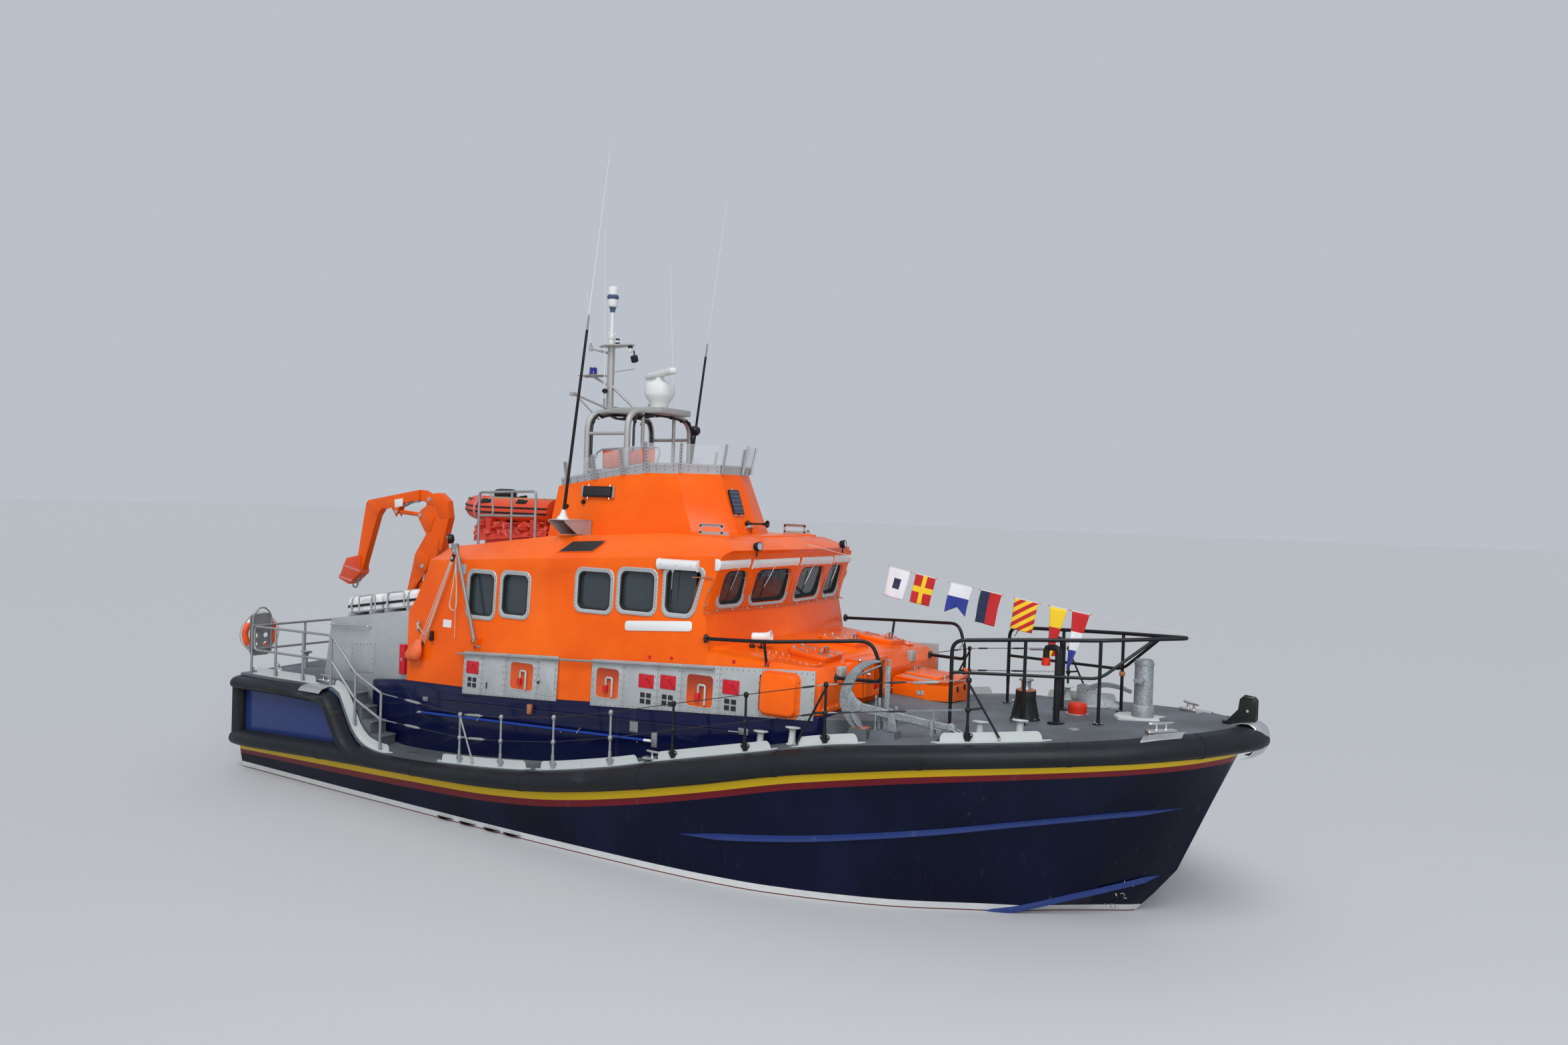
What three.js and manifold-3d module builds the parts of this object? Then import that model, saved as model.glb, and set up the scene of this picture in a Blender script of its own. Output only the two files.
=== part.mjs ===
// All-weather lifeboat, 17 m class, afloat.
// Millimetres. +X forward, +Y port, +Z up. The origin is on the waterline,
// on the centreline, at the middle of the length.
import * as THREE from 'three';
import { mergeVertices } from 'three/addons/utils/BufferGeometryUtils.js';
import Module from 'manifold-3d';

const wasm = await Module();
wasm.setup();
const { Manifold, Mesh: SolidMesh } = wasm;

// Driving dimensions
const GAP = 0.3;              // clearance between touching pieces
const WALL = 50;              // house sides, foam-cored laminate
const DECK = 40;              // deck laminate
const CAMBER = 90;            // rise of the deck at the centreline
const HALF_BEAM = 2700;       // hull half-breadth at the deck edge amidships
const HOUSE_HALF = 2070;      // half-breadth of the house at its foot
const TUMBLEHOME = 0.045;     // how far the house sides lean in, per unit of height
const ROOF_HALF = 1500;       // half-breadth of the flat part of the roof
const FENDER = 240;           // how far the fender stands out

// Rows of the hull, aft to forward: x, half-breadth, height
const SHEER = [
  [-8450, 2420, 1740], [-7460, 2500, 1760], [-6630, 2545, 1780], [-5750, 2580, 1795],
  [-5520, 2590, 1730], [-5300, 2600, 1420], [-5050, 2610, 1090], [-4750, 2620, 930],
  [-4400, 2630, 880], [-3850, 2650, 890], [-2320, 2680, 980], [-1070, 2690, 1100],
  [320, HALF_BEAM, 1350], [1480, 2690, 1620], [2720, 2630, 1890], [4020, 2520, 2160],
  [5330, 2220, 2300], [6360, 1840, 2400], [7180, 1390, 2480], [7580, 1090, 2530],
  [7970, 720, 2560], [8250, 330, 2590], [8360, 30, 2600],
];
const BELT_FOOT = [
  [-8450, 2410, 430], [-5480, 2590, 590], [-3770, 2640, 660], [-2240, 2670, 720],
  [-1000, 2680, 820], [-100, 2690, 950], [850, 2690, 1130], [1950, 2660, 1370],
  [3520, 2570, 1730], [5200, 2250, 1990], [6660, 1680, 2140], [7340, 1270, 2200],
  [7860, 820, 2250], [8240, 260, 2290], [8330, 30, 2300],
];
const KNUCKLE = [
  [-8450, 2380, 250], [-5000, 2500, 330], [-1000, 2570, 430], [1000, 2560, 560],
  [2200, 2480, 670], [3370, 2330, 820], [4270, 2130, 970], [5100, 1850, 1110],
  [5880, 1490, 1250], [7020, 860, 1430], [7600, 500, 1510], [8010, 30, 1560],
];
const CHINE = [
  [-8450, 2270, -300], [-5000, 2370, -360], [-1000, 2450, -380], [1500, 2420, -330],
  [2460, 2340, -270], [3000, 2220, -240], [4300, 1800, -120], [5600, 1130, 0],
  [6600, 700, 300], [7300, 270, 520], [7620, 30, 630],
];
const BOTTOM = [
  [-8450, 0, -600], [-6000, 0, -780], [-2000, 0, -980], [2000, 0, -1050],
  [4000, 0, -990], [5400, 0, -800], [6300, 0, -520], [6800, 0, -280], [7080, 0, -30],
];

const group = new THREE.Group();

function material(colour, roughness, metalness) {
  return new THREE.MeshStandardMaterial({ color: colour, roughness, metalness });
}
const ORANGE = material(0xe8540a, 0.4, 0);
const NAVY = material(0x141c3c, 0.3, 0);
const DECK_GREY = material(0x5c646c, 0.8, 0);
const RUBBER = material(0x1d2024, 0.6, 0);
const ALLOY = material(0x9aa0a2, 0.45, 0.8);
const STEEL = material(0x8c9296, 0.35, 0.9);
const GALVANISED = material(0x7f888d, 0.6, 0.7);
const BLACK = material(0x121314, 0.45, 0);
const WHITE = material(0xe9e9e6, 0.4, 0);
const GLASS = material(0x1a2228, 0.1, 0);
const BRONZE = material(0x9a7a3c, 0.35, 0.9);
const RED = material(0xb3261e, 0.6, 0);

// Tables and curves

function at(table, x, column) {
  const last = table.length - 1;
  if (x <= table[0][0]) return table[0][column];
  if (x >= table[last][0]) return table[last][column];
  const i = table.findIndex((row) => row[0] > x) - 1;
  const share = (x - table[i][0]) / (table[i + 1][0] - table[i][0]);
  return THREE.MathUtils.lerp(table[i][column], table[i + 1][column], share);
}

function edgeY(x) {
  return at(SHEER, x, 1);
}

function deckZ(x, y = 0) {
  const share = Math.min(1, Math.abs(y) / edgeY(x));
  return at(SHEER, x, 2) + CAMBER * (edgeY(x) / HALF_BEAM) * (1 - share);
}

function rounded(points, radius, steps = 4) {
  const path = [new THREE.Vector3(...points[0])];
  for (let i = 1; i < points.length - 1; i += 1) {
    const [before, corner, after] = points.slice(i - 1, i + 2).map((p) => new THREE.Vector3(...p));
    const back = before.sub(corner);
    const on = after.sub(corner);
    const reach = Math.min(radius, back.length() * 0.45, on.length() * 0.45);
    const start = corner.clone().addScaledVector(back.normalize(), reach);
    const end = corner.clone().addScaledVector(on.normalize(), reach);
    const bend = new THREE.QuadraticBezierCurve3(start, corner, end);
    path.push(...bend.getPoints(steps));
  }
  path.push(new THREE.Vector3(...points.at(-1)));
  return path.map((p) => p.toArray());
}

// Solids

function toSolid(positions, indices) {
  let volume = 0;
  const corner = (i) => new THREE.Vector3().fromArray(positions, indices[i] * 3);
  for (let i = 0; i < indices.length; i += 3) {
    volume += corner(i).dot(corner(i + 1).cross(corner(i + 2)));
  }
  const order = Uint32Array.from(indices);
  if (volume < 0) order.reverse();
  const mesh = new SolidMesh({ numProp: 3, vertProperties: Float32Array.from(positions), triVerts: order });
  return new Manifold(mesh);
}

function fromGeometry(geometry) {
  geometry.deleteAttribute('normal');
  geometry.deleteAttribute('uv');
  const merged = mergeVertices(geometry, 1e-3);
  return toSolid(merged.attributes.position.array, merged.index.array);
}

function box(x, y, z) {
  const geometry = new THREE.BoxGeometry(x[1] - x[0], y[1] - y[0], z[1] - z[0]);
  geometry.translate((x[0] + x[1]) / 2, (y[0] + y[1]) / 2, (z[0] + z[1]) / 2);
  return fromGeometry(geometry);
}

// An outline on the two axes left over, pushed along the third from a to b
function prism(axis, outline, a, b) {
  const shape = new THREE.Shape(outline.map(([u, v]) => new THREE.Vector2(u, v)));
  const geometry = new THREE.ExtrudeGeometry(shape, { depth: b - a, bevelEnabled: false });
  const spot = geometry.attributes.position;
  for (let i = 0; i < spot.count; i += 1) {
    const [u, v, w] = [spot.getX(i), spot.getY(i), spot.getZ(i) + a];
    const place = { x: [w, u, v], y: [u, w, v], z: [u, v, w] }[axis];
    spot.setXYZ(i, ...place);
  }
  return fromGeometry(geometry);
}

function slab(centreU, centreV, width, height, radius, steps = 3) {
  const corners = [[-1, -1], [1, -1], [1, 1], [-1, 1]];
  return corners.flatMap(([su, sv], i) => Array.from({ length: steps + 1 }, (_, k) => {
    const turn = Math.PI + (i + k / Math.max(1, steps)) * (Math.PI / 2);
    const u = centreU + su * (width / 2 - radius) + radius * Math.cos(turn);
    const v = centreV + sv * (height / 2 - radius) + radius * Math.sin(turn);
    return [u, v];
  }));
}

// Rings of points joined end to end; closed joins the last ring to the first
function loft(rings, closed = false) {
  const count = rings[0].length;
  const positions = rings.flat(2);
  const indices = [];
  const spans = closed ? rings.length : rings.length - 1;
  for (let i = 0; i < spans; i += 1) {
    const next = (i + 1) % rings.length;
    for (let j = 0; j < count; j += 1) {
      const k = (j + 1) % count;
      const [a, b, c, d] = [i * count + j, i * count + k, next * count + k, next * count + j];
      indices.push(a, b, c, a, c, d);
    }
  }
  if (!closed) {
    for (const [ring, turn] of [[0, 1], [rings.length - 1, 0]]) {
      const middle = positions.length / 3;
      const centre = [0, 1, 2].map((axis) => rings[ring].reduce((sum, p) => sum + p[axis], 0) / count);
      positions.push(...centre);
      for (let j = 0; j < count; j += 1) {
        const pair = [ring * count + j, ring * count + ((j + 1) % count)];
        if (turn) pair.reverse();
        indices.push(middle, ...pair);
      }
    }
  }
  return toSolid(positions, indices);
}

// A round tube along points, with mitred corners
function tube(points, radius, sides = 8) {
  const path = points.map((p) => new THREE.Vector3(...p));
  const along = (i) => path[i + 1].clone().sub(path[i]).normalize();
  let side = new THREE.Vector3(0, 0, 1);
  if (Math.abs(along(0).z) > 0.9) side = new THREE.Vector3(1, 0, 0);
  const rings = path.map((point, i) => {
    const before = along(Math.max(0, i - 1));
    const after = along(Math.min(path.length - 2, i));
    const tangent = before.clone().add(after).normalize();
    side.addScaledVector(before, -side.dot(before)).normalize();
    const across = before.clone().cross(side);
    const ring = [];
    for (let j = 0; j < sides; j += 1) {
      const turn = ((j + 0.5) / sides) * 2 * Math.PI;
      const out = side.clone().multiplyScalar(Math.cos(turn) * radius);
      out.addScaledVector(across, Math.sin(turn) * radius);
      const slip = -out.dot(tangent) / before.dot(tangent);
      ring.push(point.clone().add(out).addScaledVector(before, slip).toArray());
    }
    side.addScaledVector(after, -side.dot(after)).normalize();
    return ring;
  });
  return loft(rings);
}

// Radius of a hole that turns on a pin, both faceted
function eyeHole(pin) {
  return pin * 1.035 + 0.8;
}

function turned(profile, segments = 12) {
  const outline = profile.map(([r, z]) => new THREE.Vector2(r, z));
  const geometry = new THREE.LatheGeometry(outline, segments);
  geometry.rotateX(Math.PI / 2);
  return fromGeometry(geometry);
}

function join(parts) {
  return parts.reduce((sum, part) => sum.add(part));
}

// A body with the clearance all round it, to cut its neighbour with
function grown(part, by = GAP) {
  const steps = [[by, 0, 0], [-by, 0, 0], [0, by, 0], [0, -by, 0], [0, 0, by], [0, 0, -by]];
  return join([part, ...steps.map((step) => part.translate(step))]);
}

function mirrored(part) {
  return part.mirror([0, 1, 0]);
}

function both(part) {
  return part.add(mirrored(part));
}

function add(name, body, finish) {
  const { vertProperties, triVerts } = body.getMesh();
  const geometry = new THREE.BufferGeometry();
  geometry.setAttribute('position', new THREE.BufferAttribute(vertProperties, 3));
  geometry.setIndex(new THREE.BufferAttribute(triVerts, 1));
  const mesh = new THREE.Mesh(geometry, finish);
  mesh.name = name;
  group.add(mesh);
}

function addPair(name, starboardBody, finish, cutter = null) {
  const sides = { starboard: starboardBody, port: mirrored(starboardBody) };
  for (const [side, body] of Object.entries(sides)) {
    add(`${name}_${side}`, cutter ? body.subtract(cutter) : body, finish);
  }
}

// Hull: moulded body with a chine, raised quarters, keel and bilge keels

function rowPoint(table, share, grow) {
  const first = table[0][0];
  const x = first + share * (table.at(-1)[0] - first);
  return [x, at(table, x, 1) + grow, at(table, x, 2)];
}

function hullBody(grow) {
  const [aft, fore] = [SHEER[0][0], SHEER.at(-1)[0]];
  const rings = SHEER.map(([x]) => {
    const share = (x - aft) / (fore - aft);
    const keel = rowPoint(BOTTOM, share, 0);
    const chine = rowPoint(CHINE, share, grow);
    const half = [
      chine,
      rowPoint(KNUCKLE, share, grow),
      rowPoint(BELT_FOOT, share, grow),
      [x, edgeY(x) + grow, deckZ(x, edgeY(x)) + grow],
    ];
    const port = half.map(([px, py, pz]) => [px, py, pz]);
    const starboard = half.map(([px, py, pz]) => [px, -py, pz]).reverse();
    keel[2] -= grow;
    return [keel, ...port, [x, 0, deckZ(x) + grow], ...starboard];
  });
  return loft(rings);
}

// Everything under the deck surface, or over it, moved up by rise
function deckZone(rise, limit, outward = 600) {
  return loft(SHEER.map(([x]) => {
    const y = edgeY(x);
    const far = y + outward;
    const edge = deckZ(x, y) + rise;
    return [
      [x, far, edge], [x, y, edge], [x, 0, deckZ(x) + rise], [x, -y, edge], [x, -far, edge],
      [x, -far, limit], [x, far, limit],
    ];
  }));
}

const KEEL_HALF = 70;
const KEEL_OUTLINE = [
  [5100, -700], [4300, -1350], [-4800, -1700], [-7000, -1740],
  [-7250, -1500], [-7000, -600],
];
const RUDDER = {
  x: -7900, y: 1150, top: -640, foot: -1600, chord: [-330, 190], thick: 70, bossFoot: -580, bossRadius: 70,
};
const BILGE_KEEL = { x: [-6600, -3400], y: 1500, thick: 60, top: -500, foot: -1150 };

function bilgeKeel() {
  const { x, y, thick, top, foot } = BILGE_KEEL;
  const outline = [[x[0], top], [x[0] + 150, foot], [x[1] - 500, foot], [x[1], top]];
  return prism('y', outline, y - thick / 2, y + thick / 2);
}

function rudderBoss() {
  const { x, y, bossFoot, bossRadius } = RUDDER;
  return turned([[0, bossFoot], [bossRadius, bossFoot], [bossRadius, -350], [0, -350]], 12).translate([x, y, 0]);
}

const hullParts = [
  hullBody(0).subtract(deckZone(-DECK - GAP, 6000)),
  prism('y', KEEL_OUTLINE, -KEEL_HALF, KEEL_HALF),
  both(bilgeKeel()),
  both(rudderBoss()),
];
add('hull', join(hullParts), NAVY);

// Deck moulding with its steps, bitts, cleats, samson post and davit posts

// Raised platform ahead of the house, level with the top of its coaming, that the sheer runs out into.
// Its rows: x, half width, height at the edge, height at the middle
const FOREDECK_STEP = [
  [3452, 1900, 2330, 2405], [4000, 1330, 2300, 2372], [4640, 700, 2250, 2330],
];

function foredeckStep(grow, foot) {
  return loft(FOREDECK_STEP.map(([x, half, edge, middle]) => [
    [x, half + grow, edge + grow], [x, 0, middle + grow], [x, -half - grow, edge + grow],
    [x, -half - grow, foot], [x, half + grow, foot],
  ]));
}

const cutBelow = deckZone(GAP, -3000).add(foredeckStep(GAP, 2000));

function deckPlate() {
  return hullBody(0).intersect(deckZone(-DECK, 6000));
}

const STEPS = { count: 4, fore: -4620, aft: -5560, inner: 2110, outer: 2440, foot: 880, top: 1720 };

function sideSteps() {
  const { count, fore, aft, inner, outer, foot, top } = STEPS;
  const going = (fore - aft) / count;
  const rise = (top - foot) / count;
  return join(Array.from({ length: count }, (_, i) => {
    const front = fore - i * going;
    const z = foot + (i + 1) * rise;
    return box([aft, front], [inner, outer], [foot - 100, z]);
  })).subtract(deckZone(-DECK, -3000));
}

function bitt(x, y, height = 230) {
  const z = deckZ(x, y) - DECK / 2;
  const stem = turned([[0, 0], [55, 0], [45, height - 30], [110, height - 20], [110, height], [0, height]], 8);
  return stem.translate([x, y, z]);
}

function cleat(x, y, turn = 0) {
  const z = deckZ(x, y) - DECK / 2;
  const side = [[150, 0], [150, 35], [60, 45], [60, 95], [175, 100], [175, 130]];
  const outline = [...side, ...side.map(([u, v]) => [-u, v]).reverse()];
  return prism('y', outline, -30, 30).rotate([0, 0, turn]).translate([x, y, z]);
}

const SAMSON = { x: 7120, radius: 118, height: 770 };

function samsonPost() {
  const z = deckZ(SAMSON.x) - DECK / 2;
  const plate = box([-300, 300], [-210, 210], [0, 45]);
  const post = turned([[0, 0], [135, 0], [135, 160], [118, 165], [118, 740], [100, 770], [0, 770]], 16);
  const stub = tube([[0, -200, 500], [0, 0, 500]], 45, 8);
  return join([plate, post, stub]).translate([SAMSON.x, 0, z]);
}

const DAVITS = [{ x: 6180, y: -650, reach: -160 }, { x: 5890, y: 500, reach: -160 }];

function davit({ x, y, reach }) {
  const z = deckZ(x, y) - DECK / 2;
  const foot = turned([[0, 0], [110, 0], [110, 40], [0, 40]], 12).translate([x, y, z]);
  const arm = tube(rounded([[x, y, z], [x, y, z + 980], [x + reach, y, z + 980], [x + reach, y, z + 800]], 60, 2), 42, 6);
  const drum = turned([[0, -50], [58, -50], [58, 50], [0, 50]], 12).translate([x + reach, y, z + 790]);
  return join([foot, arm, drum]);
}

const CAPSTAN = { x: 5740, y: -570, radius: 198, rise: 25 };

function capstanPad() {
  const { x, y, radius, rise } = CAPSTAN;
  return turned([[0, -DECK], [radius, -DECK], [radius, rise], [0, rise]], 16).translate([x, y, deckZ(x, y)]);
}

const deckParts = [
  deckPlate(),
  foredeckStep(0, 2000),
  capstanPad(),
  both(sideSteps()),
  samsonPost(),
  ...DAVITS.map(davit),
  both(join([[2660, 2230], [3130, 2190], [5590, 1840], [6030, 1640]].map(([x, y]) => bitt(x, y)))),
  both(join([cleat(7480, 900, -45), cleat(1150, 2500), cleat(-6200, 2300), cleat(-8100, 1900, 30)])),
  bitt(-7900, 1500, 330),
  bitt(-7900, -1500, 330),
];
add('deck', join(deckParts).subtract(deckZone(-DECK, -3000)), DECK_GREY);

// Fender belt right round, and the upper belt round the quarters

const BELT_TOP = [
  [-8450, 0, 720], [-6000, 0, 860], [-5200, 0, 900], [-4750, 0, 900],
];

function beltPath() {
  const side = SHEER.filter(([x]) => x < 8200).map(([x, y]) => [x, y]);
  const bow = [[8290, 330], [8390, 150]];
  const stern = [[-8470, 1700], [-8490, 850]];
  return { side, bow, stern };
}

// D-shaped section: depth out from the hull side, height share from foot to top
const D_SECTION = [
  [-60, 0], [60, -0.02], [190, 0.14], [FENDER, 0.42], [225, 0.72], [120, 0.97], [0, 1.0], [-60, 1.0],
];

function sectionRing(x, y, normal, foot, top) {
  return D_SECTION.map(([out, share]) => [
    x + normal.x * out,
    y + normal.y * out,
    foot + (top - foot) * share,
  ]);
}

function ringNormals(path) {
  return path.map((_, i) => {
    const before = new THREE.Vector2(...path[(i + path.length - 1) % path.length]);
    const after = new THREE.Vector2(...path[(i + 1) % path.length]);
    const run = after.sub(before).normalize();
    return new THREE.Vector2(run.y, -run.x);
  });
}

function fenderBelt() {
  const { side, bow, stern } = beltPath();
  const starboard = [...stern].reverse().map(([x, y]) => [x, -y]);
  starboard.push(...side.map(([x, y]) => [x, -y]), ...bow.map(([x, y]) => [x, -y]));
  const port = [...starboard].reverse().map(([x, y]) => [x, -y]);
  const path = [[-8500, 0], ...starboard, [8420, 0], ...port];
  const normals = ringNormals(path);
  const rings = path.map(([x, y], i) => {
    const foot = at(BELT_FOOT, x, 2);
    const top = x < -4750 ? at(BELT_TOP, x, 2) : at(SHEER, x, 2) - 8;
    return sectionRing(x, y, normals[i], foot, top);
  });
  return loft(rings, true);
}

const QUARTER_HEIGHT = 230;
const QUARTER_POST = { width: 200, depth: 200 };

function quarterBelt() {
  const side = [
    [-5050, 2610, 1010], [-5150, 2607, 1120], [-5300, 2600, 1330], [-5480, 2592, 1580],
    [-5620, 2585, 1700], [-5900, 2573, 1740], [-6630, 2545, 1745], [-7460, 2500, 1725], [-8350, 2430, 1690],
  ];
  const stern = [[-8450, 2300, 1690], [-8480, 1700, 1700], [-8500, 0, 1715]];
  const half = [...side, ...stern];
  const port = half.slice(0, -1).reverse();
  const path = [...half.map(([x, y, z]) => [x, -y, z]), ...port];
  const rings = path.map(([x, y, z], i) => {
    const before = path[Math.max(0, i - 1)];
    const after = path[Math.min(path.length - 1, i + 1)];
    const run = new THREE.Vector3(...after).sub(new THREE.Vector3(...before)).normalize();
    const flat = new THREE.Vector3(run.x, run.y, 0).normalize();
    const out = new THREE.Vector3(-flat.y, flat.x, 0);
    const down = out.clone().cross(run).normalize();
    if (down.z > 0) down.negate();
    return D_SECTION.map(([depth, share]) => {
      const point = new THREE.Vector3(x, y, z);
      point.addScaledVector(out, depth).addScaledVector(down, QUARTER_HEIGHT * (1 - share));
      return point.toArray();
    });
  });
  return loft(rings);
}

const grownHull = hullBody(GAP);
const stemhead = box([8250, 8500], [-400, 400], [1000, 3000]);
const hullCutter = join([
  grownHull,
  grownHull.translate([-GAP, 0, 0]),
  grownHull.intersect(stemhead).translate([3, 0, 0]),
]);
const belt = fenderBelt().subtract(hullCutter);
add('fender_belt', belt, RUBBER);

function cornerPost() {
  const [x, y] = [-8440, 2400];
  const { width, depth } = QUARTER_POST;
  return box([x - depth, x + width], [y - width, y + depth - 20], [560, 1600]);
}

const beltCutter = grown(belt);

const quarter = join([quarterBelt(), both(cornerPost())]).subtract(hullCutter).subtract(beltCutter);
add('fender_quarter', quarter, RUBBER);

// Bow fitting: stainless nose and twin-cheek roller

function bowFitting() {
  const nose = prism('y', [
    [8360, 2615], [8440, 2690], [8560, 2680], [8650, 2560], [8655, 2420], [8590, 2270],
    [8500, 2235], [8460, 2270],
  ], -150, 150);
  const cheeks = both(prism('y', [[8130, 2608], [8500, 2640], [8500, 2940], [8330, 2960], [8300, 2800]], 70, 95));
  const foot = box([8130, 8420], [-95, 95], [2606, 2640]);
  const roller = tube([[8400, -80, 2780], [8400, 80, 2780]], 60, 12);
  return join([nose, cheeks, foot, roller]);
}

add('bow_fitting', bowFitting().subtract(deckZone(GAP, -3000, 30)).subtract(beltCutter).subtract(hullCutter), STEEL);

// Propulsion under the stern

const SHAFT = { y: 1150, fore: [-4700, -880], slope: 6.3, radius: 40 };
const PROP = { along: 2500, radius: 470, hub: 85, fore: 110, aft: -130, blades: 4 };

// A point on the starboard shaft line, that far aft of its upper end
function onShaft(distance) {
  const angle = THREE.MathUtils.degToRad(SHAFT.slope);
  const [x, z] = SHAFT.fore;
  return [x - distance * Math.cos(angle), -SHAFT.y, z - distance * Math.sin(angle)];
}

function shaftLine() {
  const end = PROP.along - PROP.fore - GAP;
  const shaft = tube([onShaft(0), onShaft(end)], SHAFT.radius, 10);
  const boss = tube([onShaft(end - 300), onShaft(end - 60)], 75, 10);
  const [x, y, z] = onShaft(end - 180);
  const strut = box([x - 90, x + 90], [y - 18, y + 18], [z, -300]);
  return join([shaft, boss, strut]);
}

function propeller() {
  const { radius, hub, fore, aft, blades } = PROP;
  const boss = turned([[0, aft], [45, aft], [hub, -60], [hub, fore], [0, fore]], 12);
  const blade = prism('z', [
    [50, -60], [200, -150], [380, -170], [radius, -60], [460, 90], [300, 190], [120, 110], [50, 60],
  ], -11, 11).rotate([32, 0, 0]);
  const set = Array.from({ length: blades }, (_, i) => blade.rotate([0, 0, (i * 360) / blades]));
  return join([boss, ...set]).rotate([0, 90 - SHAFT.slope, 0]).translate(onShaft(PROP.along));
}

function rudder() {
  const [aft, fore] = RUDDER.chord;
  const half = RUDDER.thick / 2;
  const outline = [[aft, -8], [aft, 8], [fore - 120, half], [fore, 6], [fore, -6], [fore - 120, -half]];
  const blade = prism('z', outline, RUDDER.foot, RUDDER.top);
  const stock = tube([[0, 0, RUDDER.foot + 300], [0, 0, RUDDER.bossFoot - GAP]], 34, 12);
  return join([blade, stock]).translate([RUDDER.x, -RUDDER.y, 0]);
}

addPair('shaft', shaftLine(), STEEL, hullCutter);
addPair('propeller', propeller(), BRONZE);
addPair('rudder', rudder(), BRONZE);

// House: coaming, walls, roof and fore trunk, all hollow

const BLUE_LINE = [
  [-5270, 1920], [-4420, 2000], [-3030, 2030], [-1040, 2070], [-450, 2110], [3460, 2370],
];
const COAMING = { aft: -5270, fore: 3450 };

function blueZ(x) {
  return at(BLUE_LINE, x, 1);
}

function coaming() {
  const outer = box([COAMING.aft, COAMING.fore], [-HOUSE_HALF, HOUSE_HALF], [400, 2700]);
  const inner = box([COAMING.aft + WALL, COAMING.fore - WALL], [WALL - HOUSE_HALF, HOUSE_HALF - WALL], [0, 3000]);
  const above = prism('y', [...BLUE_LINE, [4000, 2406], [4000, 3500], [-6000, 3500], [-6000, 1920]], -3000, 3000);
  return outer.subtract(inner).subtract(above).subtract(cutBelow);
}

add('house_coaming', coaming(), NAVY);

// Knuckle where the side meets the slanted roof facet, and the roof's edge: x, height
const KNUCKLE_LINE = [[-4500, 4000], [-3200, 4080], [-420, 4260], [1740, 4390], [2400, 4420]];
const ROOF_EDGE = [[-4500, 4200], [-3700, 4285], [-1920, 4510], [460, 4660], [1500, 4620], [2400, 4520]];
const ROOF_CAMBER = 50;
const HOUSE_FOOT = 1850;

function wallY(z) {
  return 2150 - TUMBLEHOME * z;
}

function houseBar(inset) {
  const stations = [-4700, -3700, -3200, -1920, -420, 460, 1500, 2400];
  return loft(stations.map((x) => {
    const foot = HOUSE_FOOT - inset * 4;
    const knuckle = at(KNUCKLE_LINE, x, 1) - inset * 0.35;
    const roof = at(ROOF_EDGE, x, 1) - inset;
    const port = [
      [x, wallY(foot) - inset, foot], [x, wallY(knuckle) - inset, knuckle],
      [x, ROOF_HALF - inset * 0.4, roof],
    ];
    const starboard = port.map(([px, py, pz]) => [px, -py, pz]).reverse();
    return [...port, [x, 0, roof + ROOF_CAMBER], ...starboard];
  }));
}

// Front of the house in plan: centre stands ahead of the corners
const FRONT = { sill: [1700, 3600], head: [1850, 4260], sweep: 0.082 };

function houseProfile(inset) {
  const [sillX, sillZ] = FRONT.sill;
  const lean = (FRONT.head[0] - sillX) / (FRONT.head[1] - sillZ);
  const topX = sillX + lean * (4430 - sillZ) + 60;
  return [
    [-4420 + inset, 1500], [-4490 + inset, 3150], [-4320 + inset, 3370], [-4050 + inset, 3980],
    [-3960 + inset, 5200], [1500 - inset, 5200], [1560 - inset, 4640], [topX + 60 - inset, 4470],
    [topX - inset, 4420], [sillX - inset, sillZ], [1790 - inset, 3130], [1790 - inset, 1500],
  ];
}

// The front faces sweep back from the centreline, so they are cut as two raked halves
function houseFrontHalf(inset) {
  const outline = houseProfile(inset);
  const reach = 2600;
  const rings = [[0, 0], [reach, -FRONT.sweep * reach]].map(([y, shift]) => (
    outline.map(([x, z]) => [x + (x > 0 ? shift : 0), y, z])
  ));
  return loftOutline(outline, rings);
}

// Joins two equal outlines whose faces may be hollow, with proper end caps
function loftOutline(outline, rings) {
  const flat = outline.map(([u, v]) => new THREE.Vector2(u, v));
  const faces = THREE.ShapeUtils.triangulateShape(flat, []);
  const count = outline.length;
  const indices = faces.flatMap(([a, b, c]) => [c, b, a, a + count, b + count, c + count]);
  const turn = THREE.ShapeUtils.isClockWise(flat) ? -1 : 1;
  for (let j = 0; j < count; j += 1) {
    const k = (j + 1) % count;
    indices.push(j, k, k + count, j, k + count, j + count);
  }
  if (turn < 0) {
    const caps = faces.length * 6;
    for (let i = 0; i < caps; i += 3) {
      [indices[i], indices[i + 2]] = [indices[i + 2], indices[i]];
    }
  }
  return toSolid(rings.flat(2), indices);
}

function houseBody(inset) {
  return houseBar(inset).intersect(both(houseFrontHalf(inset)));
}

const TRUNK = { aft: 1500, fore: 3400 };

function trunkBody(inset) {
  const stations = [
    [TRUNK.aft, 3130, 3110], [1760, 3130, 3090], [3020, 3030, 2950], [3260, 2980, 2900],
  ];
  const rings = stations.map(([x, centre, side]) => {
    const foot = HOUSE_FOOT - inset * 4;
    const shift = x === TRUNK.aft ? 0 : inset;
    const port = [
      [x - shift, wallY(foot) - inset, foot], [x - shift, wallY(side) - inset, side - inset - 60],
      [x - shift, wallY(side) - 150 - inset, side + 15 - inset],
    ];
    const starboard = port.map(([px, py, pz]) => [px, -py, pz]).reverse();
    return [...port, [x - shift, 0, centre + 20 - inset], ...starboard];
  });
  const last = rings.at(-1);
  rings.push(last.map(([, y, z]) => [TRUNK.fore - inset, y * 0.955, Math.min(z, 2760 - inset)]));
  return loft(rings);
}

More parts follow.
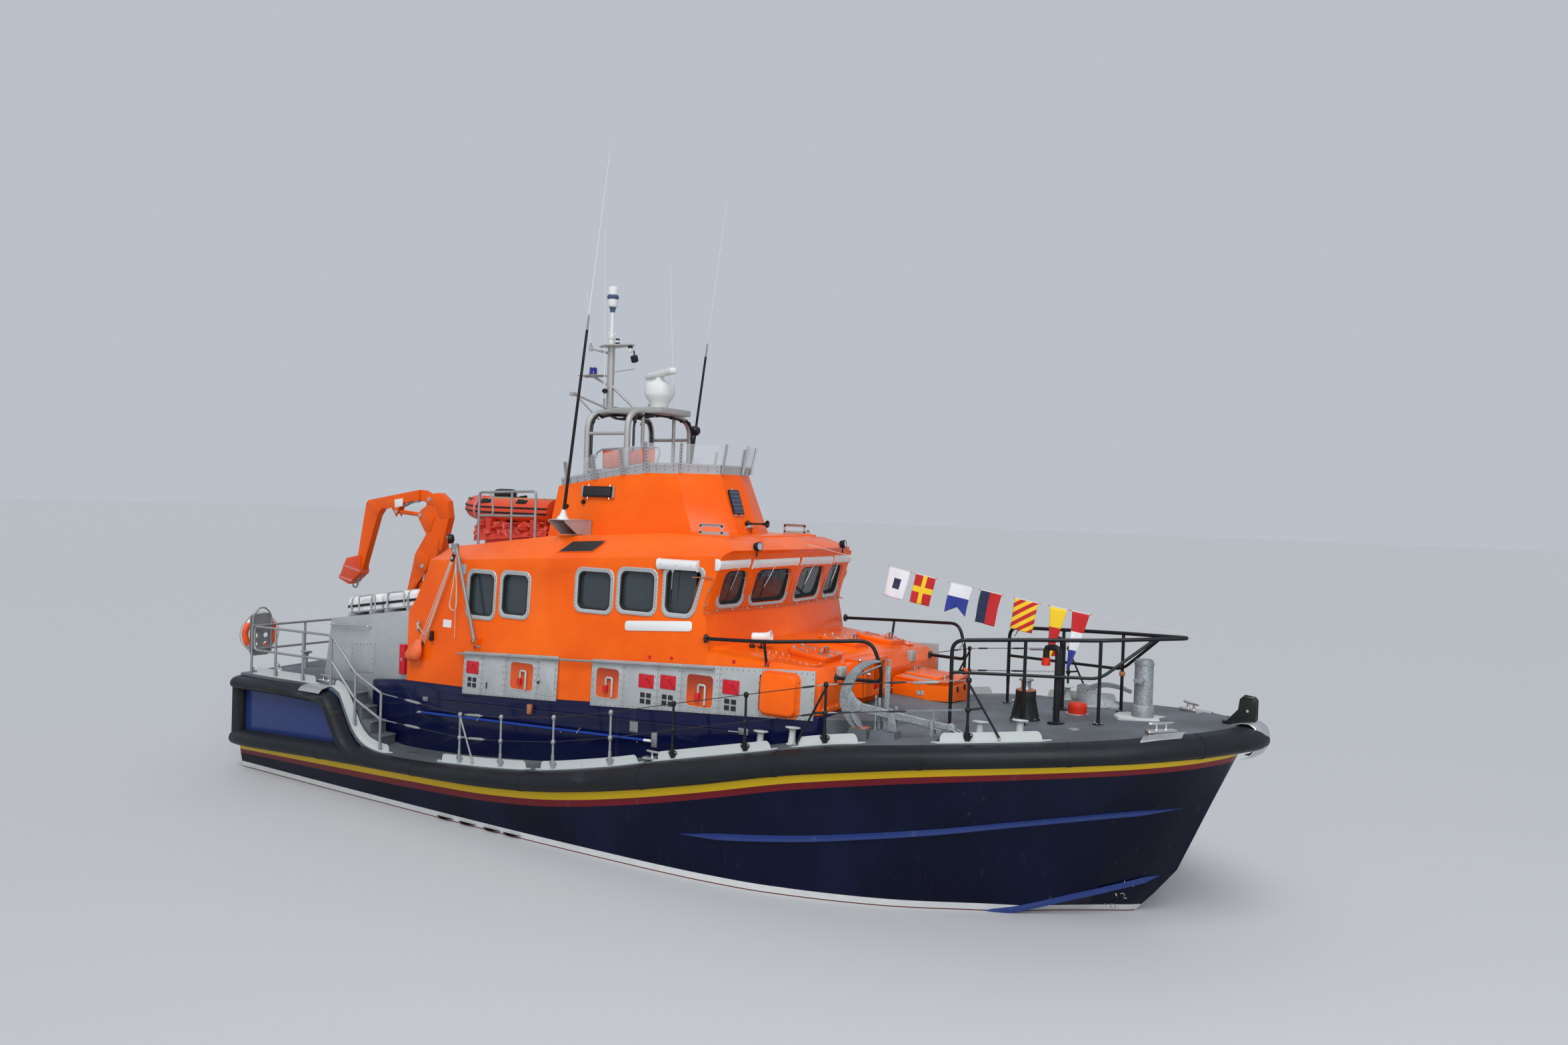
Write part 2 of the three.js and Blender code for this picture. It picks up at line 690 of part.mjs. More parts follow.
function blueCutter(rise) {
  const line = BLUE_LINE.map(([x, z]) => [x, z + rise]);
  return prism('y', [[-6000, 0], [-6000, 1920 + rise], ...line, [4500, 2437 + rise], [4500, 0]], -3000, 3000);
}

const houseOuter = houseBody(0).add(trunkBody(0)).subtract(blueCutter(GAP));
const houseInner = houseBody(WALL).add(trunkBody(WALL));
const houseShell = houseOuter.subtract(houseInner);

// Side windows: aft and fore edges at the foot, width, foot and head heights
const SIDE_WINDOWS = [
  [-3100, 550, 3190, 3890], [-2370, 550, 3260, 3910],
  [-820, 650, 3470, 4050], [-10, 650, 3510, 4100],
];
const CORNER_RADIUS = 110;
const CORNER_LIGHT = [[830, 3530], [1250, 3530], [1450, 4170], [830, 4170]];

function sideWindow([x, width, foot, head]) {
  const outline = slab(x + width / 2, (foot + head) / 2, width, head - foot, CORNER_RADIUS);
  return prism('y', outline, 1700, 2400);
}

// Front windows on the raked faces: distance from the centreline and half-width
const FRONT_WINDOWS = [[575, 440], [1490, 270]];
const FRONT_HEIGHT = 520;

function frontWindow([y, half]) {
  const [sillX, sillZ] = FRONT.sill;
  const [headX, headZ] = FRONT.head;
  const lean = THREE.MathUtils.radToDeg(Math.atan2(headX - sillX, headZ - sillZ));
  const outline = slab(0, 0, half * 2, FRONT_HEIGHT, CORNER_RADIUS);
  const cutter = prism('x', outline, -300, 300);
  const middle = [(sillX + headX) / 2 - FRONT.sweep * y, y, (sillZ + headZ) / 2];
  const sweep = THREE.MathUtils.radToDeg(Math.atan(FRONT.sweep));
  return cutter.rotate([0, lean, 0]).rotate([0, 0, sweep]).translate(middle);
}

const windowCuts = both(join([
  ...SIDE_WINDOWS.map(sideWindow),
  prism('y', CORNER_LIGHT, 1700, 2400),
  ...FRONT_WINDOWS.map(frontWindow),
]));

// The house parts along two planes: above the knuckle is the roof, ahead is the trunk
function roofZone(rise) {
  const line = KNUCKLE_LINE.map(([x, z]) => [x, z + rise]);
  return prism('y', [[-5000, 4000 + rise], ...line, [2400, 6000], [-5000, 6000]], -3000, 3000);
}

const TRUNK_SPLIT = 1790;
const AFT_OPENING = box([-4800, -4200], [-1500, 1500], [1500, 2950]);
const trunkZone = (shift) => box([TRUNK_SPLIT + shift, 5000], [-3000, 3000], [0, 3300]);
const roofShell = houseShell.intersect(roofZone(GAP));
const belowRoof = houseShell.subtract(roofZone(0));
const trunkShell = belowRoof.intersect(trunkZone(GAP));
const wallShell = belowRoof.subtract(trunkZone(0));

// The house carries the bracket of the recovery davit on its starboard side
const DAVIT_ARM = { foot: [-2820, 2800], head: [-3300, 4340], y: -2120, pin: 12 };

function davitBracket() {
  const [fx, fz] = DAVIT_ARM.foot;
  const { y, pin } = DAVIT_ARM;
  const ears = [-1, 1].map((side) => box([fx + side * 52 - 6, fx + side * 52 + 6], [y - 34, 0], [fz - 45, fz + 25]));
  const base = box([fx - 70, fx + 70], [y + 60, 0], [fz - 70, fz + 70]);
  return join([...ears, base, tube([[fx - 56, y, fz], [fx + 56, y, fz]], pin, 10)]).subtract(houseBody(WALL / 2));
}

const FLYBRIDGE_HATCH = box([-1700, -1000], [-350, 350], [4000, 5000]);
add('wheelhouse_walls', wallShell.subtract(windowCuts).subtract(AFT_OPENING).add(davitBracket()), ORANGE);
add('wheelhouse_roof', roofShell.subtract(FLYBRIDGE_HATCH), ORANGE);

// Fore trunk with its three hatches and the recess box
const HATCHES = [
  { name: 'hatch_starboard', x: 2860, y: -1130 },
  { name: 'hatch_centre', x: 2700, y: 60 },
  { name: 'hatch_port', x: 2780, y: 1130 },
];
const HATCH = { length: 620, width: 560, seat: 25, thick: 50, radius: 80, hole: 60 };

function trunkTop(x, y) {
  const centre = at([[1760, 3150], [3020, 3050], [3260, 3000]], x, 1);
  const side = at([[1760, 3105], [3020, 2965], [3260, 2915]], x, 1);
  return THREE.MathUtils.lerp(centre, side, Math.abs(y) / (wallY(3000) - 150));
}

function hatchTilt(x, y) {
  const alongX = (trunkTop(x + 200, y) - trunkTop(x - 200, y)) / 400;
  const alongY = (trunkTop(x, y + 100) - trunkTop(x, y - 100)) / 200;
  return [THREE.MathUtils.radToDeg(Math.atan(alongY)), -THREE.MathUtils.radToDeg(Math.atan(alongX)), 0];
}

function onTrunk(part, { x, y }) {
  return part.rotate(hatchTilt(x, y)).translate([x, y, trunkTop(x, y)]);
}

function hatchHole(hatch) {
  const { length, width, hole, radius } = HATCH;
  return onTrunk(prism('z', slab(0, 0, length - hole * 2, width - hole * 2, radius), -300, 300), hatch);
}

function hatchCoaming(hatch) {
  const { length, width, seat, radius } = HATCH;
  return onTrunk(prism('z', slab(0, 0, length - 20, width - 20, radius), -40, seat), hatch);
}

function hatchLid() {
  const { length, width, seat, thick, radius } = HATCH;
  const foot = seat + GAP;
  const plate = prism('z', slab(0, 0, length, width, radius), foot, foot + thick);
  const handle = tube(rounded([[100, -70, 60], [100, -70, 140], [100, 70, 140], [100, 70, 60]], 40, 2), 14, 6);
  const hinges = join([-150, 150].map((y) => box([-length / 2 - 60, -length / 2 + 80], [y - 25, y + 25], [30, 85])));
  return join([plate, handle, hinges]);
}

const RECESS = { y: [-1000, -230], z: [2490, 3010], fore: 3560, mouth: 60 };

function recessBox() {
  const { y, z, fore, mouth } = RECESS;
  const shell = box([3250, fore], y, z);
  const pocket = box([3320, fore + 50], [y[0] + 330, y[1] - mouth], [z[0] + mouth, z[1] - mouth]);
  return { shell, pocket };
}

const recess = recessBox();
const trunkParts = [trunkShell, recess.shell.subtract(houseInner), ...HATCHES.map(hatchCoaming)];
const trunkHoles = [recess.pocket, cutBelow, blueCutter(GAP), ...HATCHES.map(hatchHole)];
const trunk = join(trunkParts).subtract(join(trunkHoles));
add('fore_trunk', trunk, ORANGE);
for (const hatch of HATCHES) {
  add(hatch.name, onTrunk(hatchLid(), hatch), ORANGE);
}

// Glazing: one curved strip of toughened glass behind each run of windows
const PANE = 12;

function sideGlazing() {
  const [near, far] = [WALL + GAP, WALL + GAP + PANE];
  const outline = [
    [-3250, 3120], [-1700, 3180], [-900, 3400], [1330, 3450], [1330, 4130], [740, 4180],
    [-900, 4110], [-1700, 3960], [-3250, 3930],
  ];
  const [low, high] = [3100, 4200];
  const strip = prism('x', [
    [-wallY(low) + near, low], [-wallY(high) + near, high], [-wallY(high) + far, high], [-wallY(low) + far, low],
  ], -3400, 1600);
  return strip.intersect(prism('y', outline, -2400, 0));
}

function frontGlazing() {
  const half = (inset) => houseFrontHalf(inset);
  const strip = both(half(WALL + GAP)).subtract(both(half(WALL + GAP + PANE)));
  return strip.intersect(box([1300, 2200], [-1790, 1790], [3640, 4230]));
}

addPair('glazing', sideGlazing(), GLASS);
add('glazing_front', frontGlazing(), GLASS);

// Helm console and seats seen through the glass

function helm() {
  const floorZ = 2300;
  const floor = box([-3600, 1450], [-1850, 1850], [floorZ - 60, floorZ]);
  const console = prism('y', [[820, floorZ - 10], [1350, floorZ - 10], [1380, 3380], [1180, 3420], [900, 3100]], -1500, 1500);
  const seat = join([
    box([-260, 260], [-260, 260], [floorZ - 10, floorZ + 560]),
    box([-320, -200], [-260, 260], [floorZ + 500, floorZ + 1250]),
  ]);
  const seats = [[0, -1200], [0, 0], [0, 1200], [-2600, -1200], [-2600, 1200]];
  const legs = both(join([-3200, 1000].map((x) => box([x - 60, x + 60], [1700, 1850], [800, floorZ - 30]))));
  const body = join([floor, console, legs, ...seats.map(([x, y]) => seat.translate([x, y, 0]))]);
  return body.subtract(cutBelow);
}

add('helm_console', helm(), BLACK);

// Grey bolted panels on the house sides, tied by the handrail
const PANELS = [
  { x: [-3090, -1090], foot: [1930, 2040], head: [2610, 2720] },
  { x: [-420, 3380], foot: [2060, 2310], head: [2750, 2960] },
];
const PANEL = { thick: 22 };

function sidePanel({ x, foot, head }) {
  const outline = [[x[0], foot[0]], [x[1], foot[1]], [x[1], head[1]], [x[0], head[0]]];
  return prism('y', outline, -2400, -1000);
}

function panelSkin(near, far) {
  const [low, high] = [1850, 3000];
  return prism('x', [
    [-wallY(low) - near, low], [-wallY(high) - near, high], [-wallY(high) - far, high], [-wallY(low) - far, low],
  ], -3300, 3380);
}

function sideFittings() {
  const skin = panelSkin(12 + GAP, 12 + PANEL.thick);
  const panels = join(PANELS.map(sidePanel)).intersect(skin);
  const [from, to] = [[-3250, 2570], [1740, 2830]];
  const rail = tube([[from[0], -2110, from[1]], [to[0], -2095, to[1]]], 19);
  const cover = prism('y', slab(2950, 2620, 480, 640, 110), -2170, -2060);
  const posts = join([-3000, -2100, -1200, -300, 600, 1500].map((x) => {
    const z = THREE.MathUtils.lerp(from[1], to[1], (x - from[0]) / (to[0] - from[0]));
    return box([x - 15, x + 15], [-2105, -2050], [z - 15, z + 15]);
  }));
  return join([panels, rail, cover, posts]).subtract(sideCutter());
}

function sideCutter() {
  return panelSkin(-200, GAP + 2).add(blueCutter(GAP).intersect(box([-6000, 4000], [-HOUSE_HALF - GAP, 0], [0, 3000])));
}

addPair('side_panels', sideFittings(), ALLOY);

// Flybridge tub on the roof, open above, with its windbreak

const TUB_BASE = [[-2250, 1150], [60, 1150], [620, 950], [1150, 450], [1260, 0]];
const TUB_RIM = [[-2060, 1020], [-340, 1020], [160, 900], [640, 420], [740, 0]];
const TUB = { baseZ: 4400, rimAft: 5330, rimFore: 5600, wall: 40, centre: -700 };

function mirroredOutline(half) {
  const other = half.filter(([, y]) => y > 0).map(([x, y]) => [x, -y]).reverse();
  return [...half, ...other];
}

function rimZ(x) {
  return at([[-2060, TUB.rimAft], [-340, TUB.rimFore], [740, TUB.rimFore]], x, 1);
}

function tubBody(inset, extra = 0) {
  const shrink = (half) => mirroredOutline(half).map(([x, y]) => {
    const size = Math.hypot(x - TUB.centre, y);
    const share = (size - inset) / size;
    return [TUB.centre + (x - TUB.centre) * share, y * share];
  });
  const [base, rim] = [shrink(TUB_BASE), shrink(TUB_RIM)];
  const over = (b, r, z) => {
    const share = (z - TUB.baseZ) / (TUB.rimFore - TUB.baseZ);
    return [THREE.MathUtils.lerp(b[0], r[0], share), THREE.MathUtils.lerp(b[1], r[1], share)];
  };
  const foot = base.map(([x, y]) => [x, y, TUB.baseZ - extra]);
  const head = rim.map(([x, y], i) => {
    const z = rimZ(mirroredOutline(TUB_RIM)[i][0]) + extra;
    return [...over(base[i], [x, y], Math.max(z, TUB.rimAft)), z];
  });
  return loft([foot, head]);
}

function roofCutter() {
  return houseBar(0).translate([0, 0, GAP]);
}

const tub = tubBody(0).subtract(tubBody(TUB.wall, 50)).subtract(roofCutter());
add('flybridge_tub', tub, ORANGE);

const WINDBREAK = { thick: 14, height: 430, lean: 90 };

function windbreak() {
  const { thick, height, lean } = WINDBREAK;
  const outward = (x, y, distance) => {
    const size = Math.hypot(x - TUB.centre, y);
    return [x + ((x - TUB.centre) / size) * distance, y + (y / size) * distance];
  };
  const rings = mirroredOutline(TUB_RIM).map(([x, y]) => {
    const low = rimZ(x) + GAP;
    const high = rimZ(x) + height;
    return [
      [...outward(x, y, -thick), low], [...outward(x, y, 0), low],
      [...outward(x, y, lean), high], [...outward(x, y, lean - thick), high],
    ];
  });
  return loft(rings).subtract(tubBody(0).translate([0, 0, GAP]));
}

add('flybridge_windbreak', windbreak(), ALLOY);

// Mast arch on the flybridge, with platform, pole, dome and radar

const ARCH = { foreX: -870, aftX: -1700, y: 850, top: 6640, radius: 50 };
const PLATFORM = { x: [-1750, -550], y: 420, z: [6560, 6660] };

function archHoop(x, topX) {
  const foot = 4450;
  const path = rounded([
    [x, -ARCH.y, foot], [x, -ARCH.y, ARCH.top - 120], [topX, -300, ARCH.top - 30],
    [topX, 300, ARCH.top - 30], [x, ARCH.y, ARCH.top - 120], [x, ARCH.y, foot],
  ], 320, 3);
  return tube(path, ARCH.radius, 6);
}

function mast() {
  const { x, y, z } = PLATFORM;
  const platform = box(x, [-y, y], z);
  const hoops = [archHoop(ARCH.foreX, -950), archHoop(ARCH.aftX, -1600)];
  const rungs = both(join([5600, 6200].map((h) => tube([[ARCH.aftX, ARCH.y, h], [ARCH.foreX, ARCH.y, h]], 28, 6))));
  const pole = tube([[-1960, 0, 6600], [-1960, 0, 7760]], 62, 10);
  const poleFoot = box([-2030, -1700], [-70, 70], [6560, 6660]);
  const brace = tube([[-1960, 0, 7100], [-1350, 0, 6620]], 26);
  const plate = prism('z', [[-2230, 0], [-1960, 170], [-1500, 60], [-1500, -60], [-1960, -170]], 7740, 7770);
  const column = turned([[0, 7760], [40, 7760], [32, 8340], [32, 8360], [0, 8360]], 10).translate([-1960, 0, 0]);
  const dome = turned([[0, 8350], [70, 8350], [85, 8420], [85, 8700], [50, 8760], [0, 8770]], 12).translate([-1960, 0, 0]);
  const lightArm = box([-2500, -1960], [-20, 20], [7230, 7260]);
  const light = turned([[0, 7250], [75, 7250], [75, 7400], [0, 7410]], 10).translate([-2350, 0, 0]);
  const pedestal = turned([[0, 6650], [150, 6650], [190, 6780], [250, 6900], [240, 7080], [120, 7110], [60, 7130], [60, 7180], [0, 7180]], 14);
  const radarFoot = pedestal.translate([-900, 0, 0]);
  return join([platform, ...hoops, rungs, pole, poleFoot, brace, plate, column, dome, lightArm, light, radarFoot]);
}

add('mast', mast().subtract(roofCutter()), ALLOY);

const SCANNER = { x: -900, z: [7190, 7300], half: 620, depth: 110 };

function scanner() {
  const { x, z, half, depth } = SCANNER;
  const bar = box([-depth / 2, depth / 2], [-half, half], [z[0] + 15, z[1]]);
  const foot = turned([[0, 7180 + GAP], [70, 7180 + GAP], [70, z[0] + 30], [0, z[0] + 30]], 12);
  return join([bar, foot]).rotate([0, 0, 58]).translate([x, 0, 0]);
}

add('radar_scanner', scanner(), WHITE);

// Whip aerials on brackets at the roof sides

const WHIP = { x: -1500, y: 1600, foot: 4560, joint: 7750, tip: 10470, lean: 0.13 };

function whip() {
  const { x, y, foot, joint, tip, lean } = WHIP;
  const shift = (z) => x + (z - 4800) * lean;
  const bracket = prism('x', [[-1420, 4500], [-1760, 4760], [-1760, 4775], [-1300, 4775], [-1300, 4500]], x - 90, x + 90);
  const base = turned([[0, 4770], [80, 4770], [35, 4860], [0, 4870]], 10).translate([x, -y, 0]);
  const lower = tube([[x, -y, foot + 240], [shift(joint), -y, joint]], 22, 6);
  const upper = tube([[shift(joint - 20), -y, joint - 20], [shift(tip), -y, tip]], 7, 6);
  return join([bracket, base, lower, upper]).subtract(roofCutter());
}

addPair('whip_aerial', whip(), BLACK);

// Inflatable daughter boat on the roof with its cradle and outboard

const TENDER = { tube: 205, z: 4880, nose: -5350, stern: -2700, half: 480 };

function tender() {
  const { tube: radius, z, nose, stern, half } = TENDER;
  const path = rounded([
    [stern, -half, z], [nose + 900, -half, z], [nose + radius, 0, z + 60],
    [nose + 900, half, z], [stern, half, z],
  ], 700, 5);
  const collar = tube(path, radius, 10);
  const floor = prism('z', [
    [stern + 60, -half], [nose + 900, -half], [nose + 450, -200], [nose + 450, 200],
    [nose + 900, half], [stern + 60, half],
  ], z - 170, z - 120);
  const transom = box([stern + 20, stern + 60], [-half, half], [z - 170, z + 160]);
  return join([collar, floor, transom]);
}

function cradle() {
  const chocks = join([-4050, -3000].map((x) => box([x - 60, x + 60], [-700, 700], [4150, 4740])));
  const runners = both(box([-4060, -2600], [640, 700], [4150, 4420]));
  const tenderCut = tender().translate([0, 0, -GAP]).add(tender());
  return join([chocks, runners]).subtract(roofCutter()).subtract(tenderCut);
}

function outboard() {
  const cowl = prism('y', slab(-4350, 5150, 420, 230, 70), -140, 140);
  const leg = box([-4180, -4080], [-60, 60], [4780, 5120]);
  const foot = box([-4300, -3900], [-110, 110], [4760 + GAP, 4800]);
  return join([cowl, leg, foot]);
}

add('tender', tender(), RED);
add('tender_cradle', cradle(), RED);
add('tender_outboard', outboard(), BLACK);

// Roof guard rails beside the tender

function roofRail() {
  const y = -1350;
  const top = rounded([
    [-3600, y, 4250], [-3600, y, 5180], [-2750, y, 5210], [-2320, y, 5225],
    [-2320, y, 4380],
  ], 60);
  const middle = tube([[-3600, y, 4790], [-2320, y, 4820]], 20);
  const post = tube([[-2850, y, 4330], [-2850, y, 5205]], 20);
  return join([tube(top, 22), middle, post]).subtract(roofCutter());
}

addPair('roof_rail', roofRail(), ALLOY);

// Aft casing with its door, and the life rafts on top

const CASING = { x: [-6480, -4500], y: 2000, wall: 30 };
const CASING_PROFILE = [[-6650, 1000], [-6640, 1860], [-6480, 2870], [-4495, 3160], [-4430, 1800], [-4430, 1000]];
const DOOR = { y: [350, 1050], z: [1960, 2760] };

function casing() {
  const y = CASING.y;
  const outer = prism('y', CASING_PROFILE, -y, y);
  const inner = prism('y', [
    [-6615, 900], [-6605, 1860], [-6455, 2842], [-4400, 3142], [-4400, 900],
  ], CASING.wall - y, y - CASING.wall);
  const doorway = box([-6800, -6300], DOOR.y, DOOR.z);
  const houseGap = houseBody(0).translate([-GAP, 0, 0]).add(box([-4500, -3000], [-3000, 3000], [1500, 2100]));
  const coamingGap = box([COAMING.aft - GAP, 0], [-HOUSE_HALF - GAP, HOUSE_HALF + GAP], [0, 3000])
    .intersect(blueCutter(GAP));
  return outer.subtract(inner).subtract(doorway).subtract(houseGap).subtract(coamingGap).subtract(cutBelow);
}

function aftDoor() {
  const lean = THREE.MathUtils.radToDeg(Math.atan2(160, 1010));
  const width = DOOR.y[1] - DOOR.y[0] - 20;
  const height = DOOR.z[1] - DOOR.z[0] - 20;
  const leaf = prism('x', slab(0, 0, width + 90, height + 90, 90), -40, -GAP);
  const wheel = turned([[0, 0], [90, 0], [90, 20], [0, 20]], 10).rotate([0, -90, 0]).translate([-38, -120, 0]);
  const knuckles = join([-260, 260].map((z) => tube([[-40, width / 2 + 60, z - 60], [-40, width / 2 + 60, z + 60]], 18)));
  const straps = join([-260, 260].map((z) => box([-46, -34], [width / 2 - 100, width / 2 + 60], [z - 30, z + 30])));
  const middle = [casingAftX((DOOR.z[0] + DOOR.z[1]) / 2), (DOOR.y[0] + DOOR.y[1]) / 2, (DOOR.z[0] + DOOR.z[1]) / 2];
  return join([leaf, wheel, knuckles, straps]).rotate([0, lean, 0]).translate(middle);
}

function casingAftX(z) {
  return at([[1860, -6640], [2870, -6480]], z, 1);
}

add('aft_casing', casing(), ALLOY);
add('aft_door', aftDoor(), ALLOY);

function lifeRafts() {
  const top = (x) => at([[-6480, 2870], [-4495, 3160]], x, 1);
  const raft = (x, y) => {
    const canister = prism('x', slab(0, 175, 760, 300, 110, 2), -430, 430);
    return canister.translate([x, y, top(x) + 35]);
  };
  const spots = [[-6020, -1350], [-5080, -1350], [-6020, 1350], [-5080, 1350]];
  const rails = [-6300, -5750, -5350, -4800].map((x) => box([x - 25, x + 25], [-1780, 1780], [top(x) - 60, top(x) + 60]));
  const ties = both(prism('y', [
    [-6460, top(-6460)], [-4560, top(-4560)], [-4560, top(-4560) + 50], [-6460, top(-6460) + 50],
  ], 1000, 1050));
  const casingCut = prism('y', [[-6650, 0], [-6480, 2870 + GAP], [-4495, 3160 + GAP], [-4400, 0]], -3000, 3000);
  return join([...spots.map(([x, y]) => raft(x, y)), ...rails, ties]).subtract(casingCut).subtract(houseBody(0));
}

add('life_rafts', lifeRafts(), WHITE);

// Knuckle-boom crane on the quarterdeck, folded

const CRANE = {
  post: [-6900, 0], foot: [-6880, 2950], head: [-6480, 4710], jib: [-6250, 5020],
  gusset: [-7180, 4760], luffLow: [-6600, 2960], luffHigh: [-6390, 3740],
};
const BOOM = { half: 78, cheek: 22 };

function pinAt([x, z], radius, half, sides = 10) {
  return tube([[x, -half, z], [x, half, z]], radius, sides);
}

// Half-widths of the eyes at the two rods' ends, and of the eyes at the cylinders' feet
const LUFF_EYE = 26;
const JIB_EYE = 22;
const ROD_PIN = 26;

// The pin's two ends, one on each side of a rod's eye, which slides between them
function pinStubs([x, z], eye) {
  return both(tube([[x, eye + GAP, z], [x, BOOM.half, z]], ROD_PIN, 10));
}

function cranePedestal() {
  const [x] = CRANE.post;
  const z = deckZ(x) + GAP;
  const body = turned([[0, z], [230, z], [230, z + 30], [170, z + 60], [160, 2250], [0, 2250]], 16);
  return body.translate([x, 0, 0]).subtract(cutBelow);
}

function craneColumn() {
  const [x] = CRANE.post;
  const base = turned([[0, 2250 + GAP], [180, 2250 + GAP], [180, 2310], [130, 2330], [130, 2740], [0, 2740]], 16);
  const cheek = prism('y', [
    [x - 130, 2600], [x + 110, 2600], [-6560, 2890], [-6535, 2960], [-6560, 3020], [-6640, 3020],
    [-6800, 3010], [-6860, 3035], [-6940, 3015], [-6970, 2950],
  ], 85, 85 + BOOM.cheek);
  const web = box([x - 110, x + 100], [-90, 90], [2600, 2740]);
  const pins = join([pinAt(CRANE.foot, 38, 107), pinAt(CRANE.luffLow, 26, 107)]);
  return join([base.translate([x, 0, 0]), both(cheek), web, pins]);
}

function lowerBoom() {
  const outline = [
    [-6950, 2900], [-6890, 2870], [-6820, 2900], [-6800, 2990], [-6690, 3232], [-6600, 3290], [-6330, 3620], [-5900, 4080], [-5720, 4680],
    [-5780, 5000], [-6000, 5150], [-6250, 5120], [-6350, 5040], [-6340, 4900],
    [-6500, 4800], [-6570, 4720], [-6540, 4630],
    [-6330, 4350], [-6620, 3960], [-6700, 3640], [-6830, 3180], [-6960, 2990],
  ];
  return prism('y', outline, -BOOM.half, BOOM.half);
}

add('crane_pedestal', cranePedestal(), ORANGE);
add('crane_column', craneColumn(), ORANGE);

const footBush = pinAt(CRANE.foot, eyeHole(38), 200, 12);
const headBush = pinAt(CRANE.jib, eyeHole(30), 200, 12);

function lowerBoomWithPins() {
  const slot = prism('y', [[-6450, 4380], [-6700, 4600], [-6700, 5400], [-6000, 5400], [-6130, 4880]], -30, 30);
  const luffSlot = prism('y', [
    [-6735, 3167], [-6700, 2900], [-6450, 2900], [-6150, 3600], [-6320, 3790], [-6390, 3820], [-6453, 3770],
  ], -52, 52);
  const body = lowerBoom().subtract(footBush).subtract(slot).subtract(luffSlot);
  return join([body, pinAt(CRANE.jib, 30, BOOM.half), pinStubs(CRANE.luffHigh, LUFF_EYE), pinStubs(CRANE.head, JIB_EYE)]);
}

add('crane_lower_boom', lowerBoomWithPins(), ORANGE);

function upperBoom() {
  const neck = prism('y', [
    [-6200, 4950], [-6180, 5100], [-6420, 5190], [-6620, 5190], [-6620, 4990], [-6330, 4960],
  ], -24, 24).subtract(headBush);
  const arm = prism('y', [
    [-6560, 5195], [-6560, 5000], [-7080, 4930], [-7180, 4660], [-7320, 4850], [-7620, 4800],
    [-7740, 4660], [-8150, 3560], [-8350, 3560], [-8080, 4900], [-8020, 4960],
  ], -65, 65);
  const hook = prism('y', [[-8580, 3780], [-8180, 3860], [-8160, 3500], [-8500, 3260], [-8800, 3360]], -110, 110);
  const slot = prism('y', [[-7400, 4500], [-7400, 4810], [-6900, 4870], [-6900, 4500]], -48, 48);
  return join([neck, arm.subtract(slot), hook, pinAt(CRANE.gusset, 26, 65)]);
}

add('crane_upper_boom', upperBoom(), ORANGE);

function cylinderPair(from, to, share, inner, radius, eye, pinRadius) {
  const a = new THREE.Vector3(from[0], 0, from[1]);
  const b = new THREE.Vector3(to[0], 0, to[1]);
  const run = b.clone().sub(a);
  const unit = run.clone().normalize();
  const point = (d) => a.clone().addScaledVector(unit, d).toArray();
  const length = run.length();
  const barrelEnd = length * share;
  const eyeA = tube([[from[0], -eye, from[1]], [from[0], eye, from[1]]], pinRadius + 24, 12);
  const eyeB = tube([[to[0], -eye, to[1]], [to[0], eye, to[1]]], pinRadius + 24, 12);
  const barrel = tube([point(20), point(barrelEnd)], radius, 10).add(eyeA);
  const bore = tube([point(length * 0.05), point(barrelEnd + 20)], radius * 0.62, 10);
  const rod = tube([point(length * inner), point(length - 10)], radius * 0.5, 10).add(eyeB);
  const holeA = tube([[from[0], -300, from[1]], [from[0], 300, from[1]]], eyeHole(pinRadius), 12);
  return [barrel.subtract(bore).subtract(holeA), rod];
}

const [luffBarrel, luffRod] = cylinderPair(CRANE.luffLow, CRANE.luffHigh, 0.6, 0.25, 46, LUFF_EYE, ROD_PIN);
const [jibBarrel, jibRod] = cylinderPair(CRANE.gusset, CRANE.head, 0.87, 0.09, 42, JIB_EYE, ROD_PIN);
add('luff_cylinder', luffBarrel, ORANGE);
add('luff_rod', luffRod, STEEL);
add('jib_cylinder', jibBarrel, ORANGE);
add('jib_rod', jibRod, STEEL);

// Guard rails round the quarterdeck, with the lifebuoy on its plate

function railPost(x, y, top, radius = 22) {
  const z = deckZ(x, y) - DECK;
  return tube([[x, y, z], [x, y, top]], radius, 6);
}

function quarterRails() {
  const inset = 90;
  const y = (x) => -(edgeY(x) - inset);
  const stations = [-8250, -7460, -6630, -5830];
  const posts = stations.map((x) => railPost(x, y(x), deckZ(x, y(x)) + 860));
  const low = [[-5150, 2080], [-4480, 1830]];
  const top = (x) => deckZ(x, y(x)) + 860;
  const line = (drop) => [
    [-8250, y(-8250), top(-8250) - drop], [-5830, y(-5830), top(-5830) - drop],
    [low[0][0], y(low[0][0]), low[0][1] - drop], [low[1][0], y(low[1][0]), low[1][1] - drop],
  ];
  const rails = [0, 430].map((drop) => tube(rounded(line(drop), 200, 2), 21, 5));
  const ends = [railPost(-5150, y(-5150), 2080), railPost(-4480, y(-4480), 1830)];
  const transom = [430, 860].map((rise) => {
    const z = deckZ(-8250, y(-8250)) + rise;
    return tube([[-8250, y(-8250), z], [-8250, 20, z]], 21, 5);
  });
  const middle = [railPost(-8250, -1250, top(-8250)), railPost(-8250, -450, top(-8250))];
  return join([...posts, ...rails, ...ends, ...transom, ...middle]).subtract(cutBelow);
}

const buoyPlate = box([-8300, -8285], [-2400, -1850], [2050, 2820]);
const quarterRailing = both(quarterRails()).add(join([
  buoyPlate,
  box([-8290, -8240], [-2330, -1920], [2180, 2210]),
  box([-8290, -8240], [-2330, -1920], [2600, 2630]),
]));
add('quarter_rails', quarterRailing, ALLOY);

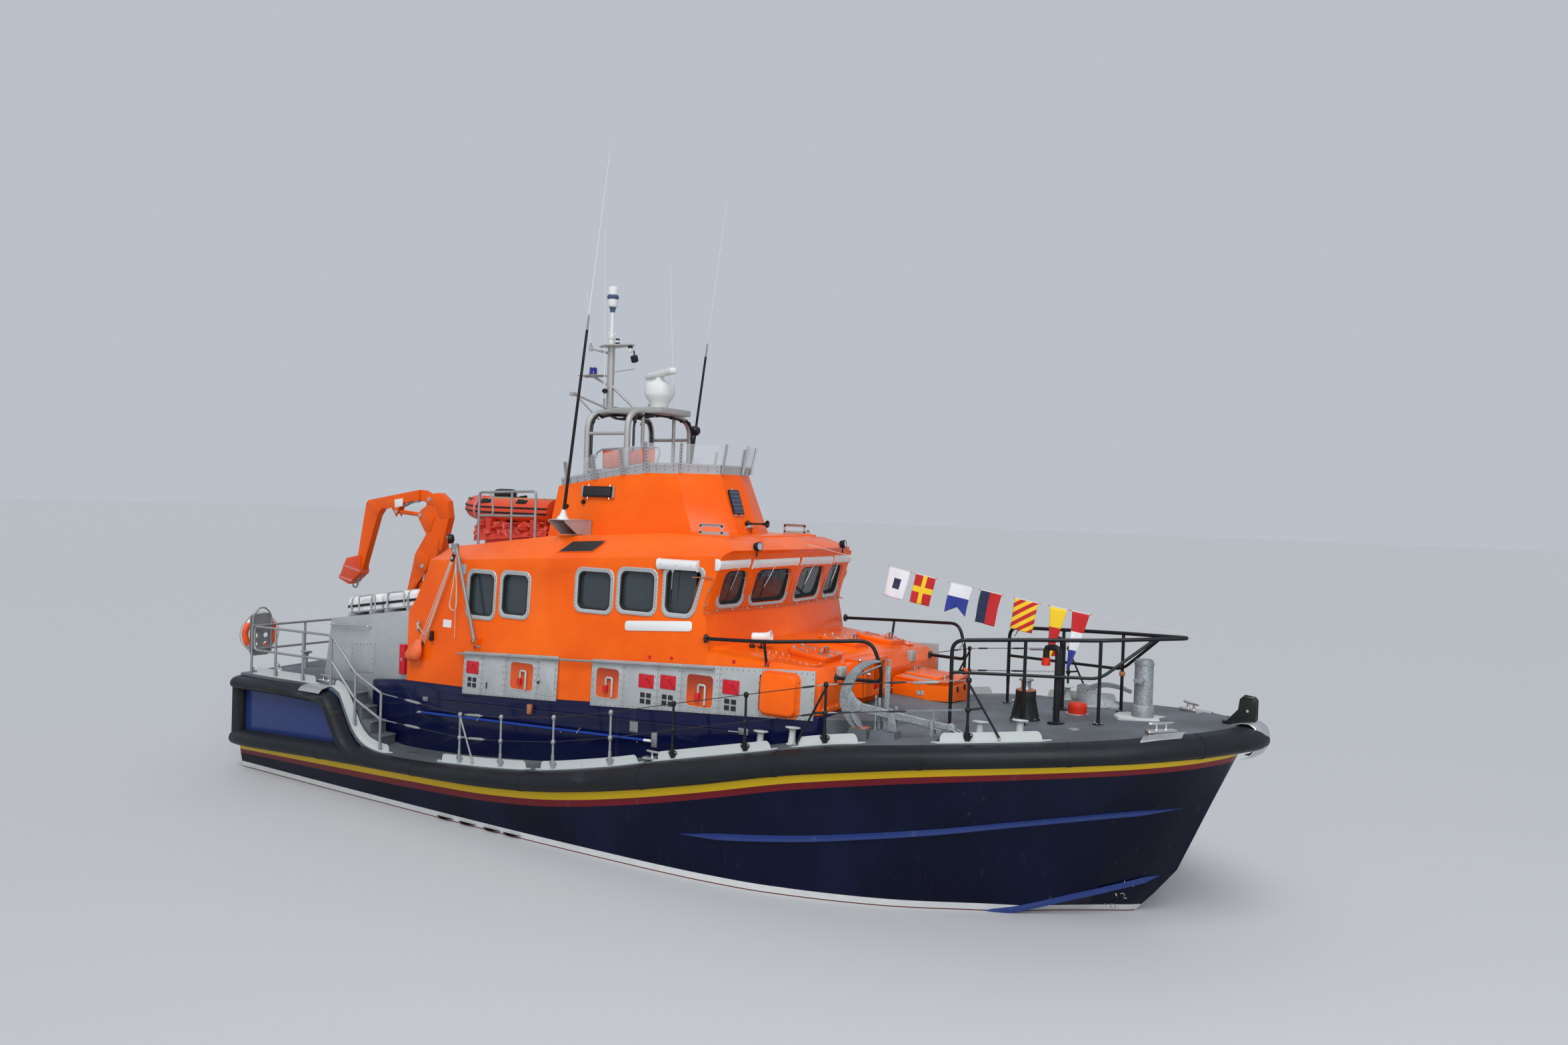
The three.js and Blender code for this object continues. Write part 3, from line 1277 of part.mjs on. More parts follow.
const LIFEBUOY = { x: -8300 - 48 - GAP, y: -2125, z: 2450, ring: 290, radius: 60 };

function lifebuoy() {
  const { x, y, z, ring, radius } = LIFEBUOY;
  const profile = slab(ring, 0, radius * 2, radius * 1.6, radius * 0.75, 1);
  profile.push(profile[0]);
  return turned(profile, 20).rotate([0, 90, 0]).translate([x, y, z]);
}

add('lifebuoy', lifebuoy(), ORANGE);

// Lifelines along the side decks: stanchions, foot plates and wires as one run

const STANCHIONS = [-2600, -1720, -660, 410, 1490, 2620, 3760, 5520];
const PLATES = [[-3000, -1200], [-900, 900], [1250, 3000], [3400, 4200], [5200, 6350]];
const LIFELINE = { height: 760, middle: 400, inset: 100, wire: 7 };

function lifelines() {
  const { wire } = LIFELINE;
  const y = (x) => -(edgeY(x) - LIFELINE.inset);
  const z = (x) => deckZ(x, y(x));
  const posts = STANCHIONS.map((x) => tube([[x, y(x), z(x) - 30], [x, y(x), z(x) + LIFELINE.height + 20]], 19, 6));
  const plates = PLATES.map(([a, b]) => loft([a, b].map((x) => {
    const [out, foot, head] = [y(x) + 12, z(x) - 60, z(x) + 125];
    return [[x, out, foot], [x, out, head], [x, out - 24, head], [x, out - 24, foot]];
  })));
  const wires = [LIFELINE.middle, LIFELINE.height].map((height) => (
    loft(STANCHIONS.map((x) => slab(y(x), z(x) + height, 2 * wire, 2 * wire, 0, 0).map(([u, v]) => [x, u, v])))
  ));
  const brace = (x, run) => tube([[x, y(x), z(x) + LIFELINE.height - 40], [x + run, y(x + run), z(x + run) + 30]], 15, 6);
  const braces = [brace(-2600, 300), brace(3760, -390), brace(5520, 370)];
  return join([...posts, ...plates, ...wires, ...braces]).subtract(cutBelow);
}

addPair('lifelines', lifelines(), STEEL);

// Pulpit round the stemhead

const PULPIT_FEET = [[4900, 1110], [5800, 830], [6700, 570]];

function pulpit() {
  const half = PULPIT_FEET.map(([x, y]) => {
    const z = deckZ(x, y);
    return join([tube([[x, -y, z - 30], [x, -y, z + 960]], 24, 6), turned([[0, 0], [65, 0], [65, 25], [0, 25]], 10)
      .translate([x, -y, z + GAP])]);
  });
  const topRail = rounded([
    [4900, -1110, 2600], [4900, -1110, 3430], [5800, -830, 3490], [6700, -570, 3540], [7700, 0, 3610],
    [6700, 570, 3540], [5800, 830, 3490], [4900, 1110, 3430], [4900, 1110, 2600],
  ], 160, 2);
  const midRail = rounded([[4900, -1110, 3010], [5800, -830, 3030], [6700, -570, 3050], [7300, -215, 3585]], 120, 2);
  return join([both(join(half)), tube(topRail, 26, 6), both(tube(midRail, 22, 5))]).subtract(cutBelow);
}

add('pulpit', pulpit(), BLACK);

// Black handrails beside the fore trunk

function foreHandrail() {
  const path = rounded([
    [1640, -2075, 3240], [2600, -2050, 3280], [3930, -1530, 3370], [4060, -1480, 3000], [4060, -1480, 2830],
    [3430, -1580, 2830],
  ], 170, 4);
  const foot = tube([[4060, -1480, 2860], [4060, -1480, 2200]], 24, 8);
  const post = tube([[2570, -2050, 3280], [2570, -1960, 2930]], 22, 8);
  const cut = trunkBody(GAP * -1).add(houseBody(-GAP));
  return join([tube(path, 26, 6), foot, post]).subtract(cut).subtract(cutBelow);
}

addPair('fore_handrail', foreHandrail(), BLACK);

// Locker on the foredeck with its lid

const LOCKER = { x: [3452, 4300], y: [180, 1300], topAft: 2630, slope: -0.075, wall: 30, lid: 40 };

function lockerOutline(shrink) {
  const { x, y } = LOCKER;
  return [
    [x[0] + shrink, y[0] + shrink], [x[1] - 260, y[0] + shrink], [x[1] - shrink, y[0] + 240],
    [x[1] - shrink, y[1] - 240], [x[1] - 260, y[1] - shrink], [x[0] + shrink, y[1] - shrink],
  ];
}

function lockerTopZ(x) {
  return LOCKER.topAft + (x - LOCKER.x[0]) * LOCKER.slope;
}

function lockerTop(from, to, [a, b], [y0, y1]) {
  return prism('y', [
    [a, lockerTopZ(a) + from], [b, lockerTopZ(b) + from], [b, lockerTopZ(b) + to], [a, lockerTopZ(a) + to],
  ], y0, y1);
}

function locker() {
  const [x0, x1] = LOCKER.x;
  const outer = prism('z', lockerOutline(0), 2000, 3200).subtract(lockerTop(0, 900, [x0 - 50, x1 + 50], [0, 2000]));
  const inner = prism('z', lockerOutline(LOCKER.wall), 1900, 3300);
  return outer.subtract(inner).subtract(cutBelow);
}

function lockerLid() {
  const { x, y, lid } = LOCKER;
  const plate = lockerTop(GAP, lid, [x[0] + 20, x[1] - 20], [y[0] + 10, y[1] - 10]);
  const corners = prism('z', lockerOutline(10), 2000, 3200);
  const [seat, grip] = [lockerTopZ(3780) - 10, lockerTopZ(3780) + 100];
  const handle = tube(rounded([[3780, 480, seat], [3780, 480, grip], [3780, 640, grip], [3780, 640, seat]], 40, 2), 13, 6);
  return join([plate.intersect(corners), handle.subtract(lockerTop(-900, GAP, x, y))]);
}

add('deck_locker', locker(), ORANGE);
add('deck_locker_lid', lockerLid(), ORANGE);

// Capstan, turning on its level pad

function capstan() {
  const { x, y, rise } = CAPSTAN;
  const z = deckZ(x, y) + rise + GAP;
  const profile = [[0, 0], [195, 0], [190, 60], [120, 260], [110, 420], [125, 480], [115, 510], [0, 510]];
  return turned(profile, 16).translate([x, y, z]);
}

add('capstan', capstan(), BLACK);

// Stowed anchors

function stockedAnchor() {
  const [x, y] = [4360, -2050];
  const z = deckZ(x, y);
  const shank = tube([[x - 640, y - 60, z + 380], [x + 960, y + 40, z + 240]], 34, 8);
  const arms = tube(rounded([[x - 230, y - 60, z + 960], [x - 640, y - 60, z + 700], [x - 690, y - 60, z + 330], [x - 480, y - 60, z + 60]], 350, 4), 38, 8);
  const stock = tube([[x + 60, y + 20, z + 20], [x + 60, y + 20, z + 1000]], 30, 8);
  const lower = tube([[x - 620, y - 50, z + 420], [x + 820, y + 30, z + 190]], 20, 6);
  const chocks = [[x - 440, 150], [x + 60, 180], [x + 700, 100]].map(([cx, half]) => (
    box([cx - half, cx + half], [y - 130, y + 130], [z - 200, z + 110])
  ));
  const legs = [box([x + 20, x + 100], [y - 20, y + 60], [z, z + 400]), box([x + 680, x + 720], [y - 20, y + 60], [z, z + 300])];
  return join([shank, arms, stock, lower, ...chocks, ...legs]).subtract(cutBelow);
}

function ploughAnchor() {
  const [x, y] = [6250, 1050];
  const z = deckZ(x, y);
  const blade = prism('y', [[-260, 20], [-330, 180], [-250, 300], [-60, 160], [330, 40], [330, 20]], -110, 110);
  const shank = tube(rounded([[-150, 0, 240], [120, 0, 330], [480, 0, 260]], 120), 28, 6);
  const pad = box([-280, 300], [-120, 120], [-150, 30]);
  return join([blade, shank, pad]).translate([x, y, z]).subtract(cutBelow);
}

add('stocked_anchor', stockedAnchor(), GALVANISED);
add('plough_anchor', ploughAnchor(), GALVANISED);

// Recovery davit, hinged at its foot and folded against the house side

function recoveryDavit() {
  const [fx, fz] = DAVIT_ARM.foot;
  const [hx, hz] = DAVIT_ARM.head;
  const { y, pin } = DAVIT_ARM;
  const eye = tube([[fx - 20, y, fz], [fx + 20, y, fz]], 34, 12);
  const hole = tube([[fx - 30, y, fz], [fx + 30, y, fz]], eyeHole(pin), 12);
  const arm = tube([[fx, y, fz], [hx, y, hz]], 26);
  const block = box([hx - 60, hx + 40], [y - 30, y + 45], [hz - 160, hz]);
  return join([eye, arm, block]).subtract(hole);
}

add('recovery_davit', recoveryDavit(), ALLOY);

export default group;
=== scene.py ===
from bisect import bisect
import math

import bmesh
import bpy
from mathutils import Matrix, Vector
from mathutils.bvhtree import BVHTree


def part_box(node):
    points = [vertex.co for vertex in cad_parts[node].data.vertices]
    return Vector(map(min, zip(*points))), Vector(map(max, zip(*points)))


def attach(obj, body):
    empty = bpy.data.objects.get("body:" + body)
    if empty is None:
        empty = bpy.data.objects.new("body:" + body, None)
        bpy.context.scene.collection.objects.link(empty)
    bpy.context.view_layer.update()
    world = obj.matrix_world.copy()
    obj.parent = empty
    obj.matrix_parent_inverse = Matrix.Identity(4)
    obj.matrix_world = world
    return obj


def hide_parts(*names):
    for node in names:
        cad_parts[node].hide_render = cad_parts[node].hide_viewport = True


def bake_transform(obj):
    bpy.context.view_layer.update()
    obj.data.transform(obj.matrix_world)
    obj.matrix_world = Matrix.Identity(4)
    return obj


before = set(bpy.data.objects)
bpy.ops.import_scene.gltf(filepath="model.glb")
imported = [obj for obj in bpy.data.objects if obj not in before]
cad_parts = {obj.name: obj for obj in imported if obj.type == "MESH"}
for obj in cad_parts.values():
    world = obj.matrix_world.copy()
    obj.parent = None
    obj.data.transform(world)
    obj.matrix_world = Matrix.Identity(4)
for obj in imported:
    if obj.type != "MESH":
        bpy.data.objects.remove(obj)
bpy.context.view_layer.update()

# Camera, floor and light
# The boat lies afloat and is seen from ahead of the starboard beam, from a quay's height.
# The pale floor is at the water's level, under a soft overcast light.
PHOTO_WIDTH = 2352
FOCAL_PIXELS = 1673.4
SENSOR = 36
EYE = Vector((10.488, -14.847, 5.144))
YAW, PITCH, ROLL = -0.53979, -0.016204, -0.032725

ahead = Vector((math.sin(YAW) * math.cos(PITCH), math.cos(YAW) * math.cos(PITCH), math.sin(PITCH)))
level = Vector((math.cos(YAW), -math.sin(YAW), 0))
down = ahead.cross(level)
right = math.cos(ROLL) * level + math.sin(ROLL) * down
under = -math.sin(ROLL) * level + math.cos(ROLL) * down
camera = bpy.data.objects.new("camera", bpy.data.cameras.new("camera"))
camera.data.sensor_width = SENSOR
camera.data.lens = FOCAL_PIXELS / PHOTO_WIDTH * SENSOR
camera.matrix_world = Matrix((right, -under, -ahead)).transposed().to_4x4()
camera.location = EYE
bpy.context.scene.collection.objects.link(camera)
bpy.context.scene.camera = camera
bpy.context.scene.view_settings.view_transform = "Standard"

FLOOR_HALF = 300
floor_mesh = bpy.data.meshes.new("floor")
floor_mesh.from_pydata([(x * FLOOR_HALF, y * FLOOR_HALF, 0) for x,
                        y in ((-1, -1), (1, -1), (1, 1), (-1, 1))],
                       [], [(0, 1, 2, 3)])
floor = bpy.data.objects.new("floor", floor_mesh)
bpy.context.scene.collection.objects.link(floor)
floor_paint = bpy.data.materials.new("pale floor")
floor_paint.use_nodes = True
floor_shader = floor_paint.node_tree.nodes["Principled BSDF"]
floor_shader.inputs["Base Color"].default_value = (0.46, 0.47, 0.48, 1)
floor_shader.inputs["Roughness"].default_value = 0.7
floor_mesh.materials.append(floor_paint)

sky = bpy.data.worlds.new("overcast")
sky.use_nodes = True
sky.node_tree.nodes["Background"].inputs["Color"].default_value = (0.80, 0.86, 0.95, 1)
sky.node_tree.nodes["Background"].inputs["Strength"].default_value = 0.62
bpy.context.scene.world = sky


def lamp(name, kind, energy, place, aim, size):
    data = bpy.data.lights.new(name, kind)
    data.energy = energy
    if kind == "SUN":
        data.angle = size
    else:
        data.shape = "DISK"
        data.size = size
    made = bpy.data.objects.new(name, data)
    made.location = place
    made.rotation_euler = (Vector(aim) - Vector(place)).to_track_quat("-Z", "Y").to_euler()
    bpy.context.scene.collection.objects.link(made)


lamp("cloud light", "SUN", 2.0, (4, -14, 22), (0, 0, 1), 0.6)
lamp("side window", "AREA", 1500, (16, -16, 10), (2, 0, 2), 9)


# Hull
# Laminate with a hard chine and a knuckle, sprayed navy, with a white boot-top on the water
# and red anti-fouling under it. Yellow and dark red stripes run below the fender belt. Aft of the
# quarter step, the side above the belt is navy paint painted a lighter blue as painted glare.
class Value:
    """A number inside a material: sums on it add the Math nodes that work them out."""

    def __init__(self, tree, socket):
        self.tree = tree
        self.socket = socket

    def math(self, operation, *others):
        node = self.tree.nodes.new("ShaderNodeMath")
        node.operation = operation
        for socket, value in zip(node.inputs, (self, *others)):
            if isinstance(value, Value):
                self.tree.links.new(value.socket, socket)
            else:
                socket.default_value = value
        return Value(self.tree, node.outputs[0])

    def __add__(self, other):
        return self.math("ADD", other)

    def __sub__(self, other):
        return self.math("SUBTRACT", other)

    def __rsub__(self, other):
        return self.math("MULTIPLY", -1) + other

    def __mul__(self, other):
        return self.math("MULTIPLY", other)

    __radd__ = __add__
    __rmul__ = __mul__

    def __gt__(self, other):
        return self.math("GREATER_THAN", other)

    def __lt__(self, other):
        return self.math("LESS_THAN", other)

    def eased(self, low, high):
        """0 below low, 1 above high, and smooth between."""
        node = self.tree.nodes.new("ShaderNodeMapRange")
        node.interpolation_type = "SMOOTHSTEP"
        node.inputs["From Min"].default_value = low
        node.inputs["From Max"].default_value = high
        self.tree.links.new(self.socket, node.inputs["Value"])
        return Value(self.tree, node.outputs["Result"])


class Finish:
    """A material: what is the same all over sits on the shader, and what varies is linked."""

    def __init__(self, name, colour, roughness=0.4, metallic=0.0, **others):
        self.material = bpy.data.materials.new(name)
        self.material.use_nodes = True
        self.tree = self.material.node_tree
        self.shader = self.tree.nodes["Principled BSDF"]
        self.colour = colour
        self.shader.inputs["Base Color"].default_value = (*colour, 1)
        self.shader.inputs["Roughness"].default_value = roughness
        self.shader.inputs["Metallic"].default_value = metallic
        for label, value in others.items():
            self.shader.inputs[label.replace("_", " ").title().replace("Ior", "IOR")].default_value = value

    def node(self, kind, settings=(), **values):
        made = self.tree.nodes.new(kind)
        for setting, value in dict(settings).items():
            setattr(made, setting, value)
        for label, value in values.items():
            socket = made.inputs[label.replace("_", " ").title()]
            if isinstance(value, Value):
                self.tree.links.new(value.socket, socket)
            elif isinstance(value, bpy.types.NodeSocket):
                self.tree.links.new(value, socket)
            else:
                socket.default_value = value
        return made

    def place(self):
        """Object coordinates, in metres."""
        return self.node("ShaderNodeTexCoord").outputs["Object"]

    def axis(self, letter):
        return Value(self.tree, self.node("ShaderNodeSeparateXYZ", vector=self.place()).outputs[letter])

    def noise(self, scale, detail=3.0, stretch=(1, 1, 1)):
        """Cloudy values round 0.5; a stretch under 1 draws them out along that axis."""
        mapped = self.node("ShaderNodeMapping", vector=self.place(), scale=stretch)
        made = self.node("ShaderNodeTexNoise", vector=mapped.outputs[0], scale=scale, detail=detail,
                         roughness=0.55)
        return Value(self.tree, made.outputs["Fac"])

    def cells(self, scale, stretch=(1, 1, 1)):
        mapped = self.node("ShaderNodeMapping", vector=self.place(), scale=stretch)
        made = self.node("ShaderNodeTexVoronoi", vector=mapped.outputs[0], scale=scale)
        return Value(self.tree, made.outputs["Distance"])

    def mixed(self, first, second, share):
        """A colour between two colours or colour links."""
        made = self.node("ShaderNodeMix", {"data_type": "RGBA"})
        for socket, value in ((made.inputs[6], first), (made.inputs[7], second)):
            if isinstance(value, bpy.types.NodeSocket):
                self.tree.links.new(value, socket)
            else:
                socket.default_value = (*value, 1)
        if isinstance(share, Value):
            self.tree.links.new(share.socket, made.inputs[0])
        else:
            made.inputs[0].default_value = share
        return made.outputs[2]

    def wear(self, link, label):
        self.tree.links.new(link.socket if isinstance(link, Value) else link, self.shader.inputs[label])
        return self

    def bumped(self, height, distance, strength=1.0):
        node = self.node("ShaderNodeBump", height=height, distance=distance, strength=strength)
        return self.wear(node.outputs["Normal"], "Normal")


def shade(colour, factor):
    return tuple(channel * factor for channel in colour)


def sprayed(name, colour, roughness=0.28, grime=(0.20, 0.18, 0.15), streaks=0.25, **others):
    """Gloss paint with cloudy fading, faint rain streaks, dust and a slight orange peel."""
    made = Finish(name, colour, roughness, **{"specular_ior_level": 0.22, **others})
    faded = made.mixed(shade(colour, 0.88), shade(colour, 1.08), made.noise(0.9, 4))
    rain = made.noise(9, 4, (1, 1, 0.07)).eased(0.58, 0.80) * made.noise(1.6, 2).eased(0.4, 0.7)
    made.wear(made.mixed(faded, grime, rain * streaks), "Base Color")
    made.wear(made.noise(3.5, 5) * 0.16 + (roughness - 0.08) + rain * 0.2, "Roughness")
    return made.bumped(made.noise(60, 2), 0.0006, 0.35)


NAVY = (0.0020, 0.0035, 0.014)
ANTIFOULING = (0.16, 0.022, 0.016)
WHITE = (0.66, 0.67, 0.66)
BOOT_TOP = (0.015, 0.105)

navy = Finish("navy gelcoat", NAVY, 0.16, specular_ior_level=0.12)
height = navy.axis("Z")
side_shade = navy.mixed(NAVY, shade(NAVY, 2.4), navy.noise(0.7, 3, (1, 1, 0.5)).eased(0.35, 0.75))
salt = navy.noise(14, 5, (1, 1, 0.12)).eased(0.60, 0.82) * navy.noise(1.1, 2).eased(0.4, 0.65)
side_shade = navy.mixed(side_shade, (0.09, 0.09, 0.09), salt * 0.35)
boot = (height > BOOT_TOP[0]) * (height < BOOT_TOP[1])
white_line = navy.mixed(shade(WHITE, 0.75), WHITE, navy.noise(7, 4))
bottom = navy.mixed(ANTIFOULING, shade(ANTIFOULING, 0.5), navy.noise(4, 5))
coloured = navy.mixed(navy.mixed(side_shade, white_line, boot), bottom, height < BOOT_TOP[0])
navy.wear(coloured, "Base Color")
navy.wear(navy.noise(2.2, 5) * 0.14 + 0.10 + salt * 0.25 + (height < BOOT_TOP[1]) * 0.3, "Roughness")
navy.bumped(navy.noise(1.4, 2), 0.012, 0.25)

yellow = sprayed("yellow stripe", (0.64, 0.42, 0.006), 0.25)
dark_red = sprayed("dark red stripe", (0.16, 0.006, 0.012), 0.25)
# A lighter blue that is painted glare and highlight on the aft hull panel and the spray strips, and also the
# pale blue of the pole on the coaming.
pale_blue_and_glare = sprayed("pale blue gelcoat and painted glare", (0.020, 0.038, 0.15), 0.16, streaks=0.3)


TIP = 0.0004


def turns(count):
    """The angles of count even steps round a circle."""
    return [2 * math.pi * k / count for k in range(count)]


class Shape:
    """Solids gathered into one piece, in metres; each takes the finish that was named last."""

    def __init__(self, finish):
        self.mesh = bmesh.new()
        self.finishes = []
        self.paint(finish)

    def paint(self, finish):
        if finish not in self.finishes:
            self.finishes.append(finish)
        self.slot = self.finishes.index(finish)
        return self

    def face(self, corners):
        made = self.mesh.faces.new(corners)
        made.material_index = self.slot
        return made

    def skin(self, rings, along=False, caps=True):
        """A skin over closed rings of points; along joins the last ring to the first."""
        rows = [[self.mesh.verts.new(p) for p in ring] for ring in rings]
        count = len(rows[0])
        for i in range(len(rows) if along else len(rows) - 1):
            a, b = rows[i], rows[(i + 1) % len(rows)]
            for j in range(count):
                k = (j + 1) % count
                self.face((a[j], a[k], b[k], b[j]))
        if caps and not along:
            self.face(rows[0][::-1])
            self.face(rows[-1])
        return self

    def tube(self, points, radius, sides=14, closed=False):
        """A round tube along points; radius is one number or one for each point."""
        path = [Vector(p) for p in points]
        count = len(path)
        radii = radius if isinstance(radius, (list, tuple)) else [radius] * count
        rings = []
        side = None
        for i, point in enumerate(path):
            before = path[i - 1] if i or closed else point
            after = path[(i + 1) % count] if i < count - 1 or closed else point
            run = (after - before).normalized()
            if side is None:
                side = run.orthogonal().normalized()
            side = (side - side.dot(run) * run).normalized()
            across = run.cross(side)
            ring = []
            for j in range(sides):
                turn = 2 * math.pi * j / sides
                ring.append(point + (side * math.cos(turn) + across * math.sin(turn)) * radii[i])
            rings.append(ring)
        return self.skin(rings, along=closed)

    def turned(self, profile, foot, axis=(0, 0, 1), sides=32):
        """A profile of (radius, height) turned about an axis through foot; its ends are closed."""
        up = Vector(axis).normalized()
        side = up.orthogonal().normalized()
        across = up.cross(side)
        ways = [side * math.cos(a) + across * math.sin(a) for a in turns(sides)]
        return self.skin([[Vector(foot) + up * rise + max(radius, TIP) * way for way in ways]
                          for radius, rise in profile])

    def plate(self, outline, push, edge=0.0, segments=2):
        """A flat outline of points pushed along a vector, with its edges rounded."""
        push = Vector(push)
        low = [self.mesh.verts.new(p) for p in outline]
        high = [self.mesh.verts.new(Vector(p) + push) for p in outline]
        count = len(low)
        faces = [self.face(low[::-1]), self.face(high)]
        for j in range(count):
            k = (j + 1) % count
            faces.append(self.face((low[j], low[k], high[k], high[j])))
        if edge:
            bmesh.ops.recalc_face_normals(self.mesh, faces=faces)
            edges = list(dict.fromkeys(e for f in faces for e in f.edges))
            bmesh.ops.bevel(self.mesh, geom=edges, offset=edge, segments=segments, affect="EDGES",
                            profile=0.5, clamp_overlap=True, material=self.slot)
        return self

    def block(self, centre, size, turn=None, edge=0.004, segments=2):
        """A box with rounded edges; turn is a rotation matrix."""
        turn = turn or Matrix.Identity(3)
        half = Vector(size) / 2
        corners = [Vector((sx * half.x, sy * half.y, -half.z))
                   for sx, sy in ((-1, -1), (1, -1), (1, 1), (-1, 1))]
        outline = [Vector(centre) + turn @ c for c in corners]
        return self.plate(outline, turn @ Vector((0, 0, size[2])), edge, segments)

    def make(self, name, body="boat", replaces=(), slot=None, crease=35):
        bmesh.ops.recalc_face_normals(self.mesh, faces=self.mesh.faces[:])
        mesh = bpy.data.meshes.new(name)
        self.mesh.to_mesh(mesh)
        self.mesh.free()
        return fitted(name, mesh, self.finishes, body, replaces, crease)


def fitted(name, mesh, finishes, body="boat", replaces=(), crease=35):
    """Makes a piece of a mesh and lets it ride on its body."""
    for finish in finishes:
        mesh.materials.append(finish.material)
    for polygon in mesh.polygons:
        polygon.use_smooth = True
    mesh.set_sharp_from_angle(angle=math.radians(crease))
    piece = bpy.data.objects.new(name, mesh)
    bpy.context.scene.collection.objects.link(piece)
    if body:
        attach(piece, body)
    if replaces:
        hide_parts(*replaces)
    return piece


def smooth_at(table, x, column):
    """The table's value at x, on a curve through its rows that doesn't overshoot."""
    xs = [row[0] for row in table]
    if x <= xs[0]:
        return table[0][column]
    if x >= xs[-1]:
        return table[-1][column]
    k = bisect(xs, x) - 1

    def steepness(i):
        return (table[i + 1][column] - table[i][column]) / (xs[i + 1] - xs[i])

    def slope(i):
        if i in (0, len(xs) - 1):
            return steepness(min(i, len(xs) - 2))
        before, after = steepness(i - 1), steepness(i)
        return 0 if before * after <= 0 else 2 * before * after / (before + after)

    width = xs[k + 1] - xs[k]
    t = (x - xs[k]) / width
    start, end = table[k][column], table[k + 1][column]
    return (start * (1 + 2 * t) * (1 - t) ** 2 + slope(k) * width * t * (1 - t) ** 2
            + end * t * t * (3 - 2 * t) + slope(k + 1) * width * t * t * (t - 1))


# Rows of the hull, aft to forward: x, half-breadth, height
SHEER = [
    (-8.45, 2.42, 1.74), (-7.46, 2.50, 1.76), (-6.63, 2.545, 1.78), (-5.75, 2.58, 1.795),
    (-5.52, 2.59, 1.73), (-5.30, 2.60, 1.42), (-5.05, 2.61, 1.09), (-4.75, 2.62, 0.93),
    (-4.40, 2.63, 0.88), (-3.85, 2.65, 0.89), (-2.32, 2.68, 0.98), (-1.07, 2.69, 1.10),
    (0.32, 2.70, 1.35), (1.48, 2.69, 1.62), (2.72, 2.63, 1.89), (4.02, 2.52, 2.16),
    (5.33, 2.22, 2.30), (6.36, 1.84, 2.40), (7.18, 1.39, 2.48), (7.58, 1.09, 2.53),
    (7.97, 0.72, 2.56), (8.25, 0.33, 2.59), (8.36, 0.03, 2.60),
]
BELT_FOOT = [
    (-8.45, 2.41, 0.43), (-5.48, 2.59, 0.59), (-3.77, 2.64, 0.66), (-2.24, 2.67, 0.72),
    (-1.00, 2.68, 0.82), (-0.10, 2.69, 0.95), (0.85, 2.69, 1.13), (1.95, 2.66, 1.37),
    (3.52, 2.57, 1.73), (5.20, 2.25, 1.99), (6.66, 1.68, 2.14), (7.34, 1.27, 2.20),
    (7.86, 0.82, 2.25), (8.24, 0.26, 2.29), (8.33, 0.03, 2.30),
]
KNUCKLE = [
    (-8.45, 2.38, 0.25), (-5.00, 2.50, 0.33), (-1.00, 2.57, 0.43), (1.00, 2.56, 0.56),
    (2.20, 2.48, 0.67), (3.37, 2.33, 0.82), (4.27, 2.13, 0.97), (5.10, 1.85, 1.11),
    (5.88, 1.49, 1.25), (7.02, 0.86, 1.43), (7.60, 0.50, 1.51), (8.01, 0.03, 1.56),
]
CHINE = [
    (-8.45, 2.27, -0.30), (-5.00, 2.37, -0.36), (-1.00, 2.45, -0.38), (1.50, 2.42, -0.33),
    (2.46, 2.34, -0.27), (3.00, 2.22, -0.24), (4.30, 1.80, -0.12), (5.60, 1.13, 0.00),
    (6.60, 0.70, 0.30), (7.30, 0.27, 0.52), (7.62, 0.03, 0.63),
]
BOTTOM = [
    (-8.45, 0, -0.60), (-6.00, 0, -0.78), (-2.00, 0, -0.98), (2.00, 0, -1.05),
    (4.00, 0, -0.99), (5.40, 0, -0.80), (6.30, 0, -0.52), (6.80, 0, -0.28), (7.08, 0, -0.03),
]
CAMBER = 0.09
HALF_BEAM = 2.70
STRIPES = (0.265, 0.175)
HULL_STATIONS = 130
# Forward end of the painted glare on the aft hull panel.
GLARE_PANEL_FORE = -5.62


def row_point(table, share):
    first, last = table[0][0], table[-1][0]
    x = first + share * (last - first)
    return Vector((x, smooth_at(table, x, 1), smooth_at(table, x, 2)))


def edge_y(x):
    return smooth_at(SHEER, x, 1)


def deck_z(x, y=0.0):
    share = min(1, abs(y) / edge_y(x))
    return smooth_at(SHEER, x, 2) + CAMBER * edge_y(x) / HALF_BEAM * (1 - share)


def half_section(share):
    """The port side's points at a share of the length, from the keel to the deck edge."""
    keel, chine, knuckle, belt, sheer = (row_point(t, share)
                                         for t in (BOTTOM, CHINE, KNUCKLE, BELT_FOOT, SHEER))
    drop = STRIPES[0] + (STRIPES[1] - STRIPES[0]) * max(0, (belt.x + 2) / 10)
    drop = min(drop, STRIPES[0], (belt.z - knuckle.z) * 0.9)
    red = belt.lerp(knuckle, drop / (belt.z - knuckle.z))
    yellow_foot = belt.lerp(red, 0.56)
    sheer.z -= 0.042
    low = keel.lerp(chine, 0.5)
    low.z -= 0.02
    return [keel, low, chine, knuckle, red, yellow_foot, belt, sheer]


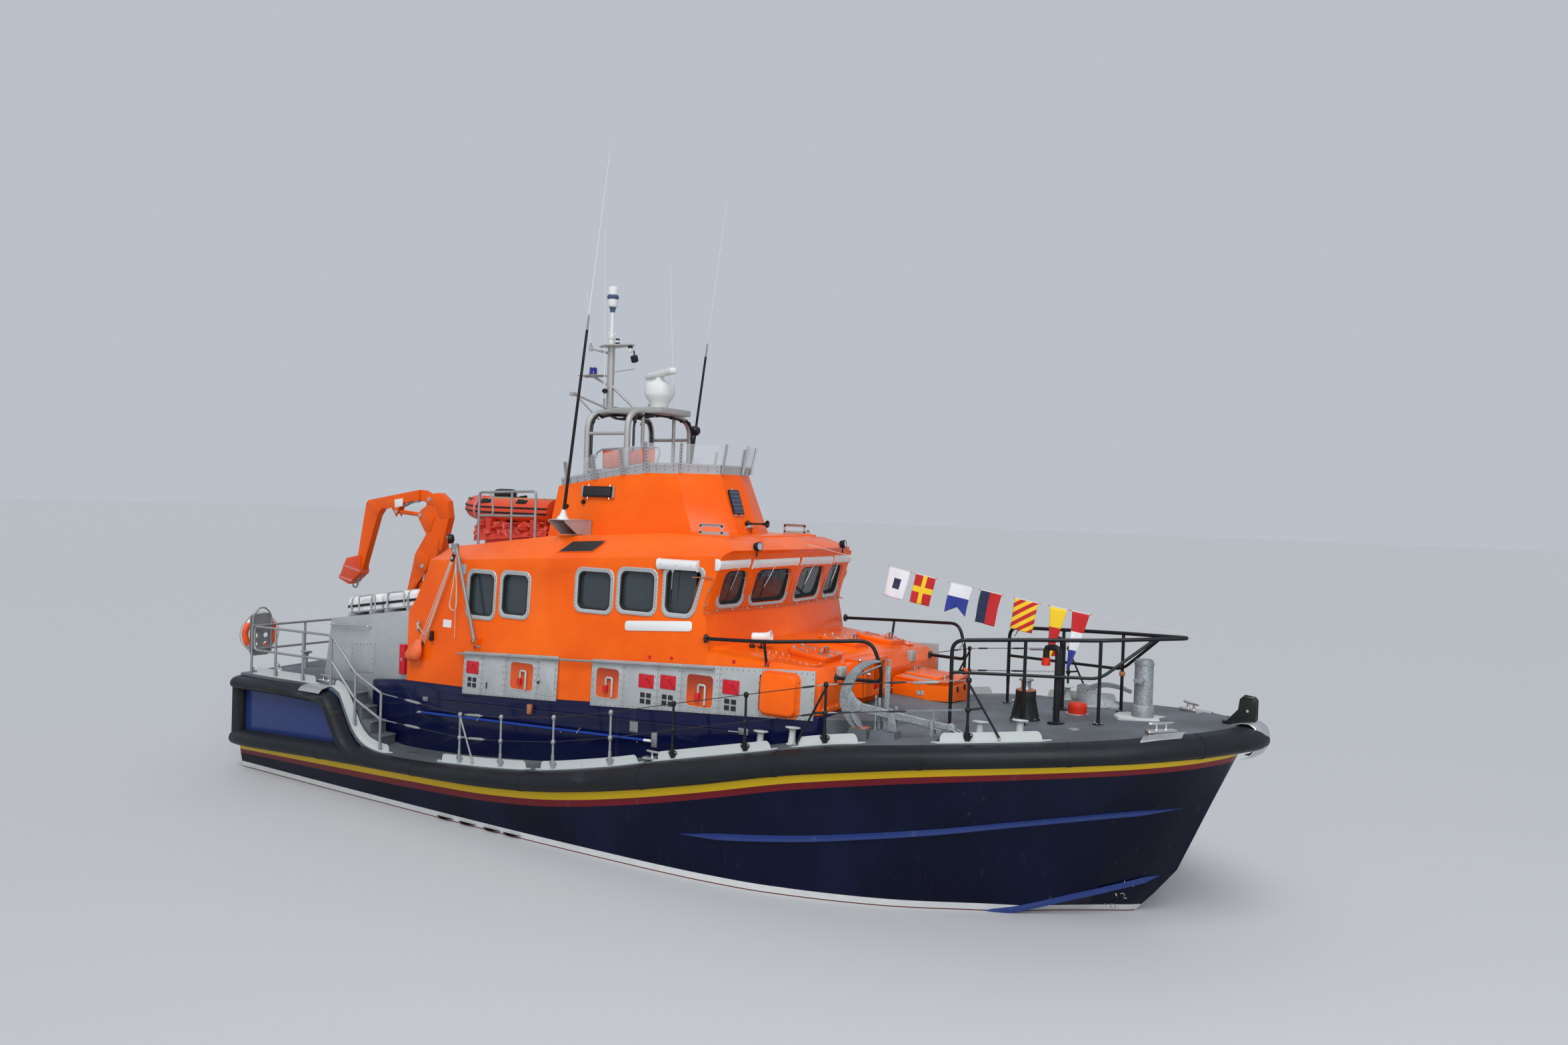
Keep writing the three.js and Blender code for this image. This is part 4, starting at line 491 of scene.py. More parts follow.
def hull_shape():
    shape = Shape(navy)
    grid = []
    for i in range(HULL_STATIONS):
        share = 1 - (1 - i / (HULL_STATIONS - 1)) ** 1.25
        half = half_section(share)
        other = [Vector((p.x, -p.y, p.z)) for p in half[:0:-1]]
        grid.append([shape.mesh.verts.new(p) for p in half + other])
    half_count = len(half)
    finishes = {4: dark_red, 5: yellow}
    count = len(grid[0])
    for a, b in zip(grid, grid[1:]):
        for j in range(count):
            band = j if j < half_count else count - 1 - j
            # Aft of the quarter step, the band above the belt takes the lighter blue: painted glare on navy
            # paint.
            glare_panel = band == 6 and a[j].co.x < GLARE_PANEL_FORE
            shape.paint(pale_blue_and_glare if glare_panel else finishes.get(band, navy))
            shape.face((a[j], a[(j + 1) % count], b[(j + 1) % count], b[j]))
    shape.paint(navy)
    shape.face(grid[0][::-1])
    shape.face(grid[-1])
    return shape


hull_form = hull_shape()
hull_tree = BVHTree.FromBMesh(hull_form.mesh)
hull_form.make("hull_shell", replaces=["hull"], slot="hull_paint", crease=22)


def on_hull(x, z, side=-1, proud=0.0):
    """A point of the hull's side at x and z, and the way that the side faces there."""
    spot, facing, _, _ = hull_tree.ray_cast(Vector((x, side * 6, z)), Vector((0, -side, 0)))
    if spot is None:
        spot, facing = Vector((x, 0, z)), Vector((0, side, 0))
    if facing.y * side < 0:
        facing.negate()
    return spot + facing * proud, facing


keel = Shape(navy)
KEEL = [(5.10, -0.70), (4.30, -1.35), (-4.80, -1.70), (-7.00, -1.74), (-7.25, -1.50), (-7.00, -0.60)]
keel.plate([(x, -0.07, z) for x, z in KEEL], (0, 0.14, 0), 0.02)
for side in (-1, 1):
    keel.plate([(x, side * 1.5 - 0.03, z)
                for x, z in ((-6.6, -0.5), (-6.45, -1.15), (-3.9, -1.15), (-3.4, -0.5))],
               (0, 0.06, 0), 0.012)
    keel.turned([(0, -0.58), (0.062, -0.58), (0.07, -0.56), (0.07, -0.35), (0, -0.35)],
                (-7.9, side * 1.15, 0))
keel.make("keels", slot="hull_paint")

# Spray strips
# Moulded rails on the knuckle and the chine of the bow, which throw the water clear.
# Their lighter blue than the side is painted highlight: the light the rails catch is painted into their
# colour.
SPRAY = {"high": 0.045, "out": 0.045, "foot": 0.035}


def spray_strip(table, start, end):
    rings = {-1: [], 1: []}
    steps = 40
    for i in range(steps + 1):
        x = start + (end - start) * i / steps
        fade = min(1, i / 4, (steps - i) / 3) + 0.02
        y, z = smooth_at(table, x, 1), smooth_at(table, x, 2)
        section = [(-0.02, SPRAY["high"]), (0.006, SPRAY["high"]), (SPRAY["out"], 0.005),
                   (SPRAY["out"], -SPRAY["foot"]), (-0.02, -SPRAY["foot"])]
        for side in rings:
            rings[side].append([Vector((x, side * (y + out * fade), z + rise * fade))
                                for out, rise in section])
    return rings


strips = Shape(pale_blue_and_glare)
for table, start, end in ((KNUCKLE, 1.6, 7.75), (CHINE, 5.4, 7.45)):
    for rings in spray_strip(table, start, end).values():
        strips.skin(rings)
strips.make("spray_strips", slot="hull_paint", crease=25)

# Draft marks and outlets
# Plain numbers for the draft in decimetres are painted at the stem on both sides, a fifth of a
# metre apart. Exhaust and cooling outlets break the boot-top with flanged mouths. Each mouth is one
# dark plate, whose black is painted shade standing in for the opening.
chalk = Finish("white marking paint", WHITE, 0.5)
chalk.wear(chalk.mixed(shade(WHITE, 0.6), WHITE, chalk.noise(40, 4).eased(0.3, 0.6)), "Base Color")
MARKS = ((10, 0.02), (12, 0.20), (14, 0.40))
MARK_HEIGHT = 0.105
STEM = [(-0.1, 0, 7.05), (0.0, 0, 7.10), (0.18, 0, 7.24), (0.39, 0, 7.36), (0.63, 0, 7.62), (0.8, 0, 7.70)]


def text_mesh(words, size):
    curve = bpy.data.curves.new(words, "FONT")
    curve.body = words
    curve.size = size
    curve.align_x = "CENTER"
    holder = bpy.data.objects.new(words, curve)
    bpy.context.scene.collection.objects.link(holder)
    made = bpy.data.meshes.new_from_object(holder.evaluated_get(bpy.context.evaluated_depsgraph_get()))
    bpy.data.objects.remove(holder)
    bpy.data.curves.remove(curve)
    return made


for side, word in ((-1, "starboard"), (1, "port")):
    marks = bmesh.new()
    for number, rise in MARKS:
        digits = bmesh.new()
        flat = text_mesh(str(number), MARK_HEIGHT * 1.35)
        digits.from_mesh(flat)
        bmesh.ops.subdivide_edges(digits, edges=digits.edges[:], cuts=1)
        middle = smooth_at(STEM, rise, 2) - 0.26
        for vert in digits.verts:
            x = middle - side * vert.co.x
            vert.co = on_hull(x, rise + vert.co.y + 0.005, side, 0.003)[0]
        digits.to_mesh(flat)
        marks.from_mesh(flat)
        digits.free()
        bpy.data.meshes.remove(flat)
    mesh = bpy.data.meshes.new("marks")
    marks.to_mesh(mesh)
    marks.free()
    fitted(f"draft_marks_{word}", mesh, [chalk])

# A near-black finish that is painted shade: dark plates set where outlets, vents, slots and holes open into
# the dark.
hole_shade = Finish("painted shade in openings", (0.01, 0.01, 0.011), 0.6)
hole_shade.bumped(hole_shade.noise(50), 0.002)
OUTLETS = (-2.95, -2.45, -1.92, -1.50)
OUTLET_Z = 0.06
outlets = Shape(hole_shade)
for x in OUTLETS:
    for side in (-1, 1):
        spot, facing = on_hull(x, OUTLET_Z, side)
        turn = facing.to_track_quat("Z", "Y").to_matrix()
        ring = [spot + turn @ Vector((0.17 * math.cos(a) * (1 + 0.1 * math.cos(2 * a)), 0.055 * math.sin(a),
                                      -0.02)) for a in turns(24)]
        outlets.plate(ring, facing * 0.045, 0.008)
outlets.make("side_outlets", slot="fender_rubber")

# Fender belts
# Solid rubber D-section bolted round the deck edge in lengths that are butted and taped, with a
# second belt and corner posts that frame the raised quarters.
rubber = Finish("black fender rubber", (0.010, 0.011, 0.013), 0.5, specular_ior_level=0.16)
scuffs = rubber.noise(5, 6, (0.25, 0.25, 1.4)).eased(0.56, 0.78)
cloudy = rubber.mixed((0.006, 0.007, 0.008), (0.018, 0.021, 0.025), rubber.noise(1.3, 4))
rubber.wear(rubber.mixed(cloudy, (0.075, 0.080, 0.082),
                         scuffs * rubber.noise(1.0, 2).eased(0.4, 0.7) * 0.6), "Base Color")
rubber.wear(rubber.noise(3, 4) * 0.25 + 0.33, "Roughness")
rubber.bumped(rubber.noise(28, 4) + rubber.noise(3, 3, (0.4, 0.4, 1)) * 1.5, 0.004, 0.5)

D_SECTION = [(-0.06, 0.0), (0.05, -0.01), (0.13, 0.05), (0.19, 0.15), (0.225, 0.27), (0.24, 0.42),
             (0.237, 0.56), (0.22, 0.71), (0.185, 0.84), (0.13, 0.94), (0.07, 0.99), (-0.06, 1.0)]
BELT_TOP = [(-8.45, 0, 0.72), (-6.00, 0, 0.86), (-5.20, 0, 0.90), (-4.75, 0, 0.922)]
SPLICE_EVERY = 9
FENDER_STEPS = 150


def flat_normals(path):
    """Outward normals in plan along a closed path that runs from the stern forward to starboard."""
    normals = []
    for i in range(len(path)):
        run = (path[(i + 1) % len(path)] - path[i - 1]).normalized()
        normals.append(Vector((run.y, -run.x, 0)))
    return normals


def belt_path():
    starboard = [Vector((-8.50, 0)), Vector((-8.495, -0.6)), Vector((-8.485, -1.2)), Vector((-8.472, -1.8)),
                 Vector((-8.462, -2.15)), Vector((-8.44, -2.32)), Vector((-8.36, -2.40)),
                 Vector((-8.22, -2.438))]
    for i in range(1, FENDER_STEPS):
        x = -8.22 + (8.16 + 8.22) * (1 - (1 - i / (FENDER_STEPS - 1)) ** 1.3)
        starboard.append(Vector((x, -edge_y(x))))
    starboard += [Vector((8.27, -0.34)), Vector((8.345, -0.22)), Vector((8.395, -0.11)), Vector((8.42, 0))]
    port = [Vector((p.x, -p.y)) for p in starboard[-2:0:-1]]
    return starboard + port


def belt_rings(swell=0.0):
    path = belt_path()
    rings = []
    for point, normal in zip(path, flat_normals([p.to_3d() for p in path])):
        foot = smooth_at(BELT_FOOT, point.x, 2)
        top = smooth_at(BELT_TOP, point.x, 2) if point.x < -4.75 else smooth_at(SHEER, point.x, 2) - 0.008
        middle = (foot + top) / 2
        ring = []
        for out, share in D_SECTION:
            z = middle + (foot + (top - foot) * share - middle) * (1 + swell)
            ring.append(Vector((point.x, point.y, z)) + normal * (out + (swell * 0.12 if out > 0 else 0)))
        rings.append(ring)
    return rings


belt = Shape(rubber)
rings = belt_rings()
belt.skin(rings, along=True)
tapes = belt_rings(0.03)
for i in range(6, len(rings) - 6, SPLICE_EVERY * 2):
    near, far = tapes[i], tapes[i + 1]
    width = (far[4] - near[4]).length
    belt.skin([near, [p.lerp(q, min(1, 0.055 / width)) for p, q in zip(near, far)]])
belt.make("belt_fender", replaces=["fender_belt"], slot="fender_rubber", crease=50)

QUARTER_HEIGHT = 0.23
QUARTER_BELT = [
    (-4.60, 2.60, 0.84), (-4.90, 2.612, 0.925), (-5.05, 2.61, 1.01), (-5.15, 2.607, 1.12),
    (-5.30, 2.60, 1.33), (-5.45, 2.594, 1.55), (-5.60, 2.586, 1.69), (-5.85, 2.575, 1.738),
    (-6.63, 2.545, 1.745), (-7.46, 2.50, 1.725), (-8.25, 2.438, 1.697), (-8.38, 2.40, 1.692),
    (-8.45, 2.28, 1.69), (-8.475, 1.70, 1.70), (-8.49, 0.85, 1.71), (-8.50, 0.0, 1.715),
]


def smooth_path(points, each=4, closed=False):
    """Points on a curve through the given ones."""
    given = [Vector(p) for p in points]
    count = len(given)
    made = []
    for i in range(count if closed else count - 1):
        if closed:
            a, b, c, d = (given[(i + k) % count] for k in (-1, 0, 1, 2))
        else:
            a, b, c, d = (given[min(max(i + k, 0), count - 1)] for k in (-1, 0, 1, 2))
        for j in range(each):
            t = j / each
            made.append(0.5 * (2 * b + (c - a) * t + (2 * a - 5 * b + 4 * c - d) * t * t
                               + (3 * b - a - 3 * c + d) * t ** 3))
    return made if closed else made + [given[-1]]


def run_at(path, i):
    """The way a path runs at its i-th point, from the point before to the one after."""
    return path[min(i + 1, len(path) - 1)] - path[max(i - 1, 0)]


quarter = Shape(rubber)
half = smooth_path(QUARTER_BELT, 4)
route = [Vector((p.x, -p.y, p.z)) for p in half] + half[-2::-1]
rings = []
for i, point in enumerate(route):
    run = run_at(route, i).normalized()
    flat = Vector((run.x, run.y, 0)).normalized()
    out = Vector((-flat.y, flat.x, 0))
    drop = out.cross(run).normalized()
    if drop.z > 0:
        drop.negate()
    rings.append([point + out * depth * 0.96 + drop * QUARTER_HEIGHT * (1 - share)
                  for depth, share in D_SECTION])
quarter.skin(rings)
for side in (-1, 1):
    quarter.block((-8.40, side * 2.405, 1.10), (0.30, 0.30, 1.05), edge=0.085, segments=4)
quarter.make("quarter_fender", replaces=["fender_quarter"], slot="fender_rubber", crease=50)

# Deck
# Laminate with a cambered top, laid with grey non-slip paint, and four steps up to each raised
# quarter. The step edges carry bare alloy nosings.
NON_SLIP = (0.085, 0.100, 0.112)
non_slip = Finish("grey non-slip deck", NON_SLIP, 0.75)
trodden = non_slip.noise(0.8, 5).eased(0.35, 0.7)
ground = non_slip.mixed(shade(NON_SLIP, 0.75), shade(NON_SLIP, 1.45), trodden)
stains = non_slip.noise(6, 6).eased(0.62, 0.78)
non_slip.wear(non_slip.mixed(ground, (0.045, 0.045, 0.042), stains * 0.5), "Base Color")
non_slip.wear(non_slip.noise(2, 4) * 0.25 + 0.52, "Roughness")
non_slip.bumped(non_slip.noise(260, 2) + non_slip.cells(90) * 0.4, 0.0015, 0.6)

CAST_ALLOY = (0.36, 0.38, 0.385)


def bare_metal(name, colour, roughness=0.42, metallic=0.75, dull=0.3):
    """Metal with a cloudy oxide skin, small pits and handling marks."""
    made = Finish(name, colour, roughness, metallic)
    oxide = made.noise(5, 6)
    tone = made.mixed(shade(colour, 1 - dull), shade(colour, 1.12), oxide)
    pits = made.noise(55, 5).eased(0.62, 0.8)
    made.wear(made.mixed(tone, shade(colour, 0.35), pits * 0.45), "Base Color")
    made.wear(made.noise(7, 5) * 0.28 + (roughness - 0.12), "Roughness")
    return made.bumped(made.noise(70, 4), 0.0012, 0.3)


alloy = bare_metal("bare alloy", CAST_ALLOY)
rail_alloy = bare_metal("dull rail alloy", (0.33, 0.345, 0.35), 0.5, 0.55)
stainless = bare_metal("stainless steel", (0.60, 0.60, 0.60), 0.27, 0.95, 0.12)
galvanised = bare_metal("galvanised steel", (0.25, 0.28, 0.30), 0.55, 0.45, 0.35)
spangle = galvanised.cells(38)
galvanised.wear(galvanised.mixed((0.17, 0.19, 0.20), (0.33, 0.36, 0.38),
                                 spangle * galvanised.noise(6, 5) * 2.2), "Base Color")
pale_green = sprayed("pale grey-green enamel", (0.46, 0.49, 0.485), 0.35, streaks=0.4)

DECK_STATIONS = 120
DECK_AFT, DECK_LONG, DECK_THICK = -8.45, 16.75, 0.04
deck = Shape(non_slip)
rings = []
for i in range(DECK_STATIONS):
    x = DECK_AFT + DECK_LONG * (1 - (1 - i / (DECK_STATIONS - 1)) ** 1.2)
    y = edge_y(x)
    top = [(y * s, deck_z(x, y * s)) for s in (1, 0.75, 0.5, 0.25, 0, -0.25, -0.5, -0.75, -1)]
    rings.append([Vector((x, across, z)) for across, z in top]
                 + [Vector((x, across, z - DECK_THICK)) for across, z in top[::-1]])
deck.skin(rings)
STEPS = {"count": 4, "fore": -4.62, "aft": -5.56, "inner": 2.11, "outer": 2.44, "foot": 0.88, "top": 1.72}
going = (STEPS["fore"] - STEPS["aft"]) / STEPS["count"]
rise = (STEPS["top"] - STEPS["foot"]) / STEPS["count"]
middle, width = (STEPS["inner"] + STEPS["outer"]) / 2, STEPS["outer"] - STEPS["inner"]
for i in range(STEPS["count"]):
    front = STEPS["fore"] - i * going
    top = STEPS["foot"] + (i + 1) * rise
    for side in (-1, 1):
        deck.paint(non_slip).block(((front + STEPS["aft"]) / 2, side * middle,
                                    (top + STEPS["foot"]) / 2 - 0.05),
                                   (front - STEPS["aft"], width, top - STEPS["foot"] + 0.1), edge=0.008)
        deck.paint(alloy).block((front + 0.004, side * middle, top - 0.012), (0.05, width - 0.02, 0.028),
                                edge=0.006)
FOREDECK_STEP = [(3.452, 1.90, 2.33, 2.405), (4.00, 1.33, 2.30, 2.372), (4.64, 0.70, 2.25, 2.33)]
rings = []
for x, half, edge, crown in FOREDECK_STEP:
    rings.append([Vector((x, y, z)) for y, z in (
        (-half, 2.0), (-half, edge - 0.02), (-half + 0.02, edge), (0, crown), (half - 0.02, edge),
        (half, edge - 0.02), (half, 2.0))])
deck.paint(non_slip).skin(rings)
deck.make("deck_plate", replaces=["deck"], slot="deck_paint", crease=25)

# Deck gear
# Turned mushroom bitts, twin-post cleats on chafe plates over the fender, the galvanised samson
# post on its bolted plate, two vent necks on the foredeck, and flush lids in the side decks.
gear = Shape(pale_green)


def bitt(shape, x, y, height=0.23):
    z = deck_z(x, y)
    lean = Vector((0, -0.12 if y > 0 else 0.12, 1))
    shape.turned([(0.058, 0), (0.052, 0.02), (0.044, height * 0.45), (0.044, height * 0.8),
                  (0.062, height * 0.86), (0.098, height * 0.9), (0.104, height * 0.94),
                  (0.098, height * 0.985), (0, height)], (x, y, z - 0.004), lean, 28)
    shape.turned([(0.075, 0), (0.075, 0.008), (0.055, 0.014)], (x, y, z - 0.004), (0, 0, 1), 28)


def cleat(shape, x, y, turn):
    """A horn bar on two posts, standing on a plinth."""
    z = deck_z(x, y)
    spin = Matrix.Rotation(math.radians(turn), 3, "Z")
    place = Vector((x, y, z))
    shape.paint(stainless)
    shape.block(place + spin @ Vector((0, 0, 0.012)), (0.40, 0.11, 0.04), spin, 0.012)
    for along in (-0.065, 0.065):
        foot = place + spin @ Vector((along, 0, 0.03))
        shape.turned([(0.026, 0), (0.017, 0.012), (0.016, 0.08)], foot, (0, 0, 1), 16)
    bar = [place + spin @ Vector((along, 0, 0.105 + abs(along) * 0.03))
           for along in (-0.17, -0.15, 0, 0.15, 0.17)]
    shape.tube(bar, [0.008, 0.017, 0.018, 0.017, 0.008], 12)


BITTS = ((2.66, 2.23), (3.13, 2.19), (5.59, 1.84), (6.03, 1.64))
CLEATS = ((7.55, 0.90, -45), (1.15, 2.50, 0), (-6.20, 2.30, 0), (-8.10, 1.90, 30))
for side in (-1, 1):
    for x, y in BITTS:
        bitt(gear, x, side * y)
    for x, y, turn in CLEATS:
        cleat(gear, x, side * y, side * turn)
    gear.paint(galvanised)
    bitt(gear, -7.9, side * 1.5, 0.33)
    gear.paint(pale_green)
gear.make("deck_bitts_and_cleats", slot="white_paint")

chafe = Shape(stainless)
for side in (-1, 1):
    for x, length in ((7.62, 0.40), (-6.02, 0.58)):
        rings = []
        for i in range(7):
            along = x - length / 2 + length * i / 6
            y = edge_y(along)
            z = deck_z(along, y)
            rings.append([Vector((along, side * (y + out), z + lift))
                          for out, lift in ((-0.10, 0.006), (0.04, 0.008), (0.155, -0.022), (0.215, -0.085),
                                            (0.21, -0.088), (0.15, -0.026), (0.04, 0.003), (-0.10, 0.0))])
        chafe.skin(rings)
chafe.make("chafe_plates", slot="stainless")

SAMSON_X = 7.12
samson = Shape(galvanised)
z = deck_z(SAMSON_X)
samson.paint(pale_green).plate([(SAMSON_X + a, b, z - 0.03) for a, b in (
    (-0.34, -0.13), (-0.26, -0.22), (0.22, -0.22), (0.40, -0.10), (1.02, -0.07), (1.02, 0.07), (0.40, 0.10),
    (0.22, 0.22), (-0.26, 0.22), (-0.34, 0.13))], (0, 0, 0.05), 0.006)
samson.paint(galvanised)
samson.turned([(0.140, 0.02), (0.140, 0.155), (0.132, 0.17), (0.119, 0.18), (0.118, 0.73), (0.112, 0.755),
               (0.095, 0.768), (0, 0.772)], (SAMSON_X, 0, z - 0.002), sides=40)
samson.turned([(0.126, 0), (0.126, 0.03)], (SAMSON_X, 0, z + 0.69), sides=40)
samson.tube([(SAMSON_X, y, z + 0.50) for y in (-0.20, -0.19, -0.12, 0.12, 0.16)],
            [0.038, 0.045, 0.045, 0.045, 0.045], 24)
samson.tube([(SAMSON_X - 0.02 + y * 0.2, y, z + 0.50) for y in (-0.207, -0.15)], 0.03, 20)
samson.make("samson_post", slot="galvanised")

CAPSTAN = (5.74, -0.57)
FLUSH_LIDS = ((-3.9, 2.34), (-3.2, 2.36), (1.9, 2.2), (4.9, 1.5), (6.5, 0.95), (-6.8, 1.2), (-7.5, 0.7))
lids = Shape(non_slip)
lids.turned([(0.197, -0.03), (0.197, 0.022), (0.19, 0.025), (0, 0.025)], (*CAPSTAN, deck_z(*CAPSTAN)),
            sides=40)
lids.paint(stainless)
for side in (-1, 1):
    for x, y in FLUSH_LIDS:
        z = deck_z(x, y)
        lids.turned([(0.075, -0.01), (0.075, 0.003), (0.068, 0.006), (0.02, 0.006), (0, 0.009)],
                    (x, side * y, z), sides=28)
lids.make("deck_fillers", slot="stainless")

crate_red = sprayed("bright red cover", (0.58, 0.028, 0.010), 0.5, streaks=0.1)
vent = Shape(stainless)
VENT = (6.24, 0.10)
z = deck_z(*VENT)
vent.turned([(0.155, 0), (0.155, 0.012), (0.148, 0.018), (0.11, 0.018)], (*VENT, z - 0.004), sides=32)
vent.paint(crate_red).turned([(0.118, 0.01), (0.128, 0.03), (0.122, 0.07), (0.129, 0.095), (0.125, 0.125),
                              (0.11, 0.15), (0.055, 0.158), (0, 0.156)], (*VENT, z), sides=20)
vent.make("foredeck_vent", slot="stainless")

black_iron = sprayed("black enamel", (0.012, 0.012, 0.013), 0.3, grime=(0.1, 0.1, 0.1), streaks=0.1)
neck = Shape(black_iron)
NECK = [(0, 0), (0, 0.50), (0, 0.93), (-0.012, 0.965), (-0.05, 0.98), (-0.11, 0.98), (-0.148, 0.965),
        (-0.16, 0.93), (-0.16, 0.80)]
for x, y in ((6.18, -0.65), (5.89, 0.50)):
    z = deck_z(x, y)
    neck.paint(black_iron).turned([(0.11, 0), (0.11, 0.03), (0.055, 0.045)], (x, y, z - 0.005), sides=28)
    neck.tube([(x + along, y, z + up) for along, up in NECK], 0.042, 20)
    neck.paint(crate_red).turned([(0.052, 0), (0.058, 0.006), (0.058, 0.094), (0.046, 0.102)],
                                 (x - 0.16, y, z + 0.74), sides=24)
neck.make("vent_necks", slot="black_paint")

# Bow fitting
# A polished stainless guard folded round the stem over the fender, and a black twin-cheek roller
# for the anchor warp on the stemhead.
stem = Shape(stainless)
NOSE = [(8.235, 2.612), (8.36, 2.628), (8.46, 2.662), (8.54, 2.662), (8.61, 2.62), (8.648, 2.54),
        (8.652, 2.44), (8.63, 2.35), (8.585, 2.275), (8.52, 2.225), (8.46, 2.20)]
rings = []
for i, y in enumerate([-0.17, -0.165, -0.13, -0.08, 0, 0.08, 0.13, 0.165, 0.17]):
    pull = 0.11 * (y / 0.17) ** 2
    outer = [Vector((x - pull * (1 if x > 8.3 else 0.3), y, z - 0.02 * (y / 0.17) ** 2)) for x, z in NOSE]
    middle = Vector((8.40, y, 2.42))
    inner = [p + (middle - p).normalized() * 0.012 for p in outer[::-1]]
    rings.append(outer + inner)
stem.skin(rings)
stem.make("stem_guard", replaces=["bow_fitting"], slot="stainless", crease=45)
roller = Shape(black_iron)
for side in (-1, 1):
    roller.plate([(x, side * 0.083 - 0.012, z) for x, z in (
        (8.13, 2.60), (8.48, 2.62), (8.50, 2.66), (8.50, 2.90), (8.47, 2.94), (8.34, 2.955), (8.305, 2.92),
        (8.29, 2.79))], (0, 0.024, 0), 0.006)
roller.block((8.30, 0, 2.618), (0.38, 0.20, 0.03), edge=0.006)
roller.block((8.40, 0, 2.93), (0.13, 0.19, 0.02), edge=0.006)
roller.paint(stainless).tube([(8.40, y, 2.78) for y in (-0.112, -0.105, 0.105, 0.112)],
                             [0.012, 0.018, 0.018, 0.012], 16)
roller.paint(rubber).turned([(0.062, 0), (0.045, 0.03), (0.042, 0.065), (0.045, 0.10), (0.062, 0.13)],
                            (8.40, -0.065, 2.78), (0, 1, 0), 28)
roller.make("stem_roller", slot="black_paint")

# Wheelhouse and casing
# Welded alloy house in orange on a navy coaming, with its roof, the sloping fore trunk and the
# funnel-shaped flying bridge. Plate edges are folded, so they are softly rounded.
ORANGE = (0.82, 0.112, 0.003)
orange = Finish("orange gloss paint", ORANGE, 0.28, coat_weight=0.06, coat_roughness=0.12,
                specular_ior_level=0.18)
rain = orange.noise(8, 4, (1, 1, 0.06)).eased(0.58, 0.82) * orange.noise(1.4, 2).eased(0.42, 0.7)
faded = orange.mixed((0.76, 0.092, 0.002), (0.86, 0.132, 0.005), orange.noise(0.8, 4).eased(0.3, 0.7))
orange.wear(orange.mixed(faded, (0.28, 0.085, 0.02), rain * 0.32), "Base Color")
orange.wear(orange.noise(4, 5) * 0.16 + 0.20 + rain * 0.15, "Roughness")
orange.bumped(orange.noise(1.6, 2) * 4 + orange.noise(40, 2) * 0.3, 0.001, 0.25)
coaming_blue = sprayed("navy coaming paint", (0.003, 0.006, 0.040), 0.16, streaks=0.12, coat_weight=0.1)
inner_grey = sprayed("cabin lining", (0.30, 0.31, 0.31), 0.6, streaks=0.1)


def refined(node, finish, body="boat", edge=0.008, segments=2):
    """Shows a CAD node's shape with its long edges rounded."""
    mesh = bmesh.new()
    mesh.from_mesh(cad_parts[node].data)
    bmesh.ops.remove_doubles(mesh, verts=mesh.verts, dist=0.0001)
    bmesh.ops.dissolve_limit(mesh, angle_limit=math.radians(0.8), verts=mesh.verts, edges=mesh.edges)
    folds = [e for e in mesh.edges if len(e.link_faces) == 2
             and e.calc_face_angle(0) > math.radians(24) and e.calc_length() > edge * 3]
    bmesh.ops.bevel(mesh, geom=folds, offset=edge, segments=segments, affect="EDGES", profile=0.5,
                    clamp_overlap=True, material=-1)
    bmesh.ops.recalc_face_normals(mesh, faces=mesh.faces[:])
    for face in mesh.faces:
        face.material_index = 0
    made = bpy.data.meshes.new(node)
    mesh.to_mesh(made)
    mesh.free()
    return fitted(f"{node}_plating", made, [finish], body, [node], crease=32)


for node in ("wheelhouse_walls", "wheelhouse_roof", "fore_trunk", "flybridge_tub"):
    refined(node, orange, edge=0.012, segments=3)
refined("house_coaming", coaming_blue, edge=0.014)
refined("helm_console", inner_grey, edge=0.01)
casing_alloy = bare_metal("casing alloy", (0.40, 0.42, 0.43), 0.5, 0.35, 0.18)
refined("aft_casing", casing_alloy, edge=0.008)
for name, body in (("starboard", "hatch_starboard"), ("centre", "hatch_centre"), ("port", "hatch_port")):
    refined(f"hatch_{name}", orange, body, 0.012, 3)


WALL_LEAN = 0.045


def wall_y(z):
    return 2.15 - WALL_LEAN * z


def wall_spot(x, z, side=-1, proud=0.0):
    """A point on the outer face of the house's side, or of the panels and frames that lie on it."""
    return Vector((x, side * (wall_y(z) + proud), z))


def wall_way(side=-1):
    return Vector((0, side, WALL_LEAN)).normalized()


# Studs and bolts
# Small domed bolt heads in rows on every panel and window frame. Each row is a line of points
# with the way it faces, and the heads are set along it at an even spacing.
LINE_NODES = (("start", "NodeGroupInput"), ("curve", "GeometryNodeMeshToCurve"),
              ("even", "GeometryNodeResampleCurve"), ("turn", "FunctionNodeAlignRotationToVector"),
              ("place", "GeometryNodeInstanceOnPoints"), ("real", "GeometryNodeRealizeInstances"),
              ("paint", "GeometryNodeSetMaterial"), ("end", "NodeGroupOutput"))
LINE_LINKS = (("start", "Geometry", "curve", "Mesh"), ("curve", "Curve", "even", "Curve"),
              ("start", "Spacing", "even", "Length"), ("even", "Curve", "place", "Points"),
              ("place", "Instances", "real", "Geometry"), ("real", "Geometry", "paint", "Geometry"),
              ("start", "Metal", "paint", "Material"), ("paint", "Geometry", "end", "Geometry"))


